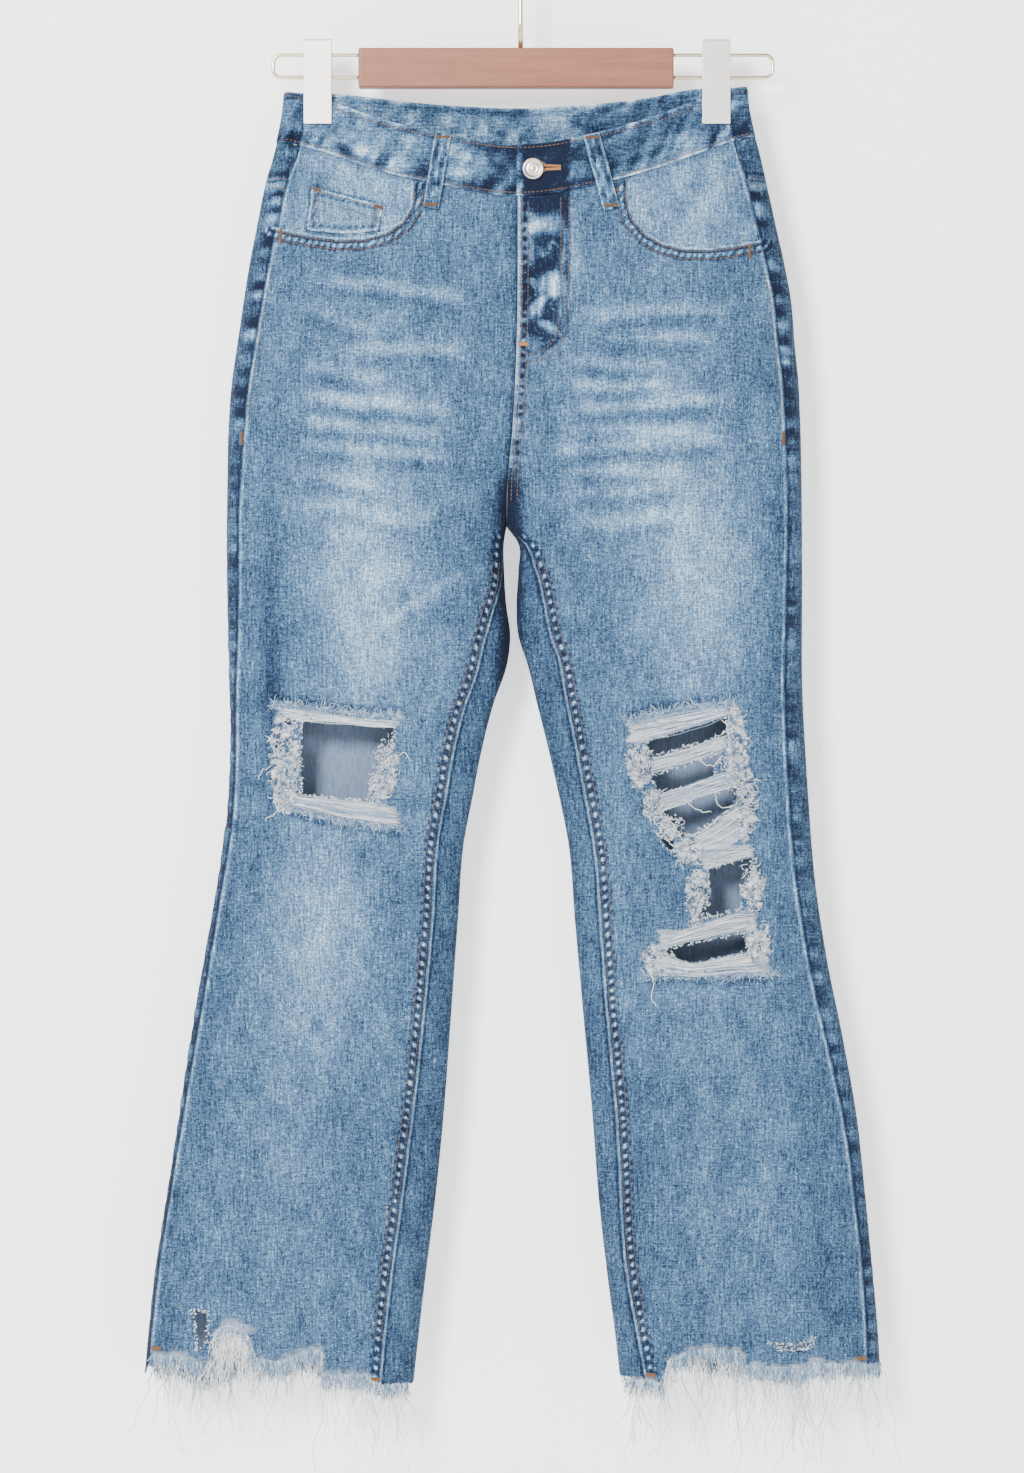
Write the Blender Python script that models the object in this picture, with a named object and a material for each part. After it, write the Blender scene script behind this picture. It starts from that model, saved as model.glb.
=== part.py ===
"""Flared jeans with ripped knees and a raw hem, hung flat from a clip hanger.

Metres, +Z up. The origin is the hang point, inside the crown of the hanger's hook. The front of
the jeans faces -Y, and the wearer's right leg lies on the -X side. Lengths in the tables are in
millimetres: "drop" is the distance below the hang point, x runs across the garment.
"""
from collections import namedtuple
from math import cos, pi, radians, sin

import bmesh
import bpy
import numpy as np
from mathutils import Vector
from mathutils.geometry import delaunay_2d_cdt

MM = 0.001
RIGHT = -1                    # the wearer's right leg, on -X
LEFT = 1
SIDE_NAMES = {RIGHT: "right", LEFT: "left"}

# Cloth
DENIM = 1.4                   # one wall of the legs
BAND_WALL = 2.4               # waistband, two layers
BAND_PROUD = 0.6              # how far the waistband stands out of the panels
SEAM_GAP = 0.3
WAIST_GAP = 0.5               # between the waistband and what is sewn to it
LAY_GAP = 0.6                 # between a piece and the panel it lies on
WAISTBAND_HEIGHT = 40.0
BAND_ROWS = 4
UNDERLAP = 30.0               # how far the band runs on behind its own end
OVERLAP_END_X = -2.0          # where the band's upper end stops
TUCK_TURN = 0.43              # the lower end slips under the upper one over this length of turn
TUCK_LENGTH = 0.05
CROTCH_DROP = 487.5
OPENING_RISE = 95.0           # height over which the two legs open into one body
SHOULDER = 0.12               # how square the flattened section is
BODY_PITCH = 34.0             # height of one row of the panels
COLUMNS = 32                  # columns round one leg
PINCH_HALF_DEPTH = 2.15       # outer face of the cloth from the middle, inside a clip
PINCH_DROP = 178.0
PINCH_FADE = 28.0
PINCH_OUTER_FLAT = 6.0        # flat cloth beyond the clip, towards the side
PINCH_OUTER_REACH = 6.0
PINCH_INNER_REACH = 52.0      # the waist opens over this length towards the middle

# Hanger
BAR_LENGTH = 247.0
BAR_HEIGHT = 31.0
BAR_THICK = 13.0
BAR_DROP = 128.0
WIRE_RADIUS = 1.5
WIRE_UPPER_DROP = 117.5
WIRE_LOWER_DROP = 135.0
WIRE_REACH = 196.0
CLIP_WIDTH = 22.0
CLIP_TOP_DROP = 105.5
CLIP_BOTTOM_DROP = 172.0
CLIP_PLATE = 1.6
CLIP_CHAMFER = 1.2
CLIP_JAW_DROP = 141.0          # where the jaws have opened to the cloth
JAW_GAP = 0.8
HOOK_RADIUS = 24.0            # of the wire's centre line
HOOK_WIRE = 2.0
HOOK_X = 2.0

# Fittings
BUTTON_X = 11.7
BUTTON_DROP = 209.8
BUTTON_RADIUS = 8.5
BUTTON_HEIGHT = 3.2
BUTTON_SEAT = 0.55            # back of the button from the band's face
LOOP_WIDTH = 12.0
LOOP_WALL = 1.6

# The outline across the garment: outer edge of each side and depth of its two faces.
Level = namedtuple("Level", "drop right_outer left_outer front_depth back_depth")
LEVELS = (
    Level(120, -182.0, 179.0, 16, 18),
    Level(143, -183.0, 179.5, 18, 21),
    Level(168, -185.5, 182.5, 20, 23),
    Level(194, -191.0, 189.5, 21, 25),
    Level(218, -198.0, 195.0, 22, 27),
    Level(250, -204.5, 202.0, 23, 28),
    Level(281, -210.5, 209.0, 24, 29),
    Level(312, -215.5, 214.5, 24, 30),
    Level(343, -220.0, 217.0, 25, 30),
    Level(374, -224.5, 220.0, 25, 29),
    Level(406, -227.0, 221.5, 24, 28),
    Level(452, -228.0, 222.5, 23, 26),
    Level(546, -228.0, 223.0, 22, 22),
    Level(608, -226.0, 223.0, 21, 21),
    Level(671, -225.5, 226.0, 20, 19),
    Level(702, -227.0, 228.0, 19, 18),
    Level(764, -235.0, 233.0, 18, 17),
    Level(827, -246.0, 242.5, 17, 17),
    Level(889, -256.5, 255.0, 17, 17),
    Level(952, -266.0, 266.0, 18, 17),
    Level(1014, -275.5, 272.5, 19, 18),
    Level(1076, -285.0, 278.5, 20, 18),
    Level(1123, -290.0, 282.5, 21, 19),
    Level(1180, -295.0, 285.5, 22, 20),
)

# The centre seam, down to the crotch.
Centre = namedtuple("Centre", "drop x")
CENTRE_SEAM = (Centre(120, 0.0), Centre(234, 0.0), Centre(345, -1.0), Centre(413, -4.5), Centre(450, -8.0),
               Centre(CROTCH_DROP, -9.0))

# Below the crotch: the inner fold of each leg.
Inner = namedtuple("Inner", "drop right left")
INNER_EDGES = (
    Inner(CROTCH_DROP, -9.0, -9.0),
    Inner(500, -11.0, 0.0),
    Inner(522, -10.8, 0.2),
    Inner(550, -9.0, -1.2),
    Inner(572, -6.0, 0.0),
    Inner(596, -8.6, 7.5),
    Inner(626, -19.0, 14.8),
    Inner(661, -28.0, 23.5),
    Inner(702, -36.0, 32.8),
    Inner(733, -42.0, 39.0),
    Inner(796, -47.0, 44.5),
    Inner(858, -51.5, 50.0),
    Inner(952, -58.5, 58.5),
    Inner(1014, -64.7, 63.2),
    Inner(1076, -72.5, 70.2),
    Inner(1123, -78.0, 76.4),
    Inner(1180, -84.0, 82.5),
)

# How far the two long seams lie in from the edges, on the front face.
SeamInset = namedtuple("SeamInset", "drop right_outer right_inner left_inner left_outer")
SEAM_INSETS = (
    SeamInset(120, 19, 0, 0, 18),
    SeamInset(190, 19, 0, 0, 18),
    SeamInset(290, 17, 0, 0, 16),
    SeamInset(415, 14, 0, 0, 13.5),
    SeamInset(487.5, 11, 0, 0, 13),
    SeamInset(512, 11, 1.2, 10, 13.5),
    SeamInset(530, 11, 3, 17, 14),
    SeamInset(580, 8.5, 21, 26, 15),
    SeamInset(620, 6, 22, 24, 16),
    SeamInset(720, 6, 21, 20, 17),
    SeamInset(785, 5.5, 20, 20, 16.5),
    SeamInset(850, 6, 21, 19, 16),
    SeamInset(1000, 4, 26, 18, 10.5),
    SeamInset(1060, 4, 27, 15.5, 9.5),
    SeamInset(1180, 4, 25.5, 22, 13),
)

# The waistband's top edge across the garment, front and back.
WaistEdge = namedtuple("WaistEdge", "x front back")
WAIST_EDGES = (
    WaistEdge(-200, 146.5, 146.5),
    WaistEdge(-178, 147.5, 147.0),
    WaistEdge(-143.5, 157.0, 148.0),
    WaistEdge(-115, 168.0, 150.0),
    WaistEdge(-62, 181.5, 153.5),
    WaistEdge(0, 190.5, 156.0),
    WaistEdge(62, 181.5, 153.0),
    WaistEdge(115, 165.5, 148.5),
    WaistEdge(143.5, 154.5, 144.0),
    WaistEdge(175, 143.5, 143.0),
    WaistEdge(200, 142.5, 142.5),
)

# Front pocket mouths, from the waist seam out to the side seam.
Mouth = namedtuple("Mouth", "x drop")
POCKET_MOUTHS = {
    RIGHT: (Mouth(-82, 221), Mouth(-82.5, 231), Mouth(-84.5, 241), Mouth(-91, 251), Mouth(-103, 259),
            Mouth(-120, 263.5), Mouth(-141, 264), Mouth(-162, 261), Mouth(-191, 254.5)),
    LEFT: (Mouth(85.5, 218), Mouth(86, 235), Mouth(90, 248.5), Mouth(100, 260), Mouth(113, 267.5),
           Mouth(130, 271.5), Mouth(150, 271.5), Mouth(168, 269), Mouth(190, 264.5)),
}
FACING_INNER_X = 66.0
FACING_BOTTOM_DROP = 284.0
FACING_ROWS = 5
FACING_COLUMNS = 12
YOKE_SIDE_DROP = 217.0
YOKE_DIP = 45.0               # how much lower the yoke seam is at the centre back
BACK_POCKET = (Mouth(40, 272), Mouth(172, 268), Mouth(176, 330), Mouth(168, 398), Mouth(107, 424),
               Mouth(46, 402), Mouth(40, 335))
COIN_POCKET = (Mouth(-161, 223), Mouth(-105, 238), Mouth(-109, 258.5), Mouth(-136, 260), Mouth(-165, 257.5))

# Raw lower edge of the front panels, across each leg.
HemPoint = namedtuple("HemPoint", "x drop")
FRONT_HEMS = {
    RIGHT: (HemPoint(-287.5, 1134), HemPoint(-262, 1136), HemPoint(-250, 1140), HemPoint(-238.5, 1139),
            HemPoint(-236, 1117), HemPoint(-230, 1109.5), HemPoint(-214, 1109.5), HemPoint(-208, 1128),
            HemPoint(-204, 1136), HemPoint(-190, 1139), HemPoint(-179, 1137.5), HemPoint(-168, 1131),
            HemPoint(-153, 1130), HemPoint(-156, 1148), HemPoint(-146, 1149.5), HemPoint(-119, 1148.5),
            HemPoint(-108, 1157)),
    LEFT: (HemPoint(102.5, 1154), HemPoint(113, 1157), HemPoint(118, 1137),
           HemPoint(133.5, 1130), HemPoint(152, 1128.5), HemPoint(172, 1131.5), HemPoint(177, 1142),
           HemPoint(190, 1143), HemPoint(210, 1143.5), HemPoint(222, 1146), HemPoint(229, 1139.5),
           HemPoint(250, 1140.5), HemPoint(271.5, 1141.5)),
}
BackHem = namedtuple("BackHem", "mean phase inseam outseam")
BACK_HEMS = {RIGHT: BackHem(1150.0, 0.7, 1158.0, 1136.0), LEFT: BackHem(1147.0, 2.1, 1152.0, 1142.0)}

# Holes that go right through the front panels.
Hole = namedtuple("Hole", "side outline")
HOLES = (
    Hole(RIGHT, ((-169, 640), (-135, 641), (-97, 645.5), (-98.5, 661), (-114, 688), (-117.5, 703),
                 (-143, 701), (-169, 699))),
    Hole(RIGHT, ((-185, 637.5), (-173.5, 638.5), (-174, 643.5), (-179, 645))),
    Hole(RIGHT, ((-253.5, 1100), (-241.5, 1100.5), (-242.5, 1125), (-250.5, 1131.5))),
    Hole(LEFT, ((99, 656.5), (134, 645), (163.5, 636), (163, 650.5), (134, 660), (104.5, 669))),
    Hole(LEFT, ((103, 681.5), (134, 671), (158.5, 664), (152, 683), (134, 689.5), (110.5, 696.5))),
    Hole(LEFT, ((112, 710.5), (142, 699.5), (173.5, 690), (170, 705), (150.5, 721), (137, 729.5), (126, 729))),
    Hole(LEFT, ((107, 726), (117, 731.5), (124, 734.5), (119.5, 742.5))),
    Hole(LEFT, ((149, 755.5), (183, 745.5), (181.5, 763.5), (175, 770.5), (174, 787), (154, 792.5),
                (137.5, 798), (149, 774))),
    Hole(LEFT, ((109, 819.5), (122.5, 815), (150, 809), (176.5, 804), (180, 820), (157.5, 824.5),
                (137.5, 829.5), (117, 823.5))),
    Hole(LEFT, ((196.5, 1125.5), (213.5, 1127.5), (231, 1122.5), (224.5, 1130), (205.5, 1132))),
)

# Broad folds: a soft ridge (+) or trough (-) along a line on one face.
Fold = namedtuple("Fold", "face x1 drop1 x2 drop2 half_width height")
FRONT = "front"
BACK = "back"
FOLDS = (
    Fold(FRONT, -150, 176, -98, 200, 9, 2.4), Fold(FRONT, -140, 190, -95, 214, 9, -1.8),
    Fold(FRONT, 142, 174, 68, 204, 9, 2.6), Fold(FRONT, 132, 190, 92, 208, 8, -1.8),
    Fold(FRONT, -170, 300, -35, 316, 16, 2.0), Fold(FRONT, -175, 335, -40, 352, 16, 1.6),
    Fold(FRONT, -180, 378, -50, 400, 18, 1.6), Fold(FRONT, 40, 322, 165, 314, 16, 2.0),
    Fold(FRONT, 40, 372, 168, 358, 16, 1.6), Fold(FRONT, 35, 425, 168, 395, 18, 1.6),
    Fold(FRONT, -38, 525, -120, 575, 16, 2.2), Fold(FRONT, 30, 560, 100, 620, 18, 1.8),
    Fold(FRONT, -205, 760, -222, 1080, 24, 3.0), Fold(FRONT, -150, 850, -165, 1140, 26, -3.0),
    Fold(FRONT, -108, 800, -118, 1140, 22, 2.6), Fold(FRONT, 110, 850, 128, 1130, 24, 2.8),
    Fold(FRONT, 165, 880, 190, 1130, 26, -3.0), Fold(FRONT, 205, 800, 232, 1130, 24, 2.6),
    Fold(BACK, -175, 470, -60, 490, 16, 2.2), Fold(BACK, 60, 490, 172, 468, 16, 2.2),
    Fold(BACK, -60, 520, -150, 560, 20, -2.2), Fold(BACK, 58, 520, 150, 562, 20, -2.2),
    Fold(BACK, -190, 690, -90, 720, 20, -2.4), Fold(BACK, 90, 715, 190, 692, 20, -2.4),
    Fold(BACK, -200, 820, -228, 1130, 26, 3.0), Fold(BACK, -130, 860, -140, 1140, 26, -3.0),
    Fold(BACK, 130, 850, 146, 1140, 26, 3.0), Fold(BACK, 195, 840, 222, 1130, 26, -2.6),
)
CLIP_X = {RIGHT: -157.0, LEFT: 155.5}

# Fringe: one backing strip each, along a level stretch of a raw edge.
Fringe = namedtuple("Fringe", "name side face x1 x2 strands length longest")
FRINGES = (
    Fringe("fringe_front_right_1", RIGHT, FRONT, -284, -262, 9, 16, 92),
    Fringe("fringe_front_right_2", RIGHT, FRONT, -230, -214, 8, 30, 52),
    Fringe("fringe_front_right_3", RIGHT, FRONT, -203, -180, 10, 16, 26),
    Fringe("fringe_front_right_4", RIGHT, FRONT, -146, -113, 14, 20, 78),
    Fringe("fringe_front_left_1", LEFT, FRONT, 134, 171, 14, 20, 72),
    Fringe("fringe_front_left_2", LEFT, FRONT, 178, 221, 17, 24, 88),
    Fringe("fringe_front_left_3", LEFT, FRONT, 231, 268, 15, 18, 84),
    Fringe("fringe_back_right_1", RIGHT, BACK, -280, -200, 20, 20, 60),
    Fringe("fringe_back_right_2", RIGHT, BACK, -180, -100, 20, 20, 88),
    Fringe("fringe_back_left_1", LEFT, BACK, 96, 176, 20, 20, 84),
    Fringe("fringe_back_left_2", LEFT, BACK, 196, 272, 20, 20, 64),
)
FRINGE_STRIP = 4.0
STRAIGHT_STRAND = 30.0        # shorter strands have no bend

Finish = namedtuple("Finish", "color roughness metallic")
FINISHES = {
    "denim": Finish((0.16, 0.30, 0.48), 0.9, 0.0),
    "raw_thread": Finish((0.80, 0.81, 0.82), 0.95, 0.0),
    "wood": Finish((0.45, 0.15, 0.08), 0.4, 0.0),
    "clip_metal": Finish((0.60, 0.58, 0.54), 0.35, 1.0),
    "wire_metal": Finish((0.62, 0.52, 0.36), 0.3, 1.0),
    "button_metal": Finish((0.62, 0.60, 0.56), 0.35, 1.0),
}


# ---------------------------------------------------------------- curves and the garment's surface

def curve_through(knots, values, at):
    """Smooth curve through a table's column, read at one place or many."""
    knots = np.asarray(knots, float)
    values = np.asarray(values, float)
    at = np.clip(np.asarray(at, float), knots[0], knots[-1])
    slopes = np.gradient(values, knots)
    cell = np.clip(np.searchsorted(knots, at) - 1, 0, len(knots) - 2)
    span = knots[cell + 1] - knots[cell]
    t = (at - knots[cell]) / span
    return ((2 * t**3 - 3 * t**2 + 1) * values[cell] + (t**3 - 2 * t**2 + t) * span * slopes[cell]
            + (3 * t**2 - 2 * t**3) * values[cell + 1] + (t**3 - t**2) * span * slopes[cell + 1])


def column(table, name, at, key="drop"):
    """One named column of a table, read smoothly at a drop (or at another key)."""
    return curve_through([getattr(row, key) for row in table], [getattr(row, name) for row in table], at)


def smooth_step(value):
    value = np.clip(value, 0.0, 1.0)
    return value * value * (3 - 2 * value)


def body_share(drop):
    """1 where the section is the whole body's half, 0 where it is one leg's closed ring."""
    rise = np.clip((CROTCH_DROP - np.asarray(drop, float)) / OPENING_RISE, 0.0, 1.0)
    return np.sin(rise * pi / 2)


def pinch(side, x, drop):
    """1 under a clip, fading away from it."""
    inward = -side * (x - CLIP_X[side])
    flat = CLIP_WIDTH / 2 + np.where(inward > 0, 1.0, PINCH_OUTER_FLAT)
    beyond = np.maximum(np.abs(inward) - flat, 0.0)
    reach = np.where(inward > 0, PINCH_INNER_REACH, PINCH_OUTER_REACH)
    return np.exp(-(beyond / reach) ** 2) * np.exp(-(np.maximum(drop - PINCH_DROP, 0.0) / PINCH_FADE) ** 2)


def fold_height(face, x, drop):
    total = np.zeros(np.broadcast(x, drop).shape)
    for fold in FOLDS:
        if fold.face != face:
            continue
        dx = fold.x2 - fold.x1
        dz = fold.drop2 - fold.drop1
        along = ((x - fold.x1) * dx + (drop - fold.drop1) * dz) / (dx * dx + dz * dz)
        held = np.clip(along, 0.0, 1.0)
        away = np.hypot(x - fold.x1 - held * dx, drop - fold.drop1 - held * dz)
        total = total + fold.height * np.exp(-(away / fold.half_width) ** 2)
    return total


def inner_edge(side, drop):
    """Centre seam above the crotch, the leg's inner fold below it."""
    above = column(CENTRE_SEAM, "x", drop)
    below = column(INNER_EDGES, SIDE_NAMES[side], drop)
    return np.where(np.asarray(drop) < CROTCH_DROP, above, below)


def face_point(side, face, angle, drop):
    """A point of one face in millimetres: angle runs from 0 at the outer fold to pi at the inner."""
    angle = np.asarray(angle, float)
    drop = np.asarray(drop, float)
    outer = column(LEVELS, SIDE_NAMES[side] + "_outer", drop)
    inner = inner_edge(side, drop)
    body = body_share(drop)
    square = 1 - SHOULDER
    leg_across = (1 - np.cos(angle)) / 2
    leg_depth = (np.sin(angle) + SHOULDER * np.sin(3 * angle)) / square
    body_across = 1 - np.cos(angle / 2)
    body_depth = (np.sin(angle / 2) + SHOULDER * np.sin(1.5 * angle)) / square
    x = outer + (inner - outer) * (leg_across + (body_across - leg_across) * body)
    depth = leg_depth + (body_depth - leg_depth) * body
    held = pinch(side, x, drop)
    full = column(LEVELS, face + "_depth", drop) * depth
    full = full + fold_height(face, x, drop) * np.clip(depth, 0.0, 0.6) / 0.6
    pinched = np.sign(depth) * np.minimum(np.abs(full), PINCH_HALF_DEPTH)
    y = full + (pinched - full) * held
    if face == FRONT:
        y = -y
    return np.stack([x, y, -drop], axis=-1)


def on_face(side, face, angle, drop, out=0.0):
    """Points of a face moved out along its normal, in millimetres."""
    step_angle = 0.002
    step_drop = 0.5
    point = face_point(side, face, angle, drop)
    across = face_point(side, face, angle + step_angle, drop) - face_point(side, face, angle - step_angle, drop)
    down = face_point(side, face, angle, drop + step_drop) - face_point(side, face, angle, drop - step_drop)
    normal = np.cross(across, down) * (side if face == FRONT else -side)
    normal = normal / np.maximum(np.linalg.norm(normal, axis=-1, keepdims=True), 1e-9)
    return point + normal * np.asarray(out, float)[..., None]


def skin(side, turn, drop, out=0.0):
    """Points of the cloth by turn: 0 outer fold, 0.5 inner fold, 1 outer fold again by the back."""
    turn, drop, out = np.broadcast_arrays(np.asarray(turn, float), drop, out)
    loop = np.mod(turn, 1.0)
    on_front = loop < 0.5
    angle = np.where(on_front, loop, 1.0 - loop) * 2 * pi
    front = on_face(side, FRONT, angle, drop, out)
    back = on_face(side, BACK, angle, drop, out)
    return np.where(on_front[..., None], front, back)


def turn_at(side, x, drop, face=FRONT):
    """The turn at which a face passes a given x."""
    x, drop = np.broadcast_arrays(np.asarray(x, float), np.asarray(drop, float))
    low = np.zeros(x.shape)
    high = np.full(x.shape, pi)
    for _ in range(26):
        middle = (low + high) / 2
        found = face_point(side, face, middle, drop)[..., 0]
        past = (found - x) * side < 0
        high = np.where(past, middle, high)
        low = np.where(past, low, middle)
    turn = (low + high) / (4 * pi)
    return turn if face == FRONT else 1.0 - turn


def seam_turn(side, which, drop, back_off):
    """Turn of the outer or inner long seam, moved back_off millimetres along the section."""
    name = SIDE_NAMES[side]
    inset = column(SEAM_INSETS, name + "_" + which, drop)
    if which == "outer":
        x = column(LEVELS, name + "_outer", drop) - side * inset
        turn = turn_at(side, x, drop)
    else:
        x = inner_edge(side, drop) + side * np.maximum(inset, 0.0)
        turn = turn_at(side, x, drop)
    step = 0.002
    here = skin(side, turn, drop)
    near = skin(side, turn - step, drop)
    pace = np.linalg.norm(here - near, axis=-1) / step
    return turn + back_off / np.maximum(pace, 1.0)


def waist_top(face, x):
    return column(WAIST_EDGES, face, x, key="x")


def waist_seam(side, turn):
    """Drop of the waistband's lower edge at a turn."""
    loop = np.mod(turn, 1.0)
    front = loop < 0.5
    guess = np.full(np.shape(loop), 200.0)
    for _ in range(3):
        x = skin(side, turn, guess)[..., 0]
        guess = np.where(front, waist_top(FRONT, x), waist_top(BACK, x)) + WAISTBAND_HEIGHT
    return guess


# ---------------------------------------------------------------- meshes

def material_for(name):
    finish = FINISHES[name]
    material = bpy.data.materials.get(name)
    if material is None:
        material = bpy.data.materials.new(name)
        material.use_nodes = True
        shader = material.node_tree.nodes["Principled BSDF"]
        shader.inputs["Base Color"].default_value = (*finish.color, 1.0)
        shader.inputs["Roughness"].default_value = finish.roughness
        shader.inputs["Metallic"].default_value = finish.metallic
    return material


def finish_object(name, bm, finish, sharp_degrees=40.0):
    """Put a bmesh into the scene as one smooth-shaded object."""
    bmesh.ops.recalc_face_normals(bm, faces=bm.faces)
    mesh = bpy.data.meshes.new(name)
    bm.to_mesh(mesh)
    bm.free()
    mesh.shade_smooth()
    mesh.set_sharp_from_angle(angle=radians(sharp_degrees))
    mesh.materials.append(material_for(finish))
    obj = bpy.data.objects.new(name, mesh)
    bpy.context.collection.objects.link(obj)
    return obj


def wall_object(name, outer, inner, triangles, finish):
    """Closed wall between two matching sheets of points (millimetres)."""
    bm = bmesh.new()
    top = [bm.verts.new(Vector(point) * MM) for point in outer]
    under = [bm.verts.new(Vector(point) * MM) for point in inner]
    uses = {}
    for a, b, c in triangles:
        bm.faces.new((top[a], top[b], top[c]))
        bm.faces.new((under[c], under[b], under[a]))
        for edge in ((a, b), (b, c), (c, a)):
            uses.setdefault(frozenset(edge), []).append(edge)
    for found in uses.values():
        if len(found) == 1:
            a, b = found[0]
            bm.faces.new((top[b], top[a], under[a], under[b]))
    return finish_object(name, bm, finish)


def grid_triangles(rows, columns, closed=False):
    """Triangles of a grid of points stored row by row."""
    triangles = []
    for row in range(rows - 1):
        for col in range(columns - (0 if closed else 1)):
            a = row * columns + col
            b = row * columns + (col + 1) % columns
            triangles.append((a, b, b + columns))
            triangles.append((a, b + columns, a + columns))
    return triangles


def grid_wall(name, side, turns, drops, out, wall, finish="denim"):
    """Wall over a grid of turns and drops (arrays of the same shape)."""
    rows, columns = turns.shape
    outer = skin(side, turns, drops, out).reshape(-1, 3)
    inner = skin(side, turns, drops, np.asarray(out) - wall).reshape(-1, 3)
    return wall_object(name, outer, inner, grid_triangles(rows, columns), finish)


def inside(outline, points):
    """Which points lie inside a closed outline."""
    x, y = points[:, 0], points[:, 1]
    result = np.zeros(len(points), bool)
    for (x1, y1), (x2, y2) in zip(outline, np.roll(outline, -1, axis=0)):
        crosses = (y1 > y) != (y2 > y)
        rise = np.where(y2 == y1, 1e-12, y2 - y1)
        result ^= crosses & (x < (x2 - x1) * (y - y1) / rise + x1)
    return result


def distance_to(outline, points):
    best = np.full(len(points), 1e9)
    for start, end in zip(outline, np.roll(outline, -1, axis=0)):
        span = end - start
        held = np.clip(((points - start) @ span) / max(span @ span, 1e-12), 0.0, 1.0)
        best = np.minimum(best, np.linalg.norm(points - start - held[:, None] * span, axis=1))
    return best


TURN_SCALE = 450.0            # millimetres of cloth in one turn, for spacing the triangles
CENTRE_PACE = 600.0           # millimetres across the body for one turn, at the centre seams


def cut_panel(name, side, outline, holes, fill, out=0.0, wall=DENIM, margin=7.0):
    """Wall cut to an outline with holes; every point is (turn, drop)."""
    scale = np.array([TURN_SCALE, 1.0])
    loops = [np.asarray(loop, float) * scale for loop in [outline, *holes]]
    fill = np.asarray(fill, float) * scale
    keep = inside(loops[0], fill)
    for number, loop in enumerate(loops):
        keep &= distance_to(loop, fill) > margin
        if number:
            keep &= ~inside(loop, fill)
    points = np.concatenate([*loops, fill[keep]])
    edges = []
    start = 0
    for loop in loops:
        count = len(loop)
        edges += [(start + i, start + (i + 1) % count) for i in range(count)]
        start += count
    flat = delaunay_2d_cdt([Vector(p) for p in points], edges, [], 0, 1e-5)
    verts = np.array([tuple(v) for v in flat[0]])
    centres = np.array([verts[list(face)].mean(axis=0) for face in flat[2]])
    wanted = inside(loops[0], centres)
    for loop in loops[1:]:
        wanted &= ~inside(loop, centres)
    triangles = [tuple(face) for face, use in zip(flat[2], wanted) if use]
    used = sorted({index for face in triangles for index in face})
    number_of = {index: number for number, index in enumerate(used)}
    triangles = [tuple(number_of[index] for index in face) for face in triangles]
    turns = verts[used, 0] / TURN_SCALE
    drops = verts[used, 1]
    outer = skin(side, turns, drops, out)
    inner = skin(side, turns, drops, out - wall)
    return wall_object(name, outer, inner, triangles, "denim")


# ---------------------------------------------------------------- the cut of each panel

def rows_between(top, bottom, pitch=BODY_PITCH):
    """Drops on the shared rows strictly between two drops."""
    first = int(top // pitch) + 1
    values = np.arange(first, int(bottom // pitch) + 1) * pitch
    return values[(values > top + pitch * 0.35) & (values < bottom - pitch * 0.35)]


def turns_between(low, high):
    """Shared columns strictly between two turns."""
    values = np.arange(int(np.ceil(low * COLUMNS)), int(np.floor(high * COLUMNS)) + 1) / COLUMNS
    return values[(values > low + 0.25 / COLUMNS) & (values < high - 0.25 / COLUMNS)]


def seam_points(side, which, drops, back_off):
    """(turn, drop) pairs down a long seam, moved back_off millimetres along the section."""
    return list(zip(seam_turn(side, which, drops, back_off).tolist(), np.asarray(drops, float).tolist()))


def points_at(side, places, face=FRONT):
    """(turn, drop) pairs for (x, drop) places on a face."""
    places = np.array([tuple(place) for place in places], float)
    return list(zip(turn_at(side, places[:, 0], places[:, 1], face).tolist(), places[:, 1].tolist()))


def front_outline(side):
    """Front panel as (turn, drop): waist seam, centre seam and inseam, hem, side seam, pocket mouth."""
    mouth = POCKET_MOUTHS[side]
    start_turn = float(turn_at(side, mouth[0].x, mouth[0].drop + 4))
    centre_turn = float(seam_turn(side, "inner", 240.0, -SEAM_GAP / 2))
    top_turns = np.array([start_turn, *turns_between(start_turn, 0.5), centre_turn])
    top = list(zip(top_turns.tolist(), (waist_seam(side, top_turns) + WAIST_GAP).tolist()))
    hem = FRONT_HEMS[side][::-1] if side == RIGHT else FRONT_HEMS[side]
    inner_rows = sorted([*rows_between(top[-1][1], hem[0].drop), CROTCH_DROP, hem[0].drop])
    inner = seam_points(side, "inner", inner_rows, -SEAM_GAP / 2)
    bottom = points_at(side, hem[1:-1])
    mouth_end = mouth[-1].drop
    outer_rows = [mouth_end, *rows_between(mouth_end, hem[-1].drop), hem[-1].drop]
    outer = seam_points(side, "outer", outer_rows, SEAM_GAP / 2)
    scoop = points_at(side, mouth[1:-1])
    return [*top, *inner, *bottom, *reversed(outer), *reversed(scoop)]


def build_front_panel(side):
    holes = []
    for hole in HOLES:
        if hole.side == side:
            holes.append(points_at(side, hole.outline))
    fill = [(turn, drop) for drop in rows_between(200, 1170) for turn in turns_between(0.0, 0.5)]
    return cut_panel("front_panel_" + SIDE_NAMES[side], side, front_outline(side), holes, fill)


def yoke_seam(turn):
    """Drop of the seam under the back yoke: level at the side, lower at the centre back."""
    share = np.clip((1.0 - np.minimum(turn, 1.0)) / 0.5, 0.0, 1.0)
    return YOKE_SIDE_DROP + YOKE_DIP * share**1.3


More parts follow.
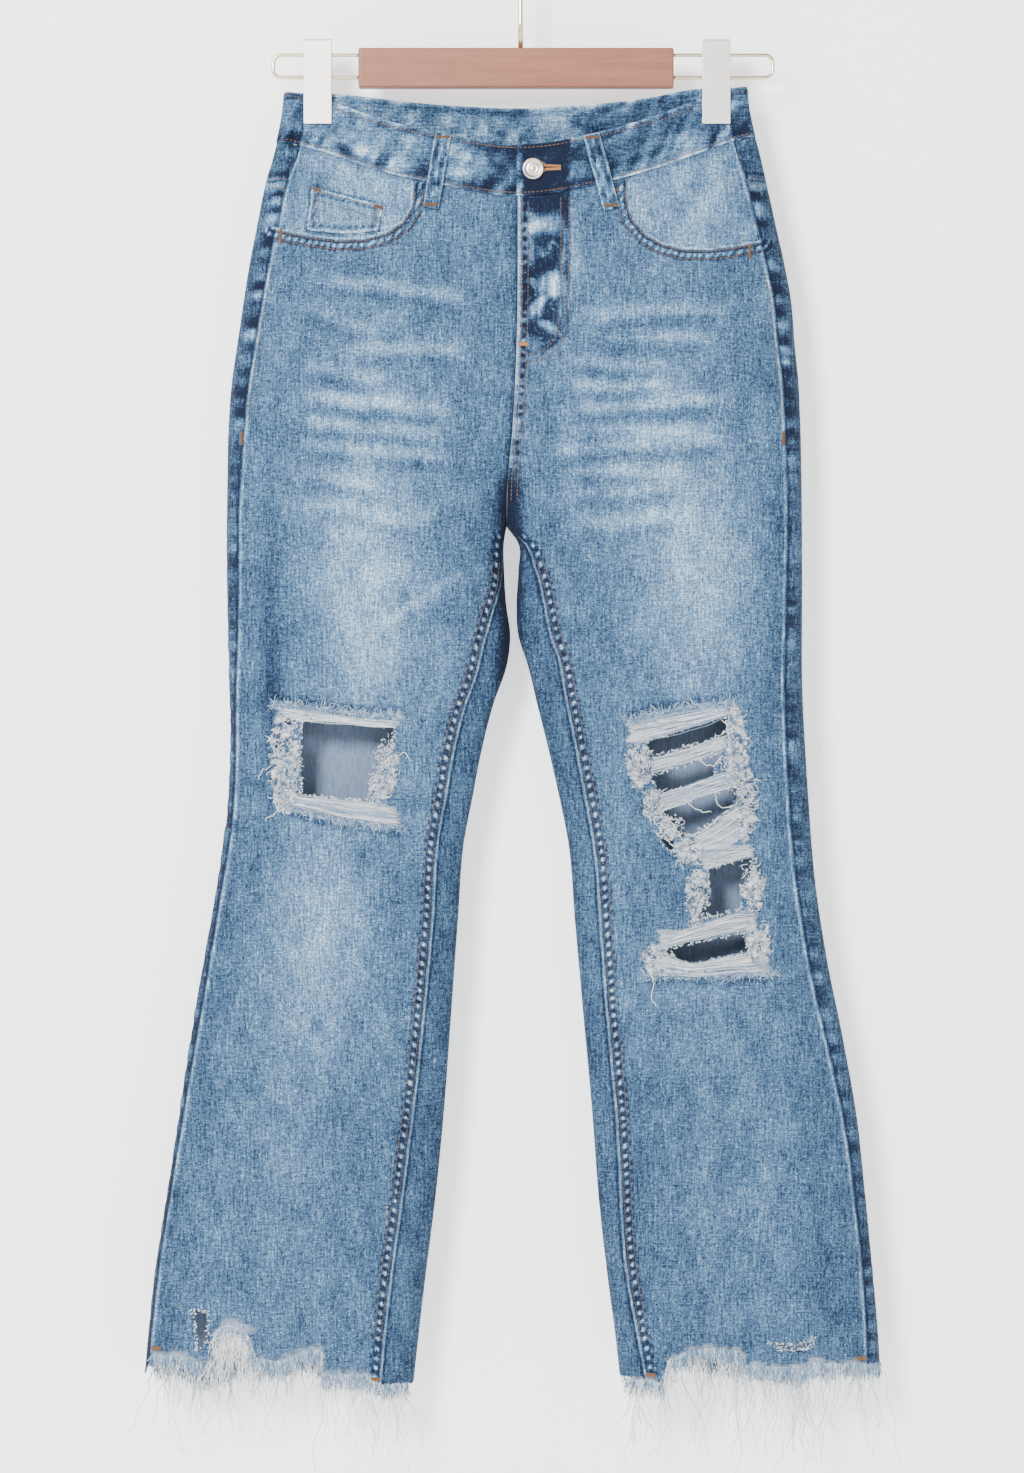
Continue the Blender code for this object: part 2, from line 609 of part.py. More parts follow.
def back_hem(side, turn):
    """Raw lower edge of the back panel: uneven waves that meet the front hem at both seams."""
    hem = BACK_HEMS[side]
    drop = hem.mean + 4.5 * np.sin(turn * 31 + hem.phase) + 2.5 * np.sin(turn * 67 + 2 * hem.phase)
    drop = drop + (hem.inseam - drop) * smooth_step((0.56 - turn) / 0.08)
    return drop + (hem.outseam - drop) * smooth_step((turn - 1.0) / 0.05)


def back_inner_turns(side, drops):
    """Inner boundary of the back panel: centre back above the crotch, inseam below it."""
    drops = np.asarray(drops, float)
    below = seam_turn(side, "inner", drops, SEAM_GAP / 2)
    centre = 0.5 + SEAM_GAP / 2 / CENTRE_PACE
    return np.where(drops < CROTCH_DROP - 1, centre, below)


def build_back_panel(side):
    """Back panel from the inseam round the back to the side seam, both on the front face."""
    seam_top = float(yoke_seam(0.5)) + SEAM_GAP
    end_top = float(yoke_seam(1.0)) + SEAM_GAP
    start_low = float(back_inner_turns(side, 1155.0))
    end_low = 1.0 + float(seam_turn(side, "outer", 1140.0, -SEAM_GAP / 2))
    bottom_turns = np.array([start_low, *turns_between(start_low, end_low), end_low])
    bottom = list(zip(bottom_turns.tolist(), back_hem(side, bottom_turns).tolist()))
    outer_rows = [end_top, *rows_between(end_top, bottom[-1][1])]
    outer = [(1.0 + turn, drop) for turn, drop in seam_points(side, "outer", outer_rows, -SEAM_GAP / 2)]
    inner_rows = sorted([seam_top, *rows_between(seam_top, bottom[0][1]), CROTCH_DROP])
    inner = list(zip(back_inner_turns(side, inner_rows).tolist(), inner_rows))
    top_turns = np.array([*turns_between(0.5, 1.0), 1.0])
    top = list(zip(top_turns.tolist(), (yoke_seam(top_turns) + SEAM_GAP).tolist()))
    fill = [(turn, drop) for drop in rows_between(200, 1170) for turn in turns_between(0.3, 1.2)]
    outline = [*top, *outer, *reversed(bottom), *reversed(inner)]
    return cut_panel("back_panel_" + SIDE_NAMES[side], side, outline, [], fill)


def build_yoke(side):
    """Back yoke, from the centre back to the side seam on the front face."""
    end = 1.0 + float(seam_turn(side, "outer", 205.0, -SEAM_GAP / 2))
    start = 0.5 + SEAM_GAP / 2 / CENTRE_PACE
    turns = np.array([start, *turns_between(0.5, 1.0), 1.0, end])
    upper = waist_seam(side, turns) + WAIST_GAP
    lower = yoke_seam(turns)
    shares = np.array([0.0, 0.5, 1.0])
    drops = upper + (lower - upper) * shares[:, None]
    return grid_wall("yoke_" + SIDE_NAMES[side], side, np.tile(turns, (3, 1)), drops, 0.0, DENIM)


def build_pocket_facing(side):
    """Hip piece that shows in the pocket mouth and runs on behind the front panel."""
    inner = float(turn_at(side, side * FACING_INNER_X, 250.0))
    outer = float(seam_turn(side, "outer", 240.0, SEAM_GAP))
    turns = np.linspace(outer, inner, FACING_COLUMNS)
    upper = waist_seam(side, turns) + WAIST_GAP
    shares = np.linspace(0.0, 1.0, FACING_ROWS)
    drops = upper + (FACING_BOTTOM_DROP - upper) * shares[:, None]
    edges = seam_turn(side, "outer", drops[:, 0], SEAM_GAP)
    blend = np.linspace(1.0, 0.0, FACING_COLUMNS) ** 2
    grid = turns[None, :] + (edges - outer)[:, None] * blend[None, :]
    return grid_wall("pocket_facing_" + SIDE_NAMES[side], side, grid, drops, -DENIM - LAY_GAP, DENIM)


def densified(corners, pitch):
    """Corners of an outline with points added along its straight sides."""
    result = []
    for start, end in zip(corners, [*corners[1:], corners[0]]):
        span = np.subtract(end, start)
        parts = max(1, round(float(np.linalg.norm(span)) / pitch))
        result += [tuple(np.add(start, span * part / parts)) for part in range(parts)]
    return result


def build_coin_pocket():
    """Small patch pocket on the right facing, stopping just above the pocket mouth."""
    outline = points_at(RIGHT, densified(COIN_POCKET, 15.0))
    fill = points_at(RIGHT, [(x, drop) for x in range(-155, -110, 14) for drop in (236, 248)])
    return cut_panel("coin_pocket", RIGHT, outline, [], fill, -0.2, DENIM - 0.2, margin=4.0)


def build_waistband():
    """One long band: under-lap at the centre front, round by the back to its own end on top."""
    under = BAND_PROUD - BAND_WALL - SEAM_GAP
    runs = [(LEFT, float(turn_at(LEFT, x, BUTTON_DROP)), under) for x in (UNDERLAP, UNDERLAP / 2)]
    runs.append((RIGHT, 0.4995, under))
    for turn in reversed(turns_between(0.0, 0.49)):
        tucked = float(smooth_step((turn - TUCK_TURN) / TUCK_LENGTH))
        runs.append((RIGHT, turn, BAND_PROUD + (under - BAND_PROUD) * tucked))
    runs += [(RIGHT, turn, BAND_PROUD) for turn in (0.0, *reversed(turns_between(0.5, 1.0)), 0.5)]
    runs += [(LEFT, turn, BAND_PROUD) for turn in (*turns_between(0.5, 1.0), 1.0)]
    runs += [(LEFT, turn, BAND_PROUD) for turn in (*turns_between(0.0, 0.5), 0.4999)]
    runs.append((RIGHT, float(turn_at(RIGHT, OVERLAP_END_X, BUTTON_DROP)), BAND_PROUD))
    outer = []
    inner = []
    seams = [float(waist_seam(side, turn)) for side, turn, out in runs]
    for row in range(BAND_ROWS):
        for (side, turn, out), seam in zip(runs, seams):
            drop = seam - WAISTBAND_HEIGHT * (1.0 - row / (BAND_ROWS - 1))
            outer.append(skin(side, turn, drop, out))
            inner.append(skin(side, turn, drop, out - BAND_WALL))
    return wall_object("waistband", outer, inner, grid_triangles(BAND_ROWS, len(runs)), "denim")


def build_back_pocket(side):
    """Five-sided patch pocket, plain."""
    outline = points_at(side, [(side * x, drop) for x, drop in densified(BACK_POCKET, 20.0)], BACK)
    fill = [(turn, drop) for drop in rows_between(240, 440) for turn in turns_between(0.5, 1.0)]
    return cut_panel("back_pocket_" + SIDE_NAMES[side], side, outline, [], fill, LAY_GAP + DENIM, DENIM)


BeltLoop = namedtuple("BeltLoop", "name side face x_top x_bottom length")
BELT_LOOPS = (
    BeltLoop("belt_loop_front_right", RIGHT, FRONT, -58, -68, 60),
    BeltLoop("belt_loop_front_left", LEFT, FRONT, 57, 73, 62),
    BeltLoop("belt_loop_back_right", RIGHT, BACK, -112, -112, 56),
    BeltLoop("belt_loop_back_left", LEFT, BACK, 112, 112, 56),
    BeltLoop("belt_loop_centre_back", RIGHT, BACK, -7, -7, 56),
)


def build_belt_loop(loop):
    """Narrow strap over the waistband, sewn down at both ends."""
    steps = 7
    outer = []
    inner = []
    for step in range(steps):
        share = step / (steps - 1)
        middle = loop.x_top + (loop.x_bottom - loop.x_top) * share
        out = BAND_PROUD + LAY_GAP + LOOP_WALL + 1.4 * sin(pi * share)
        for edge in (-0.5, 0.5):
            x = middle + edge * LOOP_WIDTH
            top = float(waist_top(loop.face, x)) + 0.5
            drop = top + loop.length * share
            turn = turn_at(loop.side, x, drop, loop.face)
            outer.append(skin(loop.side, turn, drop, out))
            inner.append(skin(loop.side, turn, drop, out - LOOP_WALL))
    return wall_object(loop.name, outer, inner, grid_triangles(steps, 2), "denim")


def strand(bm, root_face, start, heading, length, bend, tip):
    """Grow one four-sided strand out of a face of its backing strip."""
    rings = 2 if length > STRAIGHT_STRAND * MM else 1
    face = root_face
    for ring in range(1, rings + 1):
        share = ring / rings
        grown = bmesh.ops.extrude_discrete_faces(bm, faces=[face])["faces"][0]
        centre = grown.calc_center_median()
        target = start + heading * (length * share) + bend * (share * share)
        size = 1.0 + (tip - 1.0) * share
        earlier = 1.0 + (tip - 1.0) * (ring - 1) / rings
        for vert in grown.verts:
            vert.co = target + (vert.co - centre) * (size / earlier)
        face = grown
    return face


def build_fringe(fringe, seed):
    """Backing strip just below a raw edge, with strands fused to it at their roots."""
    rng = np.random.default_rng(seed)
    cells = fringe.strands * 2 + 1
    xs = np.linspace(fringe.x1, fringe.x2, cells + 1)
    if fringe.face == FRONT:
        hem = FRONT_HEMS[fringe.side]
        edge = np.interp(xs, [point.x for point in hem], [point.drop for point in hem])
        turns = turn_at(fringe.side, xs, edge)
    else:
        edge = np.full(xs.shape, BACK_HEMS[fringe.side].mean)
        for _ in range(2):
            turns = turn_at(fringe.side, xs, edge, BACK)
            knots = np.arange(COLUMNS // 2, COLUMNS + 1) / COLUMNS
            edge = np.interp(turns, knots, back_hem(fringe.side, knots))
    upper = edge + SEAM_GAP + 0.1
    lower = edge + FRINGE_STRIP
    bm = bmesh.new()
    rings = []
    for turn, high, low in zip(turns, upper, lower):
        corners = [skin(fringe.side, turn, high, 0.0), skin(fringe.side, turn, high, -DENIM),
                   skin(fringe.side, turn, low, -DENIM), skin(fringe.side, turn, low, 0.0)]
        rings.append([bm.verts.new(Vector(corner) * MM) for corner in corners])
    roots = []
    for first, second in zip(rings, rings[1:]):
        for corner in range(4):
            following = (corner + 1) % 4
            face = bm.faces.new((first[corner], first[following], second[following], second[corner]))
            if corner == 2:
                roots.append(face)
    bm.faces.new(rings[0])
    bm.faces.new(list(reversed(rings[-1])))
    bmesh.ops.recalc_face_normals(bm, faces=bm.faces)
    longest = int(rng.integers(1, fringe.strands - 1))
    for number in range(fringe.strands):
        face = roots[number * 2 + 1]
        start = face.calc_center_median()
        length = fringe.length * (0.55 + 0.9 * rng.random())
        if number == longest:
            length = fringe.longest
        bend = Vector((rng.uniform(-0.8, 0.8), rng.uniform(-0.5, 0.5), 0.0)) * MM
        strand(bm, face, start, Vector((0, 0, -1)), length * MM, bend, 0.35)
    return finish_object(fringe.name, bm, "raw_thread")


# ---------------------------------------------------------------- button and hanger

def lathe(name, profile, centre, axis_y, finish, steps=28):
    """Solid of revolution about the Y axis; profile runs (radius, y) from front centre to back centre."""
    bm = bmesh.new()
    rings = []
    for radius, y in profile:
        if radius < 1e-6:
            rings.append([bm.verts.new(centre + Vector((0, y * axis_y, 0)) * MM)])
            continue
        ring = []
        for step in range(steps):
            angle = 2 * pi * step / steps
            ring.append(bm.verts.new(centre + Vector((radius * cos(angle), y * axis_y, radius * sin(angle))) * MM))
        rings.append(ring)
    for first, second in zip(rings, rings[1:]):
        for step in range(steps):
            following = (step + 1) % steps
            if len(first) == 1:
                bm.faces.new((first[0], second[step], second[following]))
            elif len(second) == 1:
                bm.faces.new((first[step], first[following], second[0]))
            else:
                bm.faces.new((first[step], first[following], second[following], second[step]))
    return finish_object(name, bm, finish, 35.0)


def build_button():
    """Shank button with a raised rim, standing on the waistband's overlap."""
    seat = skin(LEFT, turn_at(LEFT, BUTTON_X, BUTTON_DROP), BUTTON_DROP, BAND_PROUD)
    centre = Vector((BUTTON_X, seat[1] - BUTTON_SEAT, -BUTTON_DROP)) * MM
    profile = ((0.0, -BUTTON_HEIGHT + 0.7), (BUTTON_RADIUS - 2.6, -BUTTON_HEIGHT + 0.6),
               (BUTTON_RADIUS - 1.8, -BUTTON_HEIGHT), (BUTTON_RADIUS - 0.5, -BUTTON_HEIGHT + 0.3),
               (BUTTON_RADIUS, -BUTTON_HEIGHT + 1.1), (BUTTON_RADIUS - 0.5, -BUTTON_HEIGHT + 1.8),
               (4.0, -1.2), (3.4, 0.0), (0.0, 0.0))
    return lathe("button", profile, centre, 1.0, "button_metal")


def swept_tube(name, path, radius, finish, closed=False, sides=10):
    """Round wire along a path of millimetre points, with flat ends."""
    curve = bpy.data.curves.new(name + "_path", "CURVE")
    curve.dimensions = "3D"
    curve.bevel_depth = radius * MM
    curve.bevel_resolution = 3
    curve.use_fill_caps = True
    spline = curve.splines.new("POLY")
    spline.points.add(len(path) - 1)
    for point, place in zip(spline.points, path):
        point.co = (*(Vector(place) * MM), 1.0)
    spline.use_cyclic_u = closed
    spline.use_smooth = True
    obj = bpy.data.objects.new(name, curve)
    curve.materials.append(material_for(finish))
    bpy.context.collection.objects.link(obj)
    return obj


def arc(centre_x, centre_z, radius, start, end, steps):
    """Points of an arc in the XZ plane, in degrees."""
    angles = [radians(start + (end - start) * step / steps) for step in range(steps + 1)]
    return [(centre_x + radius * cos(angle), 0.0, centre_z + radius * sin(angle)) for angle in angles]


def build_bar():
    """Wooden bar with softly rounded edges."""
    bm = bmesh.new()
    bmesh.ops.create_cube(bm, size=1.0)
    bmesh.ops.scale(bm, vec=Vector((BAR_LENGTH, BAR_THICK, BAR_HEIGHT)) * MM, verts=bm.verts)
    bmesh.ops.bevel(bm, geom=list(bm.edges), offset=2.0 * MM, segments=3, affect="EDGES", profile=0.5)
    bmesh.ops.translate(bm, vec=Vector((-1.5, 0.0, -BAR_DROP)) * MM, verts=bm.verts)
    return finish_object("hanger_bar", bm, "wood", 30.0)


def build_hanger_wire(side):
    """U of wire that the clip rides on, its two ends seated against the bar's end."""
    bar_end = -1.5 + side * (BAR_LENGTH / 2 + SEAM_GAP)
    middle = -(WIRE_UPPER_DROP + WIRE_LOWER_DROP) / 2
    bend = 6.0
    far = side * WIRE_REACH + 4.0
    corner = far - side * bend
    upper = -WIRE_UPPER_DROP
    lower = -WIRE_LOWER_DROP
    if side == LEFT:
        turn_out = arc(corner, upper - bend, bend, 90, 0, 5)
        turn_back = arc(corner, lower + bend, bend, 0, -90, 5)
    else:
        turn_out = arc(corner, upper - bend, bend, 90, 180, 5)
        turn_back = arc(corner, lower + bend, bend, 180, 270, 5)
    path = [(bar_end, 0.0, upper), *turn_out, (far, 0.0, middle), *turn_back, (bar_end, 0.0, lower)]
    return swept_tube("hanger_wire_" + SIDE_NAMES[side], path, WIRE_RADIUS, "wire_metal")


def build_clip(side):
    """Flat clip: a solid head seated on the upper wire, and two jaws closing on the waistband."""
    grip = PINCH_HALF_DEPTH + BAND_PROUD + JAW_GAP
    face = grip + CLIP_PLATE
    slot = WIRE_RADIUS + SEAM_GAP
    head = -WIRE_UPPER_DROP + slot
    half = ((CLIP_CHAMFER - face, -CLIP_TOP_DROP), (-face, -CLIP_TOP_DROP - CLIP_CHAMFER),
            (-face, -CLIP_BOTTOM_DROP), (-grip, -CLIP_BOTTOM_DROP), (-grip, -CLIP_JAW_DROP),
            (-slot, -WIRE_LOWER_DROP - slot - SEAM_GAP), (-slot, head))
    ring = [*half, *[(-y, z) for y, z in reversed(half)]]
    bm = bmesh.new()
    sheets = []
    for edge in (-0.5, 0.5):
        x = CLIP_X[side] + edge * CLIP_WIDTH
        sheets.append([bm.verts.new(Vector((x, y, z)) * MM) for y, z in ring])
    for index in range(len(ring)):
        following = (index + 1) % len(ring)
        bm.faces.new((sheets[0][index], sheets[0][following], sheets[1][following], sheets[1][index]))
    for sheet in sheets:
        bm.faces.new(sheet)
    return finish_object("clip_" + SIDE_NAMES[side], bm, "clip_metal", 30.0)


def build_hook():
    """Wire hook: a straight stem on the bar's top, then three quarters of a ring round the hang point."""
    centre_z = -HOOK_RADIUS + HOOK_WIRE
    stem_foot = (HOOK_X, 0.0, -BAR_DROP + BAR_HEIGHT / 2 + SEAM_GAP)
    stem = [stem_foot, (HOOK_X, 0.0, -92.0), (HOOK_X, 0.0, -72.0), (HOOK_X, 0.0, -62.0),
            (HOOK_X + 1.5, 0.0, -55.0), (HOOK_X + 6.5, 0.0, -47.5)]
    ring = arc(0.0, centre_z, HOOK_RADIUS, -52.0, 195.0, 22)
    tip = (ring[-1][0] - 1.5, 0.0, ring[-1][2] - 6.0)
    return swept_tube("hook", [*stem, *ring, tip], HOOK_WIRE, "wire_metal")


def main():
    for obj in list(bpy.data.objects):
        bpy.data.objects.remove(obj, do_unlink=True)
    for side in (RIGHT, LEFT):
        build_front_panel(side)
        build_back_panel(side)
        build_yoke(side)
        build_pocket_facing(side)
        build_back_pocket(side)
        build_hanger_wire(side)
        build_clip(side)
    build_waistband()
    build_coin_pocket()
    build_button()
    build_bar()
    build_hook()
    for loop in BELT_LOOPS:
        build_belt_loop(loop)
    for seed, fringe in enumerate(FRINGES):
        build_fringe(fringe, seed)


main()
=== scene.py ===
"""Looks of the flared jeans on their clip hanger, over the fixed frame of solids.

Lengths inside the classes are millimetres: x runs across the garment and "drop" is the distance
below the hang point. They become metres when a mesh is made. The front of the jeans faces -Y and
the wearer's right leg lies on the -X side.
"""
import logging
from dataclasses import dataclass, field
from enum import Enum, IntEnum
from math import cos, pi, radians, sin
from typing import Callable, Iterable, NamedTuple, Sequence

import bmesh
import bpy
import numpy as np
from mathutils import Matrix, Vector
from mathutils.geometry import delaunay_2d_cdt


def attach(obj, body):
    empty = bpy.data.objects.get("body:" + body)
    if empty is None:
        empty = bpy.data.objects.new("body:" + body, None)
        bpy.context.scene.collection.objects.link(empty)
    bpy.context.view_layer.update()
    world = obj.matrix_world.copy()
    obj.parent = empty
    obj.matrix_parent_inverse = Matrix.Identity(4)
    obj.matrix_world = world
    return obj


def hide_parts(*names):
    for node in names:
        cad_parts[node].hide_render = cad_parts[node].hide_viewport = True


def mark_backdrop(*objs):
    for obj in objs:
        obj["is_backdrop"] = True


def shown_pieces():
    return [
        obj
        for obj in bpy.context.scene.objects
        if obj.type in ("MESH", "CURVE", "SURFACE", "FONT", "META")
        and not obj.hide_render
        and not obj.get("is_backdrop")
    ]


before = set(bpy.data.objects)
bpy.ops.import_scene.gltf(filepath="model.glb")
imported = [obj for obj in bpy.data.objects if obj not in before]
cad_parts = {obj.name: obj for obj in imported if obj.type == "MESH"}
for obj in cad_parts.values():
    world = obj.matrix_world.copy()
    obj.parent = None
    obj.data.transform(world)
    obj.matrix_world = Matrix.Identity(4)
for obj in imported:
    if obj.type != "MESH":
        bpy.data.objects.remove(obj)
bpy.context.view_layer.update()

MM = 0.001
log = logging.getLogger("jeans")
Array = np.ndarray


class Side(IntEnum):
    """Leg of the garment, by the sign of its x."""

    RIGHT = -1
    LEFT = 1

    @property
    def word(self) -> str:
        """The side's name as the nodes use it."""
        return self.name.lower()


class Face(Enum):
    """Front or back of the flattened garment."""

    FRONT = "front"
    BACK = "back"


class Slot(Enum):
    """Finish slots passed with the pieces; nothing here keeps them."""

    DENIM = "denim"
    THREAD = "raw_thread"
    WOOD = "wood"
    CLIP = "clip_metal"
    WIRE = "wire_metal"
    BUTTON = "button_metal"


# ---------------------------------------------------------------- sizes of the garment


@dataclass(frozen=True)
class Sizes:
    """Sizes that the pieces share with the solids, in millimetres."""

    wall: float = 1.15
    band_wall: float = 2.2
    band_proud: float = 0.6
    seam_gap: float = 0.3
    waist_gap: float = 0.5
    lay_gap: float = 0.6
    waistband: float = 40.0
    underlap: float = 30.0
    overlap_end: float = -2.0
    crotch: float = 487.5
    opening_rise: float = 95.0
    shoulder: float = 0.12
    turn_scale: float = 450.0
    centre_pace: float = 600.0
    pinch_half_depth: float = 2.15
    pinch_drop: float = 178.0
    pinch_fade: float = 28.0
    pinch_outer_flat: float = 6.0
    pinch_outer_reach: float = 6.0
    pinch_inner_reach: float = 52.0
    clip_width: float = 22.0
    facing_inner: float = 66.0
    facing_bottom: float = 284.0
    yoke_side: float = 217.0
    yoke_dip: float = 45.0
    loop_width: float = 12.0
    loop_wall: float = 1.6


SIZE = Sizes()
CLIP_X = {Side.RIGHT: -157.0, Side.LEFT: 155.5}

# drop, right outer edge, left outer edge, front depth, back depth
LEVELS = (
    (120, -182.0, 179.0, 16, 18), (143, -183.0, 179.5, 18, 21), (168, -185.5, 182.5, 20, 23),
    (194, -191.0, 189.5, 21, 25), (218, -198.0, 195.0, 22, 27), (250, -204.5, 202.0, 23, 28),
    (281, -210.5, 209.0, 24, 29), (312, -215.5, 214.5, 24, 30), (343, -220.0, 217.0, 25, 30),
    (374, -224.5, 220.0, 25, 29), (406, -227.0, 221.5, 24, 28), (452, -228.0, 222.5, 23, 26),
    (546, -228.0, 223.0, 22, 22), (608, -226.0, 223.0, 21, 21), (671, -225.5, 226.0, 20, 19),
    (702, -227.0, 228.0, 19, 18), (764, -235.0, 233.0, 18, 17), (827, -246.0, 242.5, 17, 17),
    (889, -256.5, 255.0, 17, 17), (952, -266.0, 266.0, 18, 17), (1014, -275.5, 272.5, 19, 18),
    (1076, -285.0, 278.5, 20, 18), (1123, -290.0, 282.5, 21, 19), (1180, -295.0, 285.5, 22, 20),
)
CENTRE_SEAM = ((120, 0.0), (234, 0.0), (345, -1.0), (413, -4.5), (450, -8.0), (487.5, -9.0))
# drop, inner fold of the right leg, of the left leg
INNER_EDGES = (
    (487.5, -9.0, -9.0), (500, -11.0, 0.0), (522, -10.8, 0.2), (550, -9.0, -1.2), (572, -6.0, 0.0),
    (596, -8.6, 7.5), (626, -19.0, 14.8), (661, -28.0, 23.5), (702, -36.0, 32.8), (733, -42.0, 39.0),
    (796, -47.0, 44.5), (858, -51.5, 50.0), (952, -58.5, 58.5), (1014, -64.7, 63.2),
    (1076, -72.5, 70.2), (1123, -78.0, 76.4), (1180, -84.0, 82.5),
)
# drop, inset of the right outer, right inner, left inner and left outer seam
SEAM_INSETS = (
    (120, 19, 0, 0, 18), (190, 19, 0, 0, 18), (290, 17, 0, 0, 16), (415, 14, 0, 0, 13.5),
    (487.5, 11, 0, 0, 13), (512, 11, 1.2, 10, 13.5), (530, 11, 3, 17, 14), (580, 8.5, 21, 26, 15),
    (620, 6, 22, 24, 16), (720, 6, 21, 20, 17), (785, 5.5, 20, 20, 16.5), (850, 6, 21, 19, 16),
    (1000, 4, 26, 18, 10.5), (1060, 4, 27, 15.5, 9.5), (1180, 4, 25.5, 22, 13),
)
# x, top edge of the waistband in front, at the back
WAIST_EDGES = (
    (-200, 146.5, 146.5), (-178, 147.5, 147.0), (-143.5, 157.0, 148.0), (-115, 168.0, 150.0),
    (-62, 181.5, 153.5), (0, 190.5, 156.0), (62, 181.5, 153.0), (115, 165.5, 148.5),
    (143.5, 154.5, 144.0), (175, 143.5, 143.0), (200, 142.5, 142.5),
)
POCKET_MOUTHS = {
    Side.RIGHT: ((-82, 221), (-82.5, 231), (-84.5, 241), (-91, 251), (-103, 259), (-120, 263.5),
                 (-141, 264), (-162, 261), (-191, 254.5)),
    Side.LEFT: ((85.5, 218), (86, 235), (90, 248.5), (100, 260), (113, 267.5), (130, 271.5),
                (150, 271.5), (168, 269), (190, 264.5)),
}
COIN_POCKET = ((-161, 223), (-105, 238), (-109, 258.5), (-136, 260), (-165, 257.5))
BACK_POCKET = ((40, 272), (172, 268), (176, 330), (168, 398), (107, 424), (46, 402), (40, 335))
FRONT_HEMS = {
    Side.RIGHT: ((-287.5, 1134), (-262, 1136), (-250, 1140), (-238.5, 1139), (-236, 1117),
                 (-230, 1109.5), (-214, 1109.5), (-208, 1128), (-204, 1136), (-190, 1139),
                 (-179, 1137.5), (-168, 1131), (-153, 1130), (-156, 1148), (-146, 1149.5),
                 (-119, 1148.5), (-108, 1157)),
    Side.LEFT: ((102.5, 1154), (113, 1157), (118, 1137), (133.5, 1130), (152, 1128.5),
                (172, 1131.5), (177, 1142), (190, 1143), (210, 1143.5), (222, 1146),
                (229, 1139.5), (250, 1140.5), (271.5, 1141.5)),
}


class BackHem(NamedTuple):
    """Mean drop, phase of the waves and the drop at both seams."""

    mean: float
    phase: float
    inseam: float
    outseam: float


BACK_HEMS = {
    Side.RIGHT: BackHem(1150.0, 0.7, 1158.0, 1136.0),
    Side.LEFT: BackHem(1147.0, 2.1, 1152.0, 1142.0),
}
HOLES = {
    Side.RIGHT: (
        ((-169, 640), (-135, 641), (-97, 645.5), (-98.5, 661), (-114, 688), (-117.5, 703), (-143, 701),
         (-169, 699)),
        ((-185, 637.5), (-173.5, 638.5), (-174, 643.5), (-179, 645)),
        ((-253.5, 1100), (-241.5, 1100.5), (-242.5, 1125), (-250.5, 1131.5)),
    ),
    Side.LEFT: (
        ((99, 656.5), (134, 645), (163.5, 636), (163, 650.5), (134, 660), (104.5, 669)),
        ((103, 681.5), (134, 671), (158.5, 664), (152, 683), (134, 689.5), (110.5, 696.5)),
        ((112, 710.5), (142, 699.5), (173.5, 690), (170, 705), (150.5, 721), (137, 729.5), (126, 729)),
        ((107, 726), (117, 731.5), (124, 734.5), (119.5, 742.5)),
        ((149, 755.5), (183, 745.5), (181.5, 763.5), (175, 770.5), (174, 787), (154, 792.5),
         (137.5, 798), (149, 774)),
        ((109, 819.5), (122.5, 815), (150, 809), (176.5, 804), (180, 820), (157.5, 824.5),
         (137.5, 829.5), (117, 823.5)),
        ((196.5, 1125.5), (213.5, 1127.5), (231, 1122.5), (224.5, 1130), (205.5, 1132)),
    ),
}
# Broad folds that the solids already have: x1, drop1, x2, drop2, half width, height
BROAD_FOLDS = {
    Face.FRONT: (
        (-150, 176, -98, 200, 9, 2.4), (-140, 190, -95, 214, 9, -1.8), (142, 174, 68, 204, 9, 2.6),
        (132, 190, 92, 208, 8, -1.8), (-170, 300, -35, 316, 16, 2.0), (-175, 335, -40, 352, 16, 1.6),
        (-180, 378, -50, 400, 18, 1.6), (40, 322, 165, 314, 16, 2.0), (40, 372, 168, 358, 16, 1.6),
        (35, 425, 168, 395, 18, 1.6), (-38, 525, -120, 575, 16, 2.2), (30, 560, 100, 620, 18, 1.8),
        (-205, 760, -222, 1080, 24, 3.0), (-150, 850, -165, 1140, 26, -3.0),
        (-108, 800, -118, 1140, 22, 2.6), (110, 850, 128, 1130, 24, 2.8),
        (165, 880, 190, 1130, 26, -3.0), (205, 800, 232, 1130, 24, 2.6),
    ),
    Face.BACK: (
        (-175, 470, -60, 490, 16, 2.2), (60, 490, 172, 468, 16, 2.2), (-60, 520, -150, 560, 20, -2.2),
        (58, 520, 150, 562, 20, -2.2), (-190, 690, -90, 720, 20, -2.4), (90, 715, 190, 692, 20, -2.4),
        (-200, 820, -228, 1130, 26, 3.0), (-130, 860, -140, 1140, 26, -3.0),
        (130, 850, 146, 1140, 26, 3.0), (195, 840, 222, 1130, 26, -2.6),
    ),
}


@dataclass(frozen=True)
class Crease:
    """One crease or worn streak laid along a line of one face."""

    face: Face
    x1: float
    drop1: float
    x2: float
    drop2: float
    half_width: float
    height: float
    fade: float = 0.0


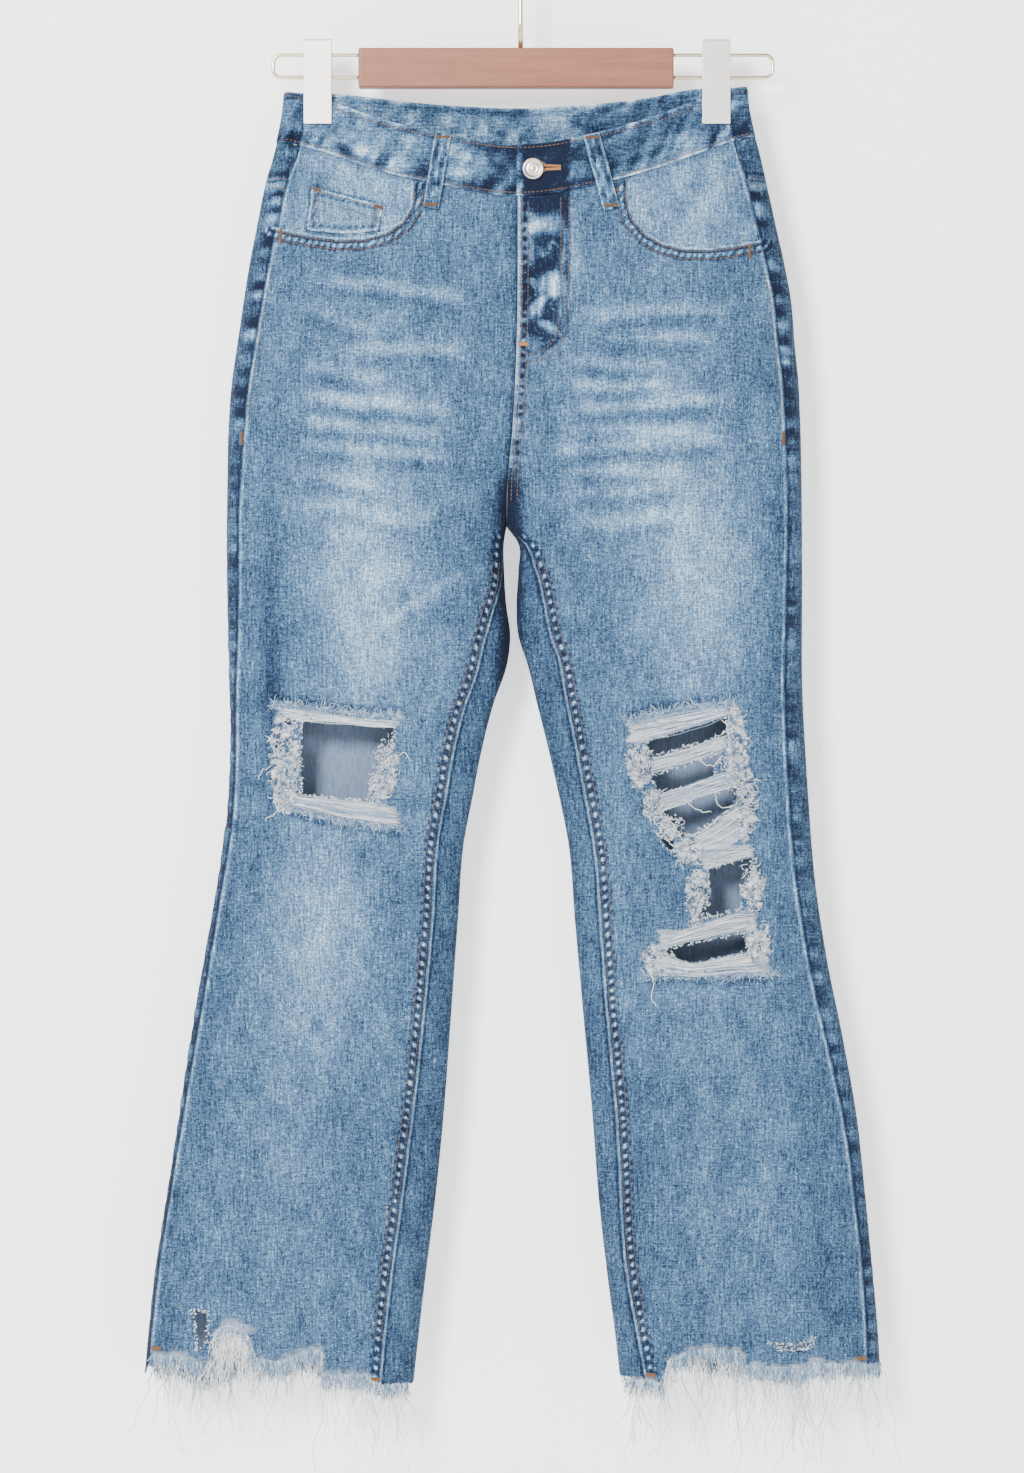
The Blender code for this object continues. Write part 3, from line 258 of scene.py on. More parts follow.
def _whiskers() -> tuple[Crease, ...]:
    """Worn streaks over both thighs, each a low ridge with a shallow trough below."""
    lines = (
        (-156, 295, -38, 312, 3.6, 0.9), (-172, 316, -114, 336, 3.4, 0.7), (-128, 350, -44, 352, 4.2, 1.0),
        (-163, 363, -107, 374, 3.6, 0.8), (-168, 386, -53, 398, 4.6, 1.2), (-172, 404, -62, 415, 3.8, 0.9),
        (-172, 422, -53, 433, 4.0, 0.8), (-170, 445, -107, 459, 4.0, 0.7), (-168, 470, -75, 486, 5.0, 0.6),
        (54, 324, 165, 318, 3.8, 0.9), (60, 340, 150, 342, 3.2, 0.6), (45, 360, 114, 362, 3.6, 0.7),
        (45, 381, 114, 377, 4.2, 1.0), (36, 399, 165, 388, 4.4, 1.1), (31, 413, 148, 413, 4.4, 0.9),
        (27, 430, 165, 420, 4.6, 1.0), (36, 446, 130, 445, 4.4, 0.8), (36, 466, 130, 454, 4.2, 0.7),
        (44, 490, 140, 478, 5.2, 0.6),
    )
    made = []
    for x1, d1, x2, d2, width, height in lines:
        ridge = (width * 1.5, height * 0.6, height * 0.17)
        trough = (width * 1.3, -height * 0.45, -height * 0.10)
        made.append(Crease(Face.FRONT, x1 - 8, d1 - 1, x2 + 8, d2 + 1, *ridge))
        made.append(Crease(Face.FRONT, x1 + 2, d1 + 9, x2 - 2, d2 + 9, *trough))
    return tuple(made)


# x1, drop1, x2, drop2, half width, height and fade of each face's other creases
OTHER_CREASES = {
    Face.FRONT: (
        (-116, 573, -38, 522, 3.6, 0.9, 0.13), (-122, 566, -70, 520, 7.0, -0.7),
        (-70, 620, -30, 560, 6.0, 0.7, 0.05), (22, 500, 44, 560, 6.0, 0.7, 0.04),
        (70, 545, 28, 505, 7.0, -0.7), (-24, 455, -86, 488, 7.0, 0.9, 0.03),
        (8, 458, 60, 486, 7.0, 0.9, 0.03), (-156, 178, -107, 199, 3.2, 1.1, 0.12),
        (-150, 186, -112, 206, 3.6, -1.0, -0.05), (-166, 190, -120, 216, 5.0, 0.8, 0.04),
        (148, 172, 66, 207, 3.2, 1.2, 0.14), (150, 182, 92, 212, 3.6, -1.0, -0.05),
        (160, 190, 118, 222, 5.0, 0.8, 0.04), (-60, 196, -20, 204, 4.0, 0.5, 0.05),
        (-190, 600, -120, 618, 9.0, 0.8), (-60, 712, -130, 730, 10.0, 0.9, 0.02),
        (-200, 740, -120, 752, 10.0, -0.9), (60, 860, 160, 848, 10.0, 0.9),
        (66, 884, 180, 872, 11.0, -0.8), (-180, 760, -196, 1100, 9.0, 0.9),
        (-132, 780, -140, 1120, 8.0, -0.8), (-100, 820, -96, 1100, 7.0, 0.6),
        (92, 900, 100, 1120, 8.0, -0.8), (142, 880, 156, 1120, 8.0, 0.9),
        (214, 860, 244, 1120, 9.0, -0.8),
    ),
    Face.BACK: (
        (-170, 448, -52, 470, 6.0, 1.0, 0.06), (-176, 500, -60, 506, 7.0, -1.0),
        (58, 468, 168, 446, 6.0, 1.0, 0.06), (60, 508, 170, 496, 7.0, -1.0),
        (-180, 660, -70, 690, 5.0, 1.0, 0.09), (-188, 690, -84, 676, 5.0, 0.9, 0.07),
        (-176, 716, -66, 730, 5.0, 0.9, 0.08), (70, 688, 186, 662, 5.0, 1.0, 0.09),
        (78, 676, 176, 700, 5.0, 0.9, 0.07), (72, 732, 180, 714, 5.0, 0.9, 0.08),
        (-190, 780, -206, 1110, 9.0, 0.9), (-110, 800, -112, 1110, 9.0, -0.9),
        (160, 800, 176, 1110, 9.0, 0.9), (104, 820, 110, 1110, 9.0, -0.8),
    ),
}
CREASES = (*_whiskers(), *(Crease(face, *row) for face, rows in OTHER_CREASES.items() for row in rows))


@dataclass(frozen=True)
class Worn:
    """Broad patch where worn dye is paler (+), or where painted shade makes the cloth deeper (-)."""

    face: Face
    x: float
    drop: float
    wide: float
    tall: float
    amount: float


# x, drop, half width, half height and amount of each face's patches; paler (+) rows are worn dye, deeper (-)
# rows are painted shade along folds and down the crotch
WEAR_AND_SHADE_PATCHES = {
    Face.FRONT: (
        (-108, 390, 66, 130, 0.10), (108, 390, 66, 130, 0.10), (-117, 545, 40, 92, 0.30),
        (138, 530, 46, 88, 0.26), (-152, 795, 40, 80, 0.25), (150, 640, 44, 60, 0.06),
        (72, 760, 18, 60, 0.08), (140, 860, 40, 50, 0.08), (-192, 590, 9, 95, -0.20),
        (-185, 1010, 70, 130, 0.045), (185, 1030, 70, 130, 0.02), (-156, 850, 34, 70, 0.05),
        (206, 560, 15, 120, -0.05), (0, 430, 30, 80, -0.05), (-40, 560, 26, 70, -0.03),
    ),
    Face.BACK: (
        (-105, 400, 70, 120, 0.16), (105, 400, 70, 120, 0.16), (-120, 620, 60, 110, 0.08),
        (120, 620, 60, 110, 0.08), (-140, 860, 60, 150, 0.06), (140, 860, 60, 150, 0.06),
    ),
}
WEAR_AND_SHADE = tuple(Worn(face, *row) for face, rows in WEAR_AND_SHADE_PATCHES.items() for row in rows)


# Upper and lower frayed line of each leg's rips, as (x, drop), beside which painted shadow runs
RIP_EDGES = {
    Side.RIGHT: (((-192, 627), (-150, 631), (-120, 635), (-88, 637)), ((-184, 706), (-137, 718),
                 (-90, 723))),
    Side.LEFT: (((84, 640), (125, 631), (168, 625)), ((100, 838), (150, 839), (203, 836))),
}
# Single threads that have sprung out of the rips, as (x, drop)
LOOSE_THREADS = {
    Side.RIGHT: (((-176, 668), (-188, 672), (-199, 678), (-203, 685)), ((-178, 706), (-190, 712),
                 (-197, 717)),
                 ((-96, 668), (-88, 664), (-84, 670))),
    Side.LEFT: (((107, 704), (113, 714), (120, 720), (127, 731)), ((128, 700), (136, 707), (144, 711),
                (151, 711)),
                ((153, 694), (155, 703), (160, 708), (171, 705)), ((135, 730), (147, 724), (158, 716),
                 (177, 706)),
                ((139, 668), (146, 674), (152, 675), (160, 667)), ((104, 838), (106, 848), (104, 855),
                 (108, 863)),
                ((100, 712), (110, 722), (116, 734), (128, 742)), ((180, 812), (190, 806), (197, 812),
                 (192, 820))),
}


class Bleach(NamedTuple):
    """Bleached spot on the fly: distance from the centre front, drop, sizes, tilt and strength."""

    away: float
    drop: float
    wide: float
    tall: float
    tilt: float
    amount: float


FLY_BLEACH = (
    Bleach(13, 255, 10, 9, 0.0, 0.62), Bleach(27, 252, 8, 8, 0.0, 0.50), Bleach(9, 270, 5, 14, 0.0, 0.40),
    Bleach(28, 300, 11, 9, 0.0, 0.60), Bleach(14, 318, 4.5, 17, 0.55, 0.62),
    Bleach(24, 333, 10, 3.6, 0.5, 0.50),
    Bleach(36, 318, 5, 16, 0.0, 0.42), Bleach(9, 345, 6, 6, 0.0, 0.40), Bleach(36, 275, 3.5, 20, 0.0, 0.38),
)


# ---------------------------------------------------------------- curves


class Track:
    """Smooth curve through a table's columns, read at one place or many."""

    def __init__(self, rows: Sequence[Sequence[float]]) -> None:
        """Args: rows: one row for each knot, the knot first."""
        table = np.asarray(rows, float)
        self.knots = table[:, 0]
        self.values = table[:, 1:]
        self.slopes = np.stack([np.gradient(column, self.knots) for column in self.values.T], axis=1)

    def __call__(self, column: int, at: Array | float) -> Array:
        """Value of one column.

        Args:
            column: number of the column after the knots.
            at: places to read.
        Returns:
            The values, shaped like at.
        """
        at = np.clip(np.asarray(at, float), self.knots[0], self.knots[-1])
        cell = np.clip(np.searchsorted(self.knots, at) - 1, 0, len(self.knots) - 2)
        span = self.knots[cell + 1] - self.knots[cell]
        t = (at - self.knots[cell]) / span
        low, high = self.values[cell, column], self.values[cell + 1, column]
        rise, fall = self.slopes[cell, column], self.slopes[cell + 1, column]
        return ((2 * t**3 - 3 * t**2 + 1) * low + (t**3 - 2 * t**2 + t) * span * rise
                + (3 * t**2 - 2 * t**3) * high + (t**3 - t**2) * span * fall)


def smooth_step(value: Array | float) -> Array:
    """Eased 0 to 1."""
    value = np.clip(value, 0.0, 1.0)
    return value * value * (3 - 2 * value)


def hump(away: Array, width: float) -> Array:
    """Bell curve that is 1 where away is 0."""
    return np.exp(-(away / width) ** 2)


def hashed(*values: Array | float) -> Array:
    """Repeatable uneven numbers from 0 to 1, one for each place."""
    total = np.zeros(np.broadcast(*values).shape)
    for number, value in enumerate(values):
        total = total + np.asarray(value, float) * (12.9898 + 65.233 * number)
    return np.mod(np.sin(total) * 43758.5453, 1.0)


def lumpy(x: Array | float, y: Array | float, seed: float = 0.0) -> Array:
    """Soft value noise from -1 to 1 on a grid of one unit."""
    x, y = np.broadcast_arrays(np.asarray(x, float), np.asarray(y, float))
    left, low = np.floor(x), np.floor(y)
    s, t = smooth_step(x - left), smooth_step(y - low)
    corners = [hashed(left + i, low + j, seed) for i, j in ((0, 0), (1, 0), (0, 1), (1, 1))]
    top = corners[0] * (1 - s) + corners[1] * s
    bottom = corners[2] * (1 - s) + corners[3] * s
    return (top * (1 - t) + bottom * t) * 2 - 1


def distance_to_line(x: Array, drop: Array, line: Sequence[float]) -> tuple[Array, Array]:
    """Distance to a segment and the share along it.

    Args:
        x: places across.
        drop: places down.
        line: x1, drop1, x2, drop2.
    Returns:
        Distance in millimetres and share from 0 to 1.
    """
    x1, drop1, x2, drop2 = line
    dx, dz = x2 - x1, drop2 - drop1
    held = np.clip(((x - x1) * dx + (drop - drop1) * dz) / (dx * dx + dz * dz), 0.0, 1.0)
    return np.hypot(x - x1 - held * dx, drop - drop1 - held * dz), held


def mouth_distance(side: Side, x: Array, drop: Array) -> Array:
    """Distance to the edge of the pocket mouth."""
    away = np.full(x.shape, 1e3)
    mouth = POCKET_MOUTHS[side]
    for start, end in zip(mouth, mouth[1:]):
        away = np.minimum(away, distance_to_line(x, drop, (*start, *end))[0])
    return away


def read_line(line: Sequence[Sequence[float]], at: Array, **beyond: float) -> Array:
    """Second number of a line of places, read by the first one."""
    places = np.asarray(line, float)
    return np.interp(at, places[:, 0], places[:, 1], **beyond)


def along_places(line: Sequence[Sequence[float]], share: Array) -> tuple[Array, Array]:
    """X and drop at shares of a line, counted place by place."""
    places = np.asarray(line, float)
    knots = np.linspace(0, 1, len(places))
    return np.interp(share, knots, places[:, 0]), np.interp(share, knots, places[:, 1])


# ---------------------------------------------------------------- the garment's surface


class Garment:
    """The cloth's surface: each leg is a flat tube read by turn and drop."""

    def __init__(self, size: Sizes) -> None:
        """Args: size: shared sizes."""
        self.size = size
        self.levels = Track(LEVELS)
        self.centre = Track(CENTRE_SEAM)
        self.inner = Track(INNER_EDGES)
        self.insets = Track(SEAM_INSETS)
        self.waist = Track(WAIST_EDGES)

    def outer_edge(self, side: Side, drop: Array | float) -> Array:
        """X of the outer fold."""
        return self.levels(0 if side == Side.RIGHT else 1, drop)

    def inner_edge(self, side: Side, drop: Array | float) -> Array:
        """X of the centre seam above the crotch and of the inner fold below it."""
        below = self.inner(0 if side == Side.RIGHT else 1, drop)
        return np.where(np.asarray(drop) < self.size.crotch, self.centre(0, drop), below)

    def seam_x(self, side: Side, outer: bool, drop: Array | float) -> Array:
        """X of a long seam on the front face.

        Args:
            side: which leg.
            outer: the side seam, or else the inseam and centre seam.
            drop: places to read.
        Returns:
            X in millimetres.
        """
        if outer:
            return self.outer_edge(side, drop) - side * self.insets(0 if side == Side.RIGHT else 3, drop)
        inset = self.insets(1 if side == Side.RIGHT else 2, drop)
        return self.inner_edge(side, drop) + side * np.maximum(inset, 0.0)

    def pinch(self, side: Side, x: Array, drop: Array) -> Array:
        """1 under a clip, fading away from it."""
        size = self.size
        inward = -side * (x - CLIP_X[side])
        flat = size.clip_width / 2 + np.where(inward > 0, 1.0, size.pinch_outer_flat)
        beyond = np.maximum(np.abs(inward) - flat, 0.0)
        reach = np.where(inward > 0, size.pinch_inner_reach, size.pinch_outer_reach)
        low = np.maximum(drop - size.pinch_drop, 0.0) / size.pinch_fade
        return hump(beyond, reach) * np.exp(-low**2)

    def broad_folds(self, face: Face, x: Array, drop: Array) -> Array:
        """Height of the broad folds of one face."""
        total = np.zeros(np.broadcast(x, drop).shape)
        for *line, half_width, height in BROAD_FOLDS[face]:
            total = total + height * hump(distance_to_line(x, drop, line)[0], half_width)
        return total

    def face_point(self, side: Side, face: Face, angle: Array, drop: Array) -> Array:
        """Points of one face.

        Args:
            side: which leg.
            face: front or back.
            angle: 0 at the outer fold to pi at the inner one.
            drop: drops.
        Returns:
            Points in millimetres, the last axis x, y, z.
        """
        size = self.size
        outer = self.outer_edge(side, drop)
        inner = self.inner_edge(side, drop)
        body = np.sin(np.clip((size.crotch - drop) / size.opening_rise, 0.0, 1.0) * pi / 2)
        square = 1 - size.shoulder
        leg_across = (1 - np.cos(angle)) / 2
        leg_depth = (np.sin(angle) + size.shoulder * np.sin(3 * angle)) / square
        body_across = 1 - np.cos(angle / 2)
        body_depth = (np.sin(angle / 2) + size.shoulder * np.sin(1.5 * angle)) / square
        x = outer + (inner - outer) * (leg_across + (body_across - leg_across) * body)
        depth = leg_depth + (body_depth - leg_depth) * body
        full = self.levels(2 if face == Face.FRONT else 3, drop) * depth
        full = full + self.broad_folds(face, x, drop) * np.clip(depth, 0.0, 0.6) / 0.6
        pinched = np.sign(depth) * np.minimum(np.abs(full), size.pinch_half_depth)
        y = full + (pinched - full) * self.pinch(side, x, drop)
        return np.stack([x, -y if face == Face.FRONT else y, -drop], axis=-1)

    def on_face(self, side: Side, face: Face, angle: Array, drop: Array, out: Array) -> Array:
        """Points of a face moved out along its normal."""
        point = self.face_point(side, face, angle, drop)
        across = (self.face_point(side, face, angle + 0.002, drop)
                  - self.face_point(side, face, angle - 0.002, drop))
        down = self.face_point(side, face, angle, drop + 0.5) - self.face_point(side, face, angle, drop - 0.5)
        normal = np.cross(across, down) * (side if face == Face.FRONT else -side)
        normal = normal / np.maximum(np.linalg.norm(normal, axis=-1, keepdims=True), 1e-9)
        return point + normal * out[..., None]

    def skin(self, side: Side, turn: Array | float, drop: Array | float, out: Array | float = 0.0) -> Array:
        """Points of the cloth by turn.

        Args:
            side: which leg.
            turn: 0 outer fold, 0.5 inner fold, 1 outer fold again by the back.
            drop: drops.
            out: distance outward from the solids' outer face.
        Returns:
            Points in millimetres.
        """
        turn, drop, out = np.broadcast_arrays(*(np.asarray(value, float) for value in (turn, drop, out)))
        loop = np.mod(turn, 1.0)
        shape = loop.shape
        loop, drop, out = loop.ravel(), drop.ravel(), out.ravel()
        front = loop < 0.5
        points = np.zeros((loop.size, 3))
        if front.any():
            points[front] = self.on_face(side, Face.FRONT, loop[front] * 2 * pi, drop[front], out[front])
        if (~front).any():
            angle = (1.0 - loop[~front]) * 2 * pi
            points[~front] = self.on_face(side, Face.BACK, angle, drop[~front], out[~front])
        return points.reshape(*shape, 3)

    def turn_at(self, side: Side, x: Array | float, drop: Array | float, face: Face = Face.FRONT) -> Array:
        """Turn at which a face passes a given x."""
        x, drop = np.broadcast_arrays(np.asarray(x, float), np.asarray(drop, float))
        low, high = np.zeros(x.shape), np.full(x.shape, pi)
        for _ in range(24):
            middle = (low + high) / 2
            past = (self.across(side, middle, drop) - x) * side < 0
            high = np.where(past, middle, high)
            low = np.where(past, low, middle)
        turn = (low + high) / (4 * pi)
        return turn if face == Face.FRONT else 1.0 - turn

    def across(self, side: Side, angle: Array, drop: Array) -> Array:
        """X only, the same on both faces."""
        body = np.sin(np.clip((self.size.crotch - drop) / self.size.opening_rise, 0.0, 1.0) * pi / 2)
        share = (1 - np.cos(angle)) / 2
        share = share + (1 - np.cos(angle / 2) - share) * body
        outer = self.outer_edge(side, drop)
        return outer + (self.inner_edge(side, drop) - outer) * share

    def x_of(self, side: Side, turn: Array, drop: Array) -> Array:
        """X of a place by turn."""
        loop = np.mod(turn, 1.0)
        return self.across(side, np.where(loop < 0.5, loop, 1.0 - loop) * 2 * pi, drop)

    def seam_turn(self, side: Side, outer: bool, drop: Array | float, back_off: float = 0.0) -> Array:
        """Turn of a long seam, moved back_off millimetres along the section."""
        drop = np.asarray(drop, float)
        turn = self.turn_at(side, self.seam_x(side, outer, drop), drop)
        step = 0.002
        pace = np.linalg.norm(self.skin(side, turn, drop) - self.skin(side, turn - step, drop), axis=-1) / step
        return turn + back_off / np.maximum(pace, 1.0)

    def waist_top(self, face: Face, x: Array | float) -> Array:
        """Drop of the waistband's top edge."""
        return self.waist(0 if face == Face.FRONT else 1, x)

    def waist_seam(self, side: Side, turn: Array | float) -> Array:
        """Drop of the waistband's lower edge at a turn."""
        turn = np.asarray(turn, float)
        front = np.mod(turn, 1.0) < 0.5
        drop = np.full(turn.shape, 200.0)
        for _ in range(3):
            x = self.x_of(side, turn, drop)
            top = np.where(front, self.waist_top(Face.FRONT, x), self.waist_top(Face.BACK, x))
            drop = top + self.size.waistband
        return drop

    def yoke_seam(self, turn: Array | float) -> Array:
        """Drop of the seam under the back yoke."""
        share = np.clip((1.0 - np.minimum(turn, 1.0)) / 0.5, 0.0, 1.0)
        return self.size.yoke_side + self.size.yoke_dip * share**1.3

    def back_hem(self, side: Side, turn: Array) -> Array:
        """Raw lower edge of the back panel."""
        hem = BACK_HEMS[side]
        drop = hem.mean + 4.5 * np.sin(turn * 31 + hem.phase) + 2.5 * np.sin(turn * 67 + 2 * hem.phase)
        drop = drop + (hem.inseam - drop) * smooth_step((0.56 - turn) / 0.08)
        return drop + (hem.outseam - drop) * smooth_step((turn - 1.0) / 0.05)


class Relief:
    """Fine height of the cloth over the solids' form: creases, roped seams, folded edges."""

    def __init__(self, garment: Garment) -> None:
        """Args: garment: the surface this lies on."""
        self.garment = garment

    def creases(self, face: Face, x: Array, drop: Array) -> tuple[Array, Array]:
        """Height and fade of the listed creases of one face."""
        height, fade = np.zeros(x.shape), np.zeros(x.shape)
        wander = 2.2 * lumpy(x / 26, drop / 60, 3.0) + 1.0 * lumpy(x / 9, drop / 30, 5.0)
        for number, crease in enumerate(CREASES):
            if crease.face != face:
                continue
            upright = abs(crease.drop2 - crease.drop1) > abs(crease.x2 - crease.x1)
            sx, sd = (x + wander, drop) if upright else (x, drop + wander)
            away, along = distance_to_line(sx, sd, (crease.x1, crease.drop1, crease.x2, crease.drop2))
            ends = smooth_step(np.minimum(along, 1 - along) / 0.22 + 0.15)
            uneven = ends * (0.95 + 0.28 * lumpy(x / 17, drop / 17, number * 1.7))
            width = crease.half_width * (0.85 + 0.3 * hashed(np.float64(number), 2.0))
            bell = hump(away, width) * uneven
            height = height + crease.height * bell
            fade = fade + crease.fade * bell
        return height, fade

    def seams(self, side: Side, x: Array, drop: Array) -> Array:
        """Height of the long seams on the front face."""
        garment = self.garment
        outer = (x - garment.seam_x(side, True, drop)) * side
        pucker = 0.5 + 0.5 * self.puckers(side, drop)
        height = 0.85 * hump(outer + 0.7, 1.3)
        height = height + (0.1 + 0.9 * pucker) * hump(outer - 6.5, 4.0)
        inner = self.inseam_distance(side, x, drop)
        below = smooth_step((drop - garment.size.crotch) / 12.0)
        band = smooth_step((inner + 0.2) / 0.9) * smooth_step((10.6 - inner) / 1.2)
        height = height + band * (0.45 + 0.45 * self.roping(inner, drop)) * below
        return height + 0.35 * hump(inner - 10.5, 1.2) * below

    def puckers(self, side: Side, drop: Array) -> Array:
        """Uneven gathers down a side seam, -1 to 1."""
        wave = np.sin(drop * 2 * pi / 18.0 + 4.5 * lumpy(drop / 31, 0.0, 7.0 + side))
        return np.clip(0.55 * wave + 0.95 * lumpy(drop / 7.0, 3.0, 33.0 + side), -1.0, 1.0)

    def roping(self, inner: Array, drop: Array) -> Array:
        """Slanting ropes across the inseam's felled band, 0 to 1."""
        wave = np.sin((drop + 0.5 * inner) * 2 * pi / 7.2 + 1.8 * lumpy(drop / 16, 1.0, 9.0))
        return 0.5 + 0.5 * np.clip(wave * 1.4 + 0.25 * lumpy(drop / 3, inner / 3, 19.0), -1.0, 1.0)

    def inseam_distance(self, side: Side, x: Array, drop: Array) -> Array:
        """Distance from the inseam, growing outward across its felled band on the front."""
        return (x - self.garment.seam_x(side, False, drop)) * side

    def fly(self, side: Side, x: Array, drop: Array) -> Array:
        """Step of the left front over the right one at the centre front."""
        away = (x - self.garment.centre(0, drop))
        gate = smooth_step((self.garment.size.crotch - 22 - drop) / 30)
        if side == Side.RIGHT:
            return -0.25 * gate * hump(away, 4.0)
        waves = 0.35 * lumpy(drop / 13, 4.0, 1.0) * hump(away - 16, 16)
        return gate * (0.75 * np.exp(-np.maximum(away - 3.0, 0.0) / 9.0) + waves)

    def mouths(self, side: Side, x: Array, drop: Array) -> Array:
        """Folded, stitched band along the pocket mouth."""
        away = mouth_distance(side, x, drop)
        ripple = 0.14 * np.sin(x / 3.1 + 2 * lumpy(x / 20, 0.0, 2.0))
        return (0.5 + ripple) * smooth_step((11.5 - away) / 1.6) * smooth_step((drop - 215) / 6)

    def at(self, side: Side, turn: Array, drop: Array) -> tuple[Array, Array]:
        """Height over the solids' form and the creases' fade, by turn.

        Args:
            side: which leg.
            turn: turns.
            drop: drops.
        Returns:
            Height in millimetres and fade.
        """
        garment = self.garment
        loop = np.mod(turn, 1.0)
        front = loop < 0.5
        x = garment.x_of(side, turn, drop)
        height, fade = np.zeros(x.shape), np.zeros(x.shape)
        for face, here in ((Face.FRONT, front), (Face.BACK, ~front)):
            if here.any():
                height[here], fade[here] = self.creases(face, x[here], drop[here])
        near_fold = smooth_step(np.abs(np.mod(loop + 0.25, 0.5) - 0.25) / 0.02)
        height = height * near_fold
        grain = 0.22 * lumpy(x / 13, drop / 17, 11.0) + 0.10 * lumpy(x / 5, drop / 7, 12.0)
        height = height + grain * near_fold
        if front.any():
            height[front] += self.seams(side, x[front], drop[front])
            height[front] += self.fly(side, x[front], drop[front])
            height[front] += self.mouths(side, x[front], drop[front])
        held = garment.pinch(side, x, drop)
        return height * (1 - smooth_step(held * 1.6)), fade


class Wash:
    """How pale the dyed cloth is, place by place, with painted shade at the folds, the crotch and the rips."""

    def __init__(self, garment: Garment, relief: Relief) -> None:
        """Args: garment: the surface; relief: its fine height, whose streaks are paler."""
        self.garment = garment
        self.relief = relief
        self.deepest = -0.22

    def at(self, side: Side, turn: Array, drop: Array) -> Array:
        """Paleness, 0 deep indigo to 1 white, by turn and drop, painted shade included."""
        garment = self.garment
        loop = np.mod(turn, 1.0)
        front = loop < 0.5
        x = garment.x_of(side, turn, drop)
        height, streaks = self.relief.at(side, turn, drop)
        value = np.full(x.shape, 0.41) + streaks
        # paler patches of worn dye, and deeper patches of painted shade
        for worn in WEAR_AND_SHADE:
            here = front if worn.face == Face.FRONT else ~front
            bell = np.exp(-((x - worn.x) / worn.wide) ** 2 - ((drop - worn.drop) / worn.tall) ** 2)
            value = value + worn.amount * bell * here
        if front.any():
            value[front] += self.pocket_marks(side, x[front], drop[front])
        outer = garment.outer_edge(side, drop)
        inner = garment.inner_edge(side, drop)
        # painted shade: darker round the crotch, and a deep dark strip down the centre front into it, where the
        # seam lies in shadow
        value = value - 0.14 * np.exp(-((x + 8) / 13) ** 2 - ((drop - 488) / 30) ** 2)
        value = value - 0.55 * hump(x + 6, 8) * smooth_step((drop - 436) / 26) * front
        # painted shadow: darker strips just above the upper and below the lower frayed edge of each rip
        if front.any():
            for line, toward in zip(RIP_EDGES[side], (-4.0, 4.0)):
                edge = read_line(line, x, left=0.0, right=0.0)
                value = value - 0.20 * hump(drop - edge - toward, 3.6) * front
        # painted shade: darker towards the outer fold, and below the crotch towards the inner fold, where the
        # leg's sides turn away from the light
        value = value - 0.13 * np.exp(-np.abs(x - outer) / 14.0)
        below = smooth_step((drop - garment.size.crotch) / 40)
        value = value - 0.10 * below * np.exp(-np.abs(x - inner) / 16.0)
        value = value + 0.035 * lumpy(x / 40, drop / 60, 21.0) + 0.03 * lumpy(x / 12, drop / 22, 22.0)
        value = value + 0.05 * np.clip(height - 0.4, -1.0, 1.2)
        if front.any():
            value[front] += self.seam_marks(side, x[front], drop[front])
            value[front] += self.fly_marks(side, x[front], drop[front])
        return np.clip(value, self.deepest, 1.0)

    def seam_marks(self, side: Side, x: Array, drop: Array) -> Array:
        """Bright worn line and dark and pale puckers of the long seams."""
        garment = self.garment
        outer = (x - garment.seam_x(side, True, drop)) * side
        value = 0.34 * hump(outer + 0.9, 1.2) * (0.85 + 0.4 * lumpy(drop / 9, 2.0, 31.0))
        value = value - 0.26 * hump(outer - 1.5, 1.1)
        strong = 0.15 + 0.20 * smooth_step((450 - drop) / 60) * smooth_step((drop - 215) / 25)
        reach = smooth_step((outer - 0.8) / 1.6) * np.exp(-(np.maximum(outer - 5.0, 0.0) / 6.0) ** 2)
        value = value + strong * (self.relief.puckers(side, drop) * 1.15 - 0.35) * reach
        inner = self.relief.inseam_distance(side, x, drop)
        below = smooth_step((drop - garment.size.crotch) / 12.0)
        band = smooth_step((inner - 0.8) / 0.8) * smooth_step((10.4 - inner) / 1.0)
        ladder = smooth_step((self.relief.roping(inner, drop) - 0.5) / 0.3)
        rungs = 0.75 * ladder * hump(inner - 5.0, 1.7)
        rungs = rungs + 0.40 * (1 - ladder) * hump(inner - 8.8, 0.9)
        value = value + below * band * (-0.31 + rungs)
        value = value + below * 0.42 * hump(inner + 0.2, 0.9)
        value = value - below * 0.34 * hump(inner + 2.0, 0.9)
        tuck = smooth_step((outer - 1.0) / 1.5)
        value = value + tuck * 0.26 * hump(drop - 220, 5.0)
        return value - tuck * 0.30 * (hump(drop - 212, 1.7) + hump(drop - 228, 1.9))

    def pocket_marks(self, side: Side, x: Array, drop: Array) -> Array:
        """Worn edge of the pocket mouth and the dark puckers between its stitches, with painted shadow round
        the coin pocket.
        """
        away = mouth_distance(side, x, drop)
        line = read_line(sorted(POCKET_MOUTHS[side]), x)
        gate = smooth_step((drop - 214) / 5) * smooth_step((drop - line + 0.8) / 0.8)
        value = 0.40 * hump(away, 1.2)
        wave = np.sin((x + 0.6 * drop) * 2 * pi / 5.6 + 2.0 * lumpy(x / 11, drop / 11, 61.0))
        ladder = np.clip(wave * 1.3, -1, 1)
        value = value - 0.46 * hump(away - 2.8, 1.0)
        value = value + (0.08 + 0.28 * ladder) * hump(away - 5.6, 1.5)
        value = gate * (value - (0.34 - 0.16 * ladder) * hump(away - 8.6, 1.2))
        if side == Side.LEFT:
            return value
        corners = np.array(COIN_POCKET, float)
        away = distance_to_outline(corners, np.stack([x, drop], axis=1))
        within = inside(corners, np.stack([x, drop], axis=1))
        rim = 0.28 * hump(away - 0.7, 1.0) - (0.26 - 0.14 * ladder) * hump(away - 4.3, 1.4)
        # painted shadow: darker on the facing just outside the coin pocket's edge
        return value + np.where(within, rim, -0.30 * hump(away, 1.5))

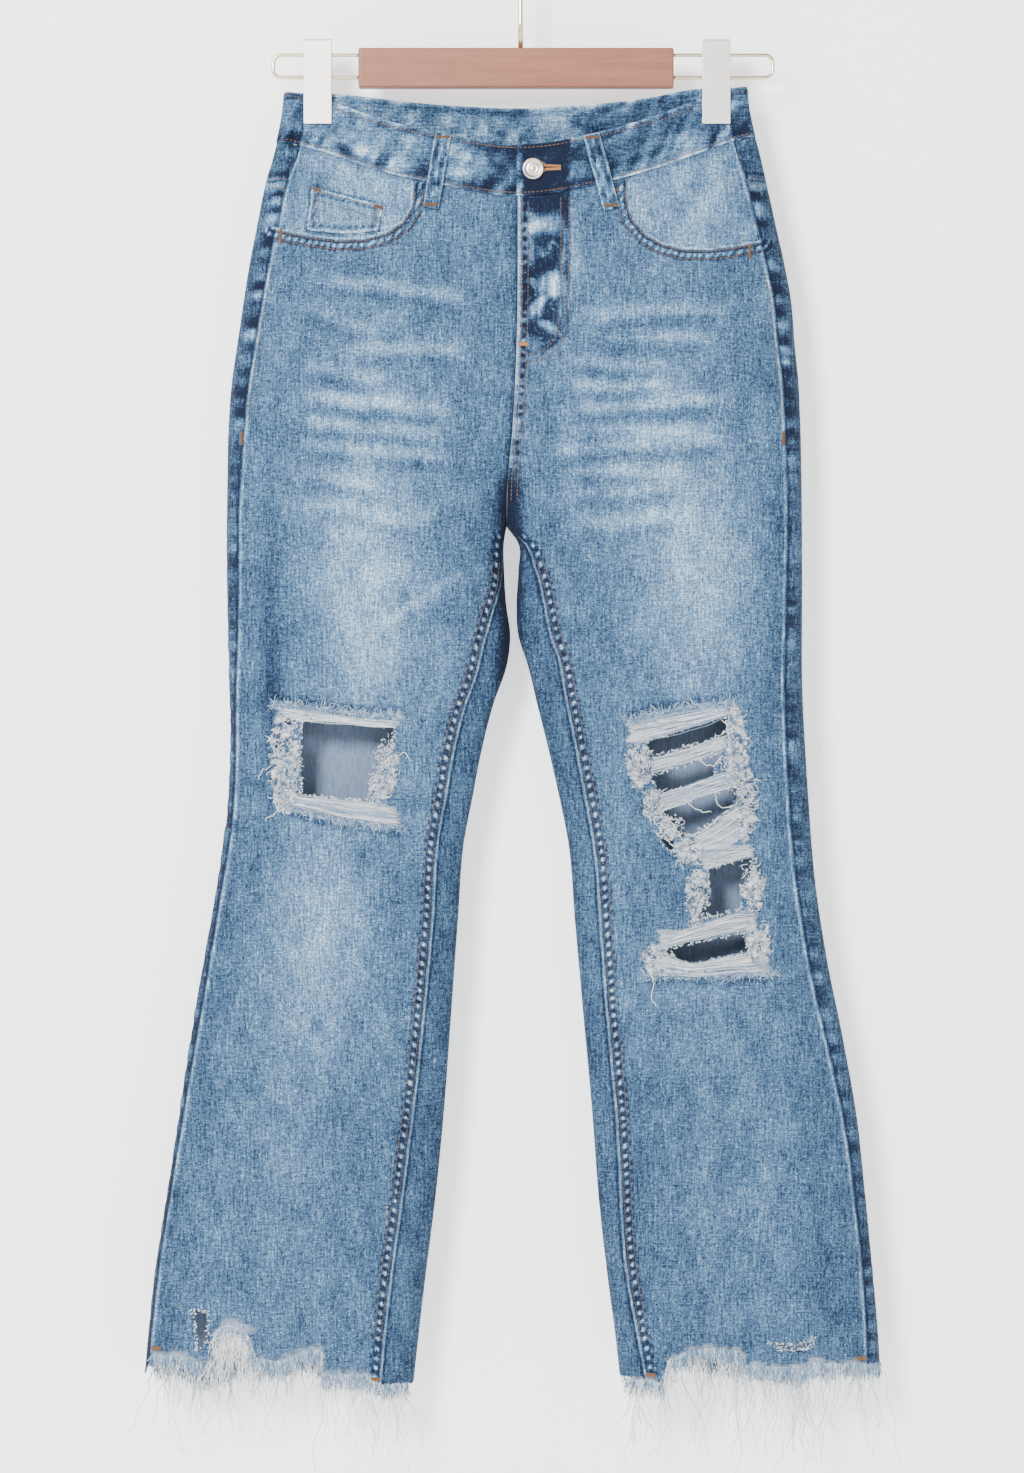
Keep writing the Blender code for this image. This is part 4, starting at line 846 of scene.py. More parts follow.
    def fly_marks(self, side: Side, x: Array, drop: Array) -> Array:
        """Deep blotches and bleached waves over the fly, paler folded edge at the centre front."""
        away = x - self.garment.centre(0, drop)
        gate = smooth_step((self.garment.size.crotch - 30 - drop) / 26)
        if side == Side.RIGHT:
            return -0.22 * gate * hump(away + 1.0, 1.6)
        value = 0.44 * hump(away - 0.9, 1.0) * gate
        corner = 1.0 - smooth_step((drop + 0.8 * np.maximum(away - 20.0, 0.0) - 352.0) / 5.0)
        zone = corner * smooth_step((41.0 - away) / 1.6) * smooth_step((away - 2.8) / 1.2)
        swirl = lumpy(x / 9, drop / 9, 2.2)
        streak = 0.8 + 0.35 * lumpy(x / 1.8, drop / 18, 45.0)
        bleached = np.zeros(x.shape)
        for spot in FLY_BLEACH:
            dx = (away - spot.away + 3.0 * swirl) * cos(spot.tilt) + (drop - spot.drop) * sin(spot.tilt)
            dd = (drop - spot.drop + 3.0 * swirl) * cos(spot.tilt) - (away - spot.away) * sin(spot.tilt)
            bell = np.exp(-((dx / spot.wide) ** 2 + (dd / spot.tall) ** 2) ** 2 * 0.55)
            bleached = np.maximum(bleached, spot.amount * bell * streak)
        ridge = 1.0 - np.abs(lumpy(away / 11 + 0.5 * swirl, drop / 13 + 0.5 * swirl, 44.0)) * 4.5
        seam_bleach = 0.42 * np.clip(ridge, 0.0, 1.0) * streak * smooth_step((drop - 238) / 8)
        bleached = np.maximum(bleached, seam_bleach)
        dark = -0.46 + 0.10 * lumpy(x / 12, drop / 16, 41.0)
        value = value + zone * (dark * (1 - bleached / 0.6) + 0.74 * bleached)
        value = value + (gate * 0.22 * streak * smooth_step((away - 38) / 4) * smooth_step((52 - away) / 8)
                         * smooth_step((drop - 232) / 12) * smooth_step((312 - drop) / 24))
        ladder = np.clip(np.sin(drop * 2 * pi / 7.6 + 1.5 * lumpy(drop / 15, 0.0, 46.0)) * 1.6, -1, 1)
        value = value + gate * (0.32 * ladder - 0.20) * hump(away - 5.4, 1.8)
        below = gate * smooth_step((drop - 345) / 20)
        return value + below * 0.2 * lumpy(drop / 4.5, x / 9, 47.0) * hump(away - 7, 5)


# ---------------------------------------------------------------- meshes


def linked(name: str, mesh: bpy.types.Mesh, material: bpy.types.Material) -> bpy.types.Object:
    """The mesh as an object of the scene, in one material."""
    mesh.materials.append(material)
    obj = bpy.data.objects.new(name, mesh)
    bpy.context.collection.objects.link(obj)
    return obj


def from_bmesh(bm: bmesh.types.BMesh, name: str, material: bpy.types.Material) -> bpy.types.Object:
    """A flat-shaded object from a bmesh, which is freed."""
    bmesh.ops.triangulate(bm, faces=bm.faces)
    mesh = bpy.data.meshes.new(name)
    bm.to_mesh(mesh)
    bm.free()
    return linked(name, mesh, material)


def make_object(name: str, points: Array, triangles: Array, material: bpy.types.Material,
                values: dict[str, Array] | None = None, smooth: bool = True) -> bpy.types.Object:
    """A mesh object from arrays.

    Args:
        name: the piece's name.
        points: places in millimetres.
        triangles: three indices a row.
        material: its finish.
        values: named numbers, one for each point.
        smooth: smooth shading.
    Returns:
        The linked object.
    """
    mesh = bpy.data.meshes.new(name)
    mesh.vertices.add(len(points))
    mesh.vertices.foreach_set("co", (np.asarray(points, np.float32) * MM).ravel())
    triangles = np.asarray(triangles, np.int32)
    mesh.loops.add(triangles.size)
    mesh.loops.foreach_set("vertex_index", triangles.ravel())
    mesh.polygons.add(len(triangles))
    mesh.polygons.foreach_set("loop_start", np.arange(0, triangles.size, 3, dtype=np.int32))
    mesh.update(calc_edges=True)
    for key, value in (values or {}).items():
        layer = mesh.attributes.new(key, "FLOAT", "POINT")
        layer.data.foreach_set("value", np.asarray(value, np.float32))
    if smooth:
        mesh.shade_smooth()
    return linked(name, mesh, material)


def closed_shell(outer: Array, inner: Array, triangles: Array) -> tuple[Array, Array]:
    """Points and triangles of a closed wall between two matching sheets."""
    count = len(outer)
    triangles = np.asarray(triangles, np.int64)
    edges = np.concatenate([triangles[:, [0, 1]], triangles[:, [1, 2]], triangles[:, [2, 0]]])
    key = np.sort(edges, axis=1)
    code = key[:, 0] * count + key[:, 1]
    _, first, uses = np.unique(code, return_index=True, return_counts=True)
    rim = edges[first[uses == 1]]
    a, b = rim[:, 0], rim[:, 1]
    under = triangles[:, ::-1] + count
    walls = np.concatenate([np.stack([b, a, a + count], axis=1), np.stack([b, a + count, b + count], axis=1)])
    return np.concatenate([outer, inner]), np.concatenate([triangles, under, walls])


def grid_triangles(rows: int, columns: int, closed: bool = False) -> Array:
    """Triangles of a grid of points stored row by row."""
    wide = columns if closed else columns - 1
    row, col = np.meshgrid(np.arange(rows - 1), np.arange(wide), indexing="ij")
    a = (row * columns + col).ravel()
    b = (row * columns + (col + 1) % columns).ravel()
    near = np.stack([a, b, b + columns], axis=1)
    return np.concatenate([near, np.stack([a, b + columns, a + columns], axis=1)])


def inside(outline: Array, points: Array) -> Array:
    """Which points lie inside a closed outline."""
    x, y = points[:, 0], points[:, 1]
    result = np.zeros(len(points), bool)
    for (x1, y1), (x2, y2) in zip(outline, np.roll(outline, -1, axis=0)):
        crosses = (y1 > y) != (y2 > y)
        rise = 1e-12 if y2 == y1 else y2 - y1
        result ^= crosses & (x < (x2 - x1) * (y - y1) / rise + x1)
    return result


def distance_to_outline(outline: Array, points: Array) -> Array:
    """Distance of points from a closed outline."""
    best = np.full(len(points), 1e9)
    for start, end in zip(outline, np.roll(outline, -1, axis=0)):
        span = end - start
        held = np.clip(((points - start) @ span) / max(span @ span, 1e-12), 0.0, 1.0)
        best = np.minimum(best, np.linalg.norm(points - start - held[:, None] * span, axis=1))
    return best


def densified(corners: Sequence[Sequence[float]], pitch: float, closed: bool = True) -> Array:
    """Places along a line or outline, at most pitch apart."""
    corners = [np.asarray(corner, float) for corner in corners]
    result = []
    for start, end in zip(corners, [*corners[1:], corners[0]] if closed else corners[1:]):
        parts = max(1, round(float(np.linalg.norm(end - start)) / pitch))
        result += [start + (end - start) * part / parts for part in range(parts)]
    if not closed:
        result.append(corners[-1])
    return np.array(result)


def ragged(line: Array, amount: float, seed: float) -> Array:
    """The same places moved unevenly by up to amount, for torn cloth."""
    number = np.arange(len(line), dtype=float)
    line = line.copy()
    line[:, 0] += amount * 0.7 * (hashed(number, seed) * 2 - 1)
    line[:, 1] += amount * (hashed(number, seed + 5) * 2 - 1)
    return line


# ---------------------------------------------------------------- node groups and finishes


class Links:
    """Short way to build one node tree."""

    def __init__(self, tree: bpy.types.NodeTree) -> None:
        """Args: tree: the tree to fill."""
        self.tree = tree

    def node(self, kind: str, **settings: object) -> bpy.types.Node:
        """A node with settings."""
        made = self.tree.nodes.new(kind)
        for key, value in settings.items():
            setattr(made, key, value)
        return made

    def put(self, node: bpy.types.Node, name: str | int, value: object) -> None:
        """Set an input to a number or colour, or join it to an output."""
        if isinstance(value, bpy.types.NodeSocket):
            self.tree.links.new(value, node.inputs[name])
        else:
            node.inputs[name].default_value = value

    def puts(self, node: bpy.types.Node, values: dict[str, object]) -> None:
        """Set or join several inputs."""
        for name, value in values.items():
            self.put(node, name, value)

    def centred(self, value: object):
        """A value from 0 to 1, less a half."""
        return self.math("SUBTRACT", value, 0.5)

    def bump(self, strength: float, distance: float, height: object):
        """A bumped normal."""
        made = self.node("ShaderNodeBump")
        self.puts(made, {"Strength": strength, "Distance": distance, "Height": height})
        return made.outputs[0]

    def object_place(self, scale: tuple[float, float, float]):
        """Place in the piece's own space, scaled."""
        made = self.node("ShaderNodeMapping")
        self.puts(made, {"Vector": self.node("ShaderNodeTexCoord").outputs["Object"], "Scale": scale})
        return made.outputs[0]

    def math(self, operation: str, a: object, b: object = 0.0, c: object | None = None, clamp: bool = False):
        """A math node's output."""
        made = self.node("ShaderNodeMath", operation=operation, use_clamp=clamp)
        self.put(made, 0, a)
        self.put(made, 1, b)
        if c is not None:
            self.put(made, 2, c)
        return made.outputs[0]

    def value_of(self, attribute: str):
        """A named number of the mesh."""
        return self.node("ShaderNodeAttribute", attribute_name=attribute).outputs["Fac"]

    def ramp(self, factor: object, stops: Iterable[tuple[float, tuple[float, float, float]]]):
        """A colour ramp's output."""
        made = self.node("ShaderNodeValToRGB")
        elements = made.color_ramp.elements
        while len(elements) > 1:
            elements.remove(elements[-1])
        for number, (place, color) in enumerate(stops):
            stop = elements[0] if number == 0 else elements.new(place)
            stop.position = place
            stop.color = (*color, 1.0)
        self.put(made, 0, factor)
        return made.outputs["Color"]

    def mix(self, factor: object, a: object, b: object):
        """A colour mix's output."""
        made = self.node("ShaderNodeMix", data_type="RGBA", blend_type="MIX")
        self.put(made, 0, factor)
        self.put(made, 6, a)
        self.put(made, 7, b)
        return made.outputs[2]

    def noise(self, vector: object, scale: float, detail: float = 3.0, roughness: float = 0.6):
        """A noise texture's value."""
        made = self.node("ShaderNodeTexNoise")
        self.put(made, "Vector", vector)
        self.put(made, "Scale", scale)
        self.put(made, "Detail", detail)
        self.put(made, "Roughness", roughness)
        return made.outputs[0]


def new_material(name: str) -> tuple[bpy.types.Material, Links, bpy.types.Node]:
    """A material, its links and its shader."""
    material = bpy.data.materials.new(name)
    material.use_nodes = True
    return material, Links(material.node_tree), material.node_tree.nodes["Principled BSDF"]


def group_of(name: str, inputs: Sequence[tuple[str, str, object]], outputs: Sequence[tuple[str, str]],
             fill: Callable[[Links, bpy.types.Node, bpy.types.Node], None]) -> bpy.types.NodeTree:
    """A shared node group.

    Args:
        name: the group's name.
        inputs: name, socket type and default of each input.
        outputs: name and socket type of each output.
        fill: builds the inside from the links, the input node and the output node.
    Returns:
        The group's tree.
    """
    tree = bpy.data.node_groups.new(name, "ShaderNodeTree")
    for label, kind, default in inputs:
        socket = tree.interface.new_socket(name=label, in_out="INPUT", socket_type=kind)
        if default is not None:
            socket.default_value = default
    for label, kind in outputs:
        tree.interface.new_socket(name=label, in_out="OUTPUT", socket_type=kind)
    links = Links(tree)
    fill(links, links.node("NodeGroupInput"), links.node("NodeGroupOutput"))
    return tree


def _cloth_place(links: Links, scale_across: float, scale_along: float):
    """Vector of the cloth's own across and along numbers, in millimetres, scaled."""
    joined = links.node("ShaderNodeCombineXYZ")
    links.put(joined, 0, links.math("MULTIPLY", links.value_of("across"), scale_across))
    links.put(joined, 1, links.math("MULTIPLY", links.value_of("along"), scale_along))
    return joined.outputs[0]


def twill_weave() -> bpy.types.NodeTree:
    """Fine diagonal ribs of the weave, with slubs along the grain."""

    def fill(links: Links, given: bpy.types.Node, made: bpy.types.Node) -> None:
        wander = links.noise(_cloth_place(links, 0.35, 0.2), 1.0, 2.0)
        heather = links.noise(_cloth_place(links, 0.50, 0.30), 1.0, 3.0, 0.85)
        across = links.math("MULTIPLY", links.value_of("across"), given.outputs["Ribs"])
        along = links.math("MULTIPLY", links.value_of("along"), given.outputs["Ribs"])
        phase = links.math("ADD", links.math("SUBTRACT", across, links.math("MULTIPLY", along, 0.8)),
                           links.math("MULTIPLY", wander, 5.0))
        rib = links.math("MULTIPLY_ADD", links.math("SINE", phase), 0.5, 0.5)
        slub = links.noise(_cloth_place(links, 0.62, 0.06), 1.0, 4.0, 0.75)
        pick = links.noise(_cloth_place(links, 0.10, 0.75), 1.0, 3.0, 0.75)
        grain = links.noise(_cloth_place(links, 1.0, 0.9), 0.85, 2.0, 0.85)
        links.puts(made, {"Rib": rib, "Heather": heather, "Slub": slub, "Pick": pick, "Grain": grain})

    return group_of("TwillWeave", [("Ribs", "NodeSocketFloat", 5.2)],
                    [("Rib", "NodeSocketFloat"), ("Slub", "NodeSocketFloat"), ("Pick", "NodeSocketFloat"),
                     ("Grain", "NodeSocketFloat"), ("Heather", "NodeSocketFloat")], fill)


def wash_mottle() -> bpy.types.NodeTree:
    """Soft uneven patches of the stone wash."""

    def fill(links: Links, given: bpy.types.Node, made: bpy.types.Node) -> None:
        soft = links.noise(_cloth_place(links, 1.0, 0.55), given.outputs["Soft"], 4.0, 0.6)
        fine = links.noise(_cloth_place(links, 1.0, 1.0), given.outputs["Fine"], 3.0, 0.75)
        total = links.math("MULTIPLY_ADD", fine, 0.5, links.math("MULTIPLY", soft, 0.5))
        links.put(made, "Mottle", links.math("SUBTRACT", total, 0.5))

    return group_of("WashMottle", [("Soft", "NodeSocketFloat", 0.06), ("Fine", "NodeSocketFloat", 0.5)],
                    [("Mottle", "NodeSocketFloat")], fill)


@dataclass(frozen=True)
class DenimFinish:
    """Washed denim: colours from deep indigo to bare weft, in linear light."""

    name: str = "denim_wash"
    stops: tuple[tuple[float, tuple[float, float, float]], ...] = (
        (0.0, (0.005, 0.009, 0.024)), (0.14, (0.012, 0.024, 0.054)), (0.30, (0.028, 0.059, 0.112)),
        (0.46, (0.055, 0.114, 0.204)), (0.62, (0.104, 0.195, 0.312)), (0.80, (0.235, 0.375, 0.500)),
        (1.0, (0.560, 0.680, 0.800)))
    reverse: tuple[float, float, float, float] = (0.205, 0.260, 0.370, 1.0)
    bare: tuple[float, float, float, float] = (0.80, 0.805, 0.82, 1.0)
    roughness: float = 0.86
    sheen: float = 0.03
    specular: float = 0.12
    bump: float = 0.35

    def build(self) -> bpy.types.Material:
        """The material, driven by the mesh's fade numbers, which hold painted shade as well as the wash, and
        its white numbers.
        """
        material, links, shader = new_material(self.name)
        weave = links.node("ShaderNodeGroup", node_tree=bpy.data.node_groups["TwillWeave"])
        mottle = links.node("ShaderNodeGroup", node_tree=bpy.data.node_groups["WashMottle"])
        tone = links.math("MULTIPLY_ADD", mottle.outputs["Mottle"], 0.75, links.value_of("fade"))
        for label, amount in (("Slub", 0.95), ("Pick", 0.6), ("Grain", 1.2), ("Heather", 1.05), ("Rib", 0.08)):
            tone = links.math("MULTIPLY_ADD", links.centred(weave.outputs[label]), amount, tone)
        color = links.ramp(tone, self.stops)
        for attribute, label, amount, base, paint in (("reverse", "Slub", 1.6, 0.78, self.reverse),
                                                      ("white", "Pick", 1.3, 0.86, self.bare)):
            uneven = links.math("MULTIPLY_ADD", links.centred(weave.outputs[label]), amount, base, clamp=True)
            color = links.mix(links.math("MULTIPLY", links.value_of(attribute), uneven), color, paint)
        height = links.math("MULTIPLY_ADD", weave.outputs["Rib"], 0.5, weave.outputs["Grain"])
        links.puts(shader, {"Base Color": color, "Roughness": self.roughness, "Sheen Weight": self.sheen,
                            "Sheen Roughness": 0.5, "Specular IOR Level": self.specular,
                            "Normal": links.bump(self.bump, 0.0006, height)})
        return material


@dataclass(frozen=True)
class ThreadFinish:
    """Cotton thread whose colour runs through a few tones by the mesh's tone number."""

    name: str
    stops: tuple[tuple[float, tuple[float, float, float]], ...]
    roughness: float = 0.9
    sheen: float = 0.15

    def build(self) -> bpy.types.Material:
        """The material."""
        material, links, shader = new_material(self.name)
        color = links.ramp(links.value_of("tone"), self.stops)
        links.puts(shader, {"Base Color": color, "Roughness": self.roughness, "Sheen Weight": self.sheen,
                            "Specular IOR Level": 0.2})
        return material


@dataclass(frozen=True)
class MetalFinish:
    """Plated metal, with fine brushing along one axis."""

    name: str
    color: tuple[float, float, float]
    roughness: float
    stretch: tuple[float, float, float] = (1.0, 1.0, 1.0)
    brushing: float = 0.0
    scale: float = 900.0

    def build(self) -> bpy.types.Material:
        """The material."""
        material, links, shader = new_material(self.name)
        lines = links.noise(links.object_place(self.stretch), self.scale, 3.0, 0.6)
        spread = links.math("MULTIPLY_ADD", links.centred(lines), self.brushing, 1.0)
        tinted = links.node("ShaderNodeCombineXYZ")
        for channel, amount in enumerate(self.color):
            links.put(tinted, channel, links.math("MULTIPLY", spread, amount))
        rough = links.math("MULTIPLY_ADD", lines, 0.12, self.roughness - 0.06)
        links.puts(shader, {"Base Color": tinted.outputs[0], "Metallic": 1.0, "Roughness": rough})
        return material


@dataclass(frozen=True)
class WoodFinish:
    """Red-brown wood with fine grain along the bar."""

    name: str = "red_wood"
    dark: tuple[float, float, float] = (0.150, 0.048, 0.026)
    light: tuple[float, float, float] = (0.360, 0.145, 0.085)

    def build(self) -> bpy.types.Material:
        """The material."""
        material, links, shader = new_material(self.name)
        place = links.object_place((9.0, 60.0, 110.0))
        broad = links.noise(place, 1.3, 6.0, 0.62)
        fine = links.noise(place, 8.0, 4.0, 0.7)
        tone = links.math("MULTIPLY_ADD", fine, 0.5, links.math("MULTIPLY", broad, 0.85))
        color = links.mix(links.math("SUBTRACT", tone, 0.18), (*self.dark, 1.0), (*self.light, 1.0))
        links.puts(shader, {"Base Color": color, "Roughness": 0.42, "Specular IOR Level": 0.35,
                            "Normal": links.bump(0.12, 0.0004, fine)})
        return material


class Palette:
    """All finishes, built once."""

    def __init__(self) -> None:
        """Build the shared groups and every material."""
        twill_weave()
        wash_mottle()
        self.denim = DenimFinish().build()
        blues = ((0.0, (0.018, 0.040, 0.095)), (0.3, (0.070, 0.145, 0.260)), (0.6, (0.220, 0.345, 0.490)),
                 (0.8, (0.560, 0.640, 0.720)), (1.0, (0.880, 0.875, 0.870)))
        browns = ((0.0, (0.070, 0.040, 0.026)), (0.5, (0.175, 0.088, 0.040)), (1.0, (0.440, 0.195, 0.060)))
        self.thread = ThreadFinish("bare_thread", blues).build()
        self.stitch = ThreadFinish("topstitch_thread", browns).build()
        self.wood = WoodFinish().build()
        self.clip = MetalFinish("brushed_nickel", (0.70, 0.67, 0.62), 0.46, (0.02, 1.0, 1.0), 0.10,
                                2500.0).build()
        self.wire = MetalFinish("pale_gold", (0.78, 0.66, 0.48), 0.28).build()
        self.button = MetalFinish("aged_nickel", (0.60, 0.57, 0.52), 0.34, (1.0, 1.0, 1.0), 0.25,
                                  1500.0).build()


# ---------------------------------------------------------------- threads and stitches


@dataclass
class ThreadBatch:
    """Many thin tubes gathered into one piece."""

    sides: int = 3
    points: list[Array] = field(default_factory=list)
    triangles: list[Array] = field(default_factory=list)
    tones: list[Array] = field(default_factory=list)
    count: int = 0

    def add(self, paths: Array, radii: Array, tone: Array | float) -> None:
        """Add tubes of one length of path.

        Args:
            paths: strands, points along each, x y z, in millimetres.
            radii: strands by points along.
            tone: one number for each strand, or for all.
        """
        strands, steps, _ = paths.shape
        if strands == 0:
            return
        tangent = np.gradient(paths, axis=1)
        tangent /= np.maximum(np.linalg.norm(tangent, axis=-1, keepdims=True), 1e-9)
        helper = np.where(np.abs(tangent[..., 1:2]) < 0.8, np.array([0.0, 1.0, 0.0]), np.array([1.0, 0.0, 0.0]))
        first = np.cross(tangent, helper)
        first /= np.maximum(np.linalg.norm(first, axis=-1, keepdims=True), 1e-9)
        second = np.cross(tangent, first)
        angles = np.arange(self.sides) * 2 * pi / self.sides
        ring = (paths[:, :, None, :] + radii[:, :, None, None]
                * (first[:, :, None, :] * np.cos(angles)[:, None]
                   + second[:, :, None, :] * np.sin(angles)[:, None]))
        single = grid_triangles(steps, self.sides, closed=True)
        fan = np.array([(0, k + 1, k) for k in range(1, self.sides - 1)])
        last = (steps - 1) * self.sides
        single = np.concatenate([single, fan, fan[:, ::-1] + last])
        offset = np.arange(strands)[:, None, None] * (steps * self.sides)
        self.triangles.append((single[None] + offset).reshape(-1, 3) + self.count)
        self.points.append(ring.reshape(-1, 3))
        tone = np.broadcast_to(np.asarray(tone, float), (strands,))
        self.tones.append(np.repeat(tone, steps * self.sides))
        self.count += strands * steps * self.sides

    def build(self, name: str, material: bpy.types.Material) -> bpy.types.Object:
        """One object with all the tubes."""
        return make_object(name, np.concatenate(self.points), np.concatenate(self.triangles), material,
                           {"tone": np.clip(np.concatenate(self.tones), 0.0, 1.0)})


class Cloth:
    """Places on the finished cloth: surface, relief and a height above it."""

    def __init__(self, garment: Garment, relief: Relief, wash: Wash) -> None:
        """Args: garment, relief and wash of this garment."""
        self.garment = garment
        self.relief = relief
        self.wash = wash

    def place(self, side: Side, x: Array, drop: Array, out: Array | float, face: Face = Face.FRONT) -> Array:
        """Points on the cloth over given x and drop.

        Args:
            side: which leg.
            x: places across.
            drop: places down.
            out: height over the cloth's outer face.
            face: front or back.
        Returns:
            Points in millimetres.
        """
        turn = self.garment.turn_at(side, x, drop, face)
        height, _ = self.relief.at(side, turn, np.asarray(drop, float))
        return self.garment.skin(side, turn, drop, height + out)


def resample(line: Array, spacing: float) -> Array:
    """Places along a polyline at even spacing."""
    steps = np.linalg.norm(np.diff(line, axis=0), axis=1)
    along = np.concatenate([[0.0], np.cumsum(steps)])
    count = max(2, int(along[-1] / spacing) + 1)
    at = np.linspace(0.0, along[-1], count)
    return np.stack([np.interp(at, along, line[:, axis]) for axis in range(line.shape[1])], axis=1)


def offset_line(line: Array, away: float) -> Array:
    """A flat polyline moved sideways, to the left of its run when away is positive."""
    tangent = np.gradient(line, axis=0)
    tangent /= np.maximum(np.linalg.norm(tangent, axis=1, keepdims=True), 1e-9)
    return line + np.stack([tangent[:, 1], -tangent[:, 0]], axis=1) * away


@dataclass
class Stitcher:
    """Runs of topstitches laid on the cloth."""

    cloth: Cloth
    batch: ThreadBatch
    length: float = 2.6
    pitch: float = 3.2
    radius: float = 0.40

    def run(self, side: Side, line: Sequence[Sequence[float]] | Array, lift: float = 0.0, tone: float = 0.35,
            face: Face = Face.FRONT) -> None:
        """Stitches along a line of (x, drop) places.

        Args:
            side: which leg.
            line: places along the seam.
            lift: height of the cloth's face there over the panel.
            tone: 0 brown to 1 orange.
            face: front or back.
        """
        line = resample(np.asarray(line, float), self.pitch)
        starts = line[:-1]
        step = line[1:] - line[:-1]
        shares = np.array([0.0, 0.3, 0.7, 1.0]) * (self.length / self.pitch)
        flat = starts[:, None, :] + step[:, None, :] * shares[None, :, None]
        rise = np.array([-0.25, 0.18, 0.18, -0.25]) + lift
        paths = self.cloth.place(side, flat[..., 0], flat[..., 1], rise, face)
        radii = np.broadcast_to(np.array([0.7, 1.0, 1.0, 0.7]) * self.radius, flat.shape[:2])
        uneven = tone + 0.28 * (hashed(np.arange(len(starts), dtype=float), tone) - 0.5)
        self.batch.add(paths, radii, uneven)

    def bar(self, side: Side, start: Sequence[float], end: Sequence[float], width: float = 2.2,
            lift: float = 0.0, tone: float = 0.3, face: Face = Face.FRONT) -> None:
        """A bartack: close stitches across the line from start to end."""
        start, end = np.asarray(start, float), np.asarray(end, float)
        count = max(4, int(np.linalg.norm(end - start) / 0.55))
        along = (end - start) / np.linalg.norm(end - start)
        cross = np.array([-along[1], along[0]]) * width / 2
        middle = start + (end - start) * np.linspace(0, 1, count)[:, None]
        shares = np.array([-1.0, -0.5, 0.5, 1.0])
        flat = middle[:, None, :] + cross[None, None, :] * shares[None, :, None]
        rise = np.array([-0.2, 0.45, 0.45, -0.2]) + lift
        paths = self.cloth.place(side, flat[..., 0], flat[..., 1], rise, face)
        radii = np.full(flat.shape[:2], self.radius * 0.95)
        self.batch.add(paths, radii, tone + 0.2 * (hashed(np.arange(count, dtype=float), 3.0) - 0.5))


# ---------------------------------------------------------------- cloth pieces


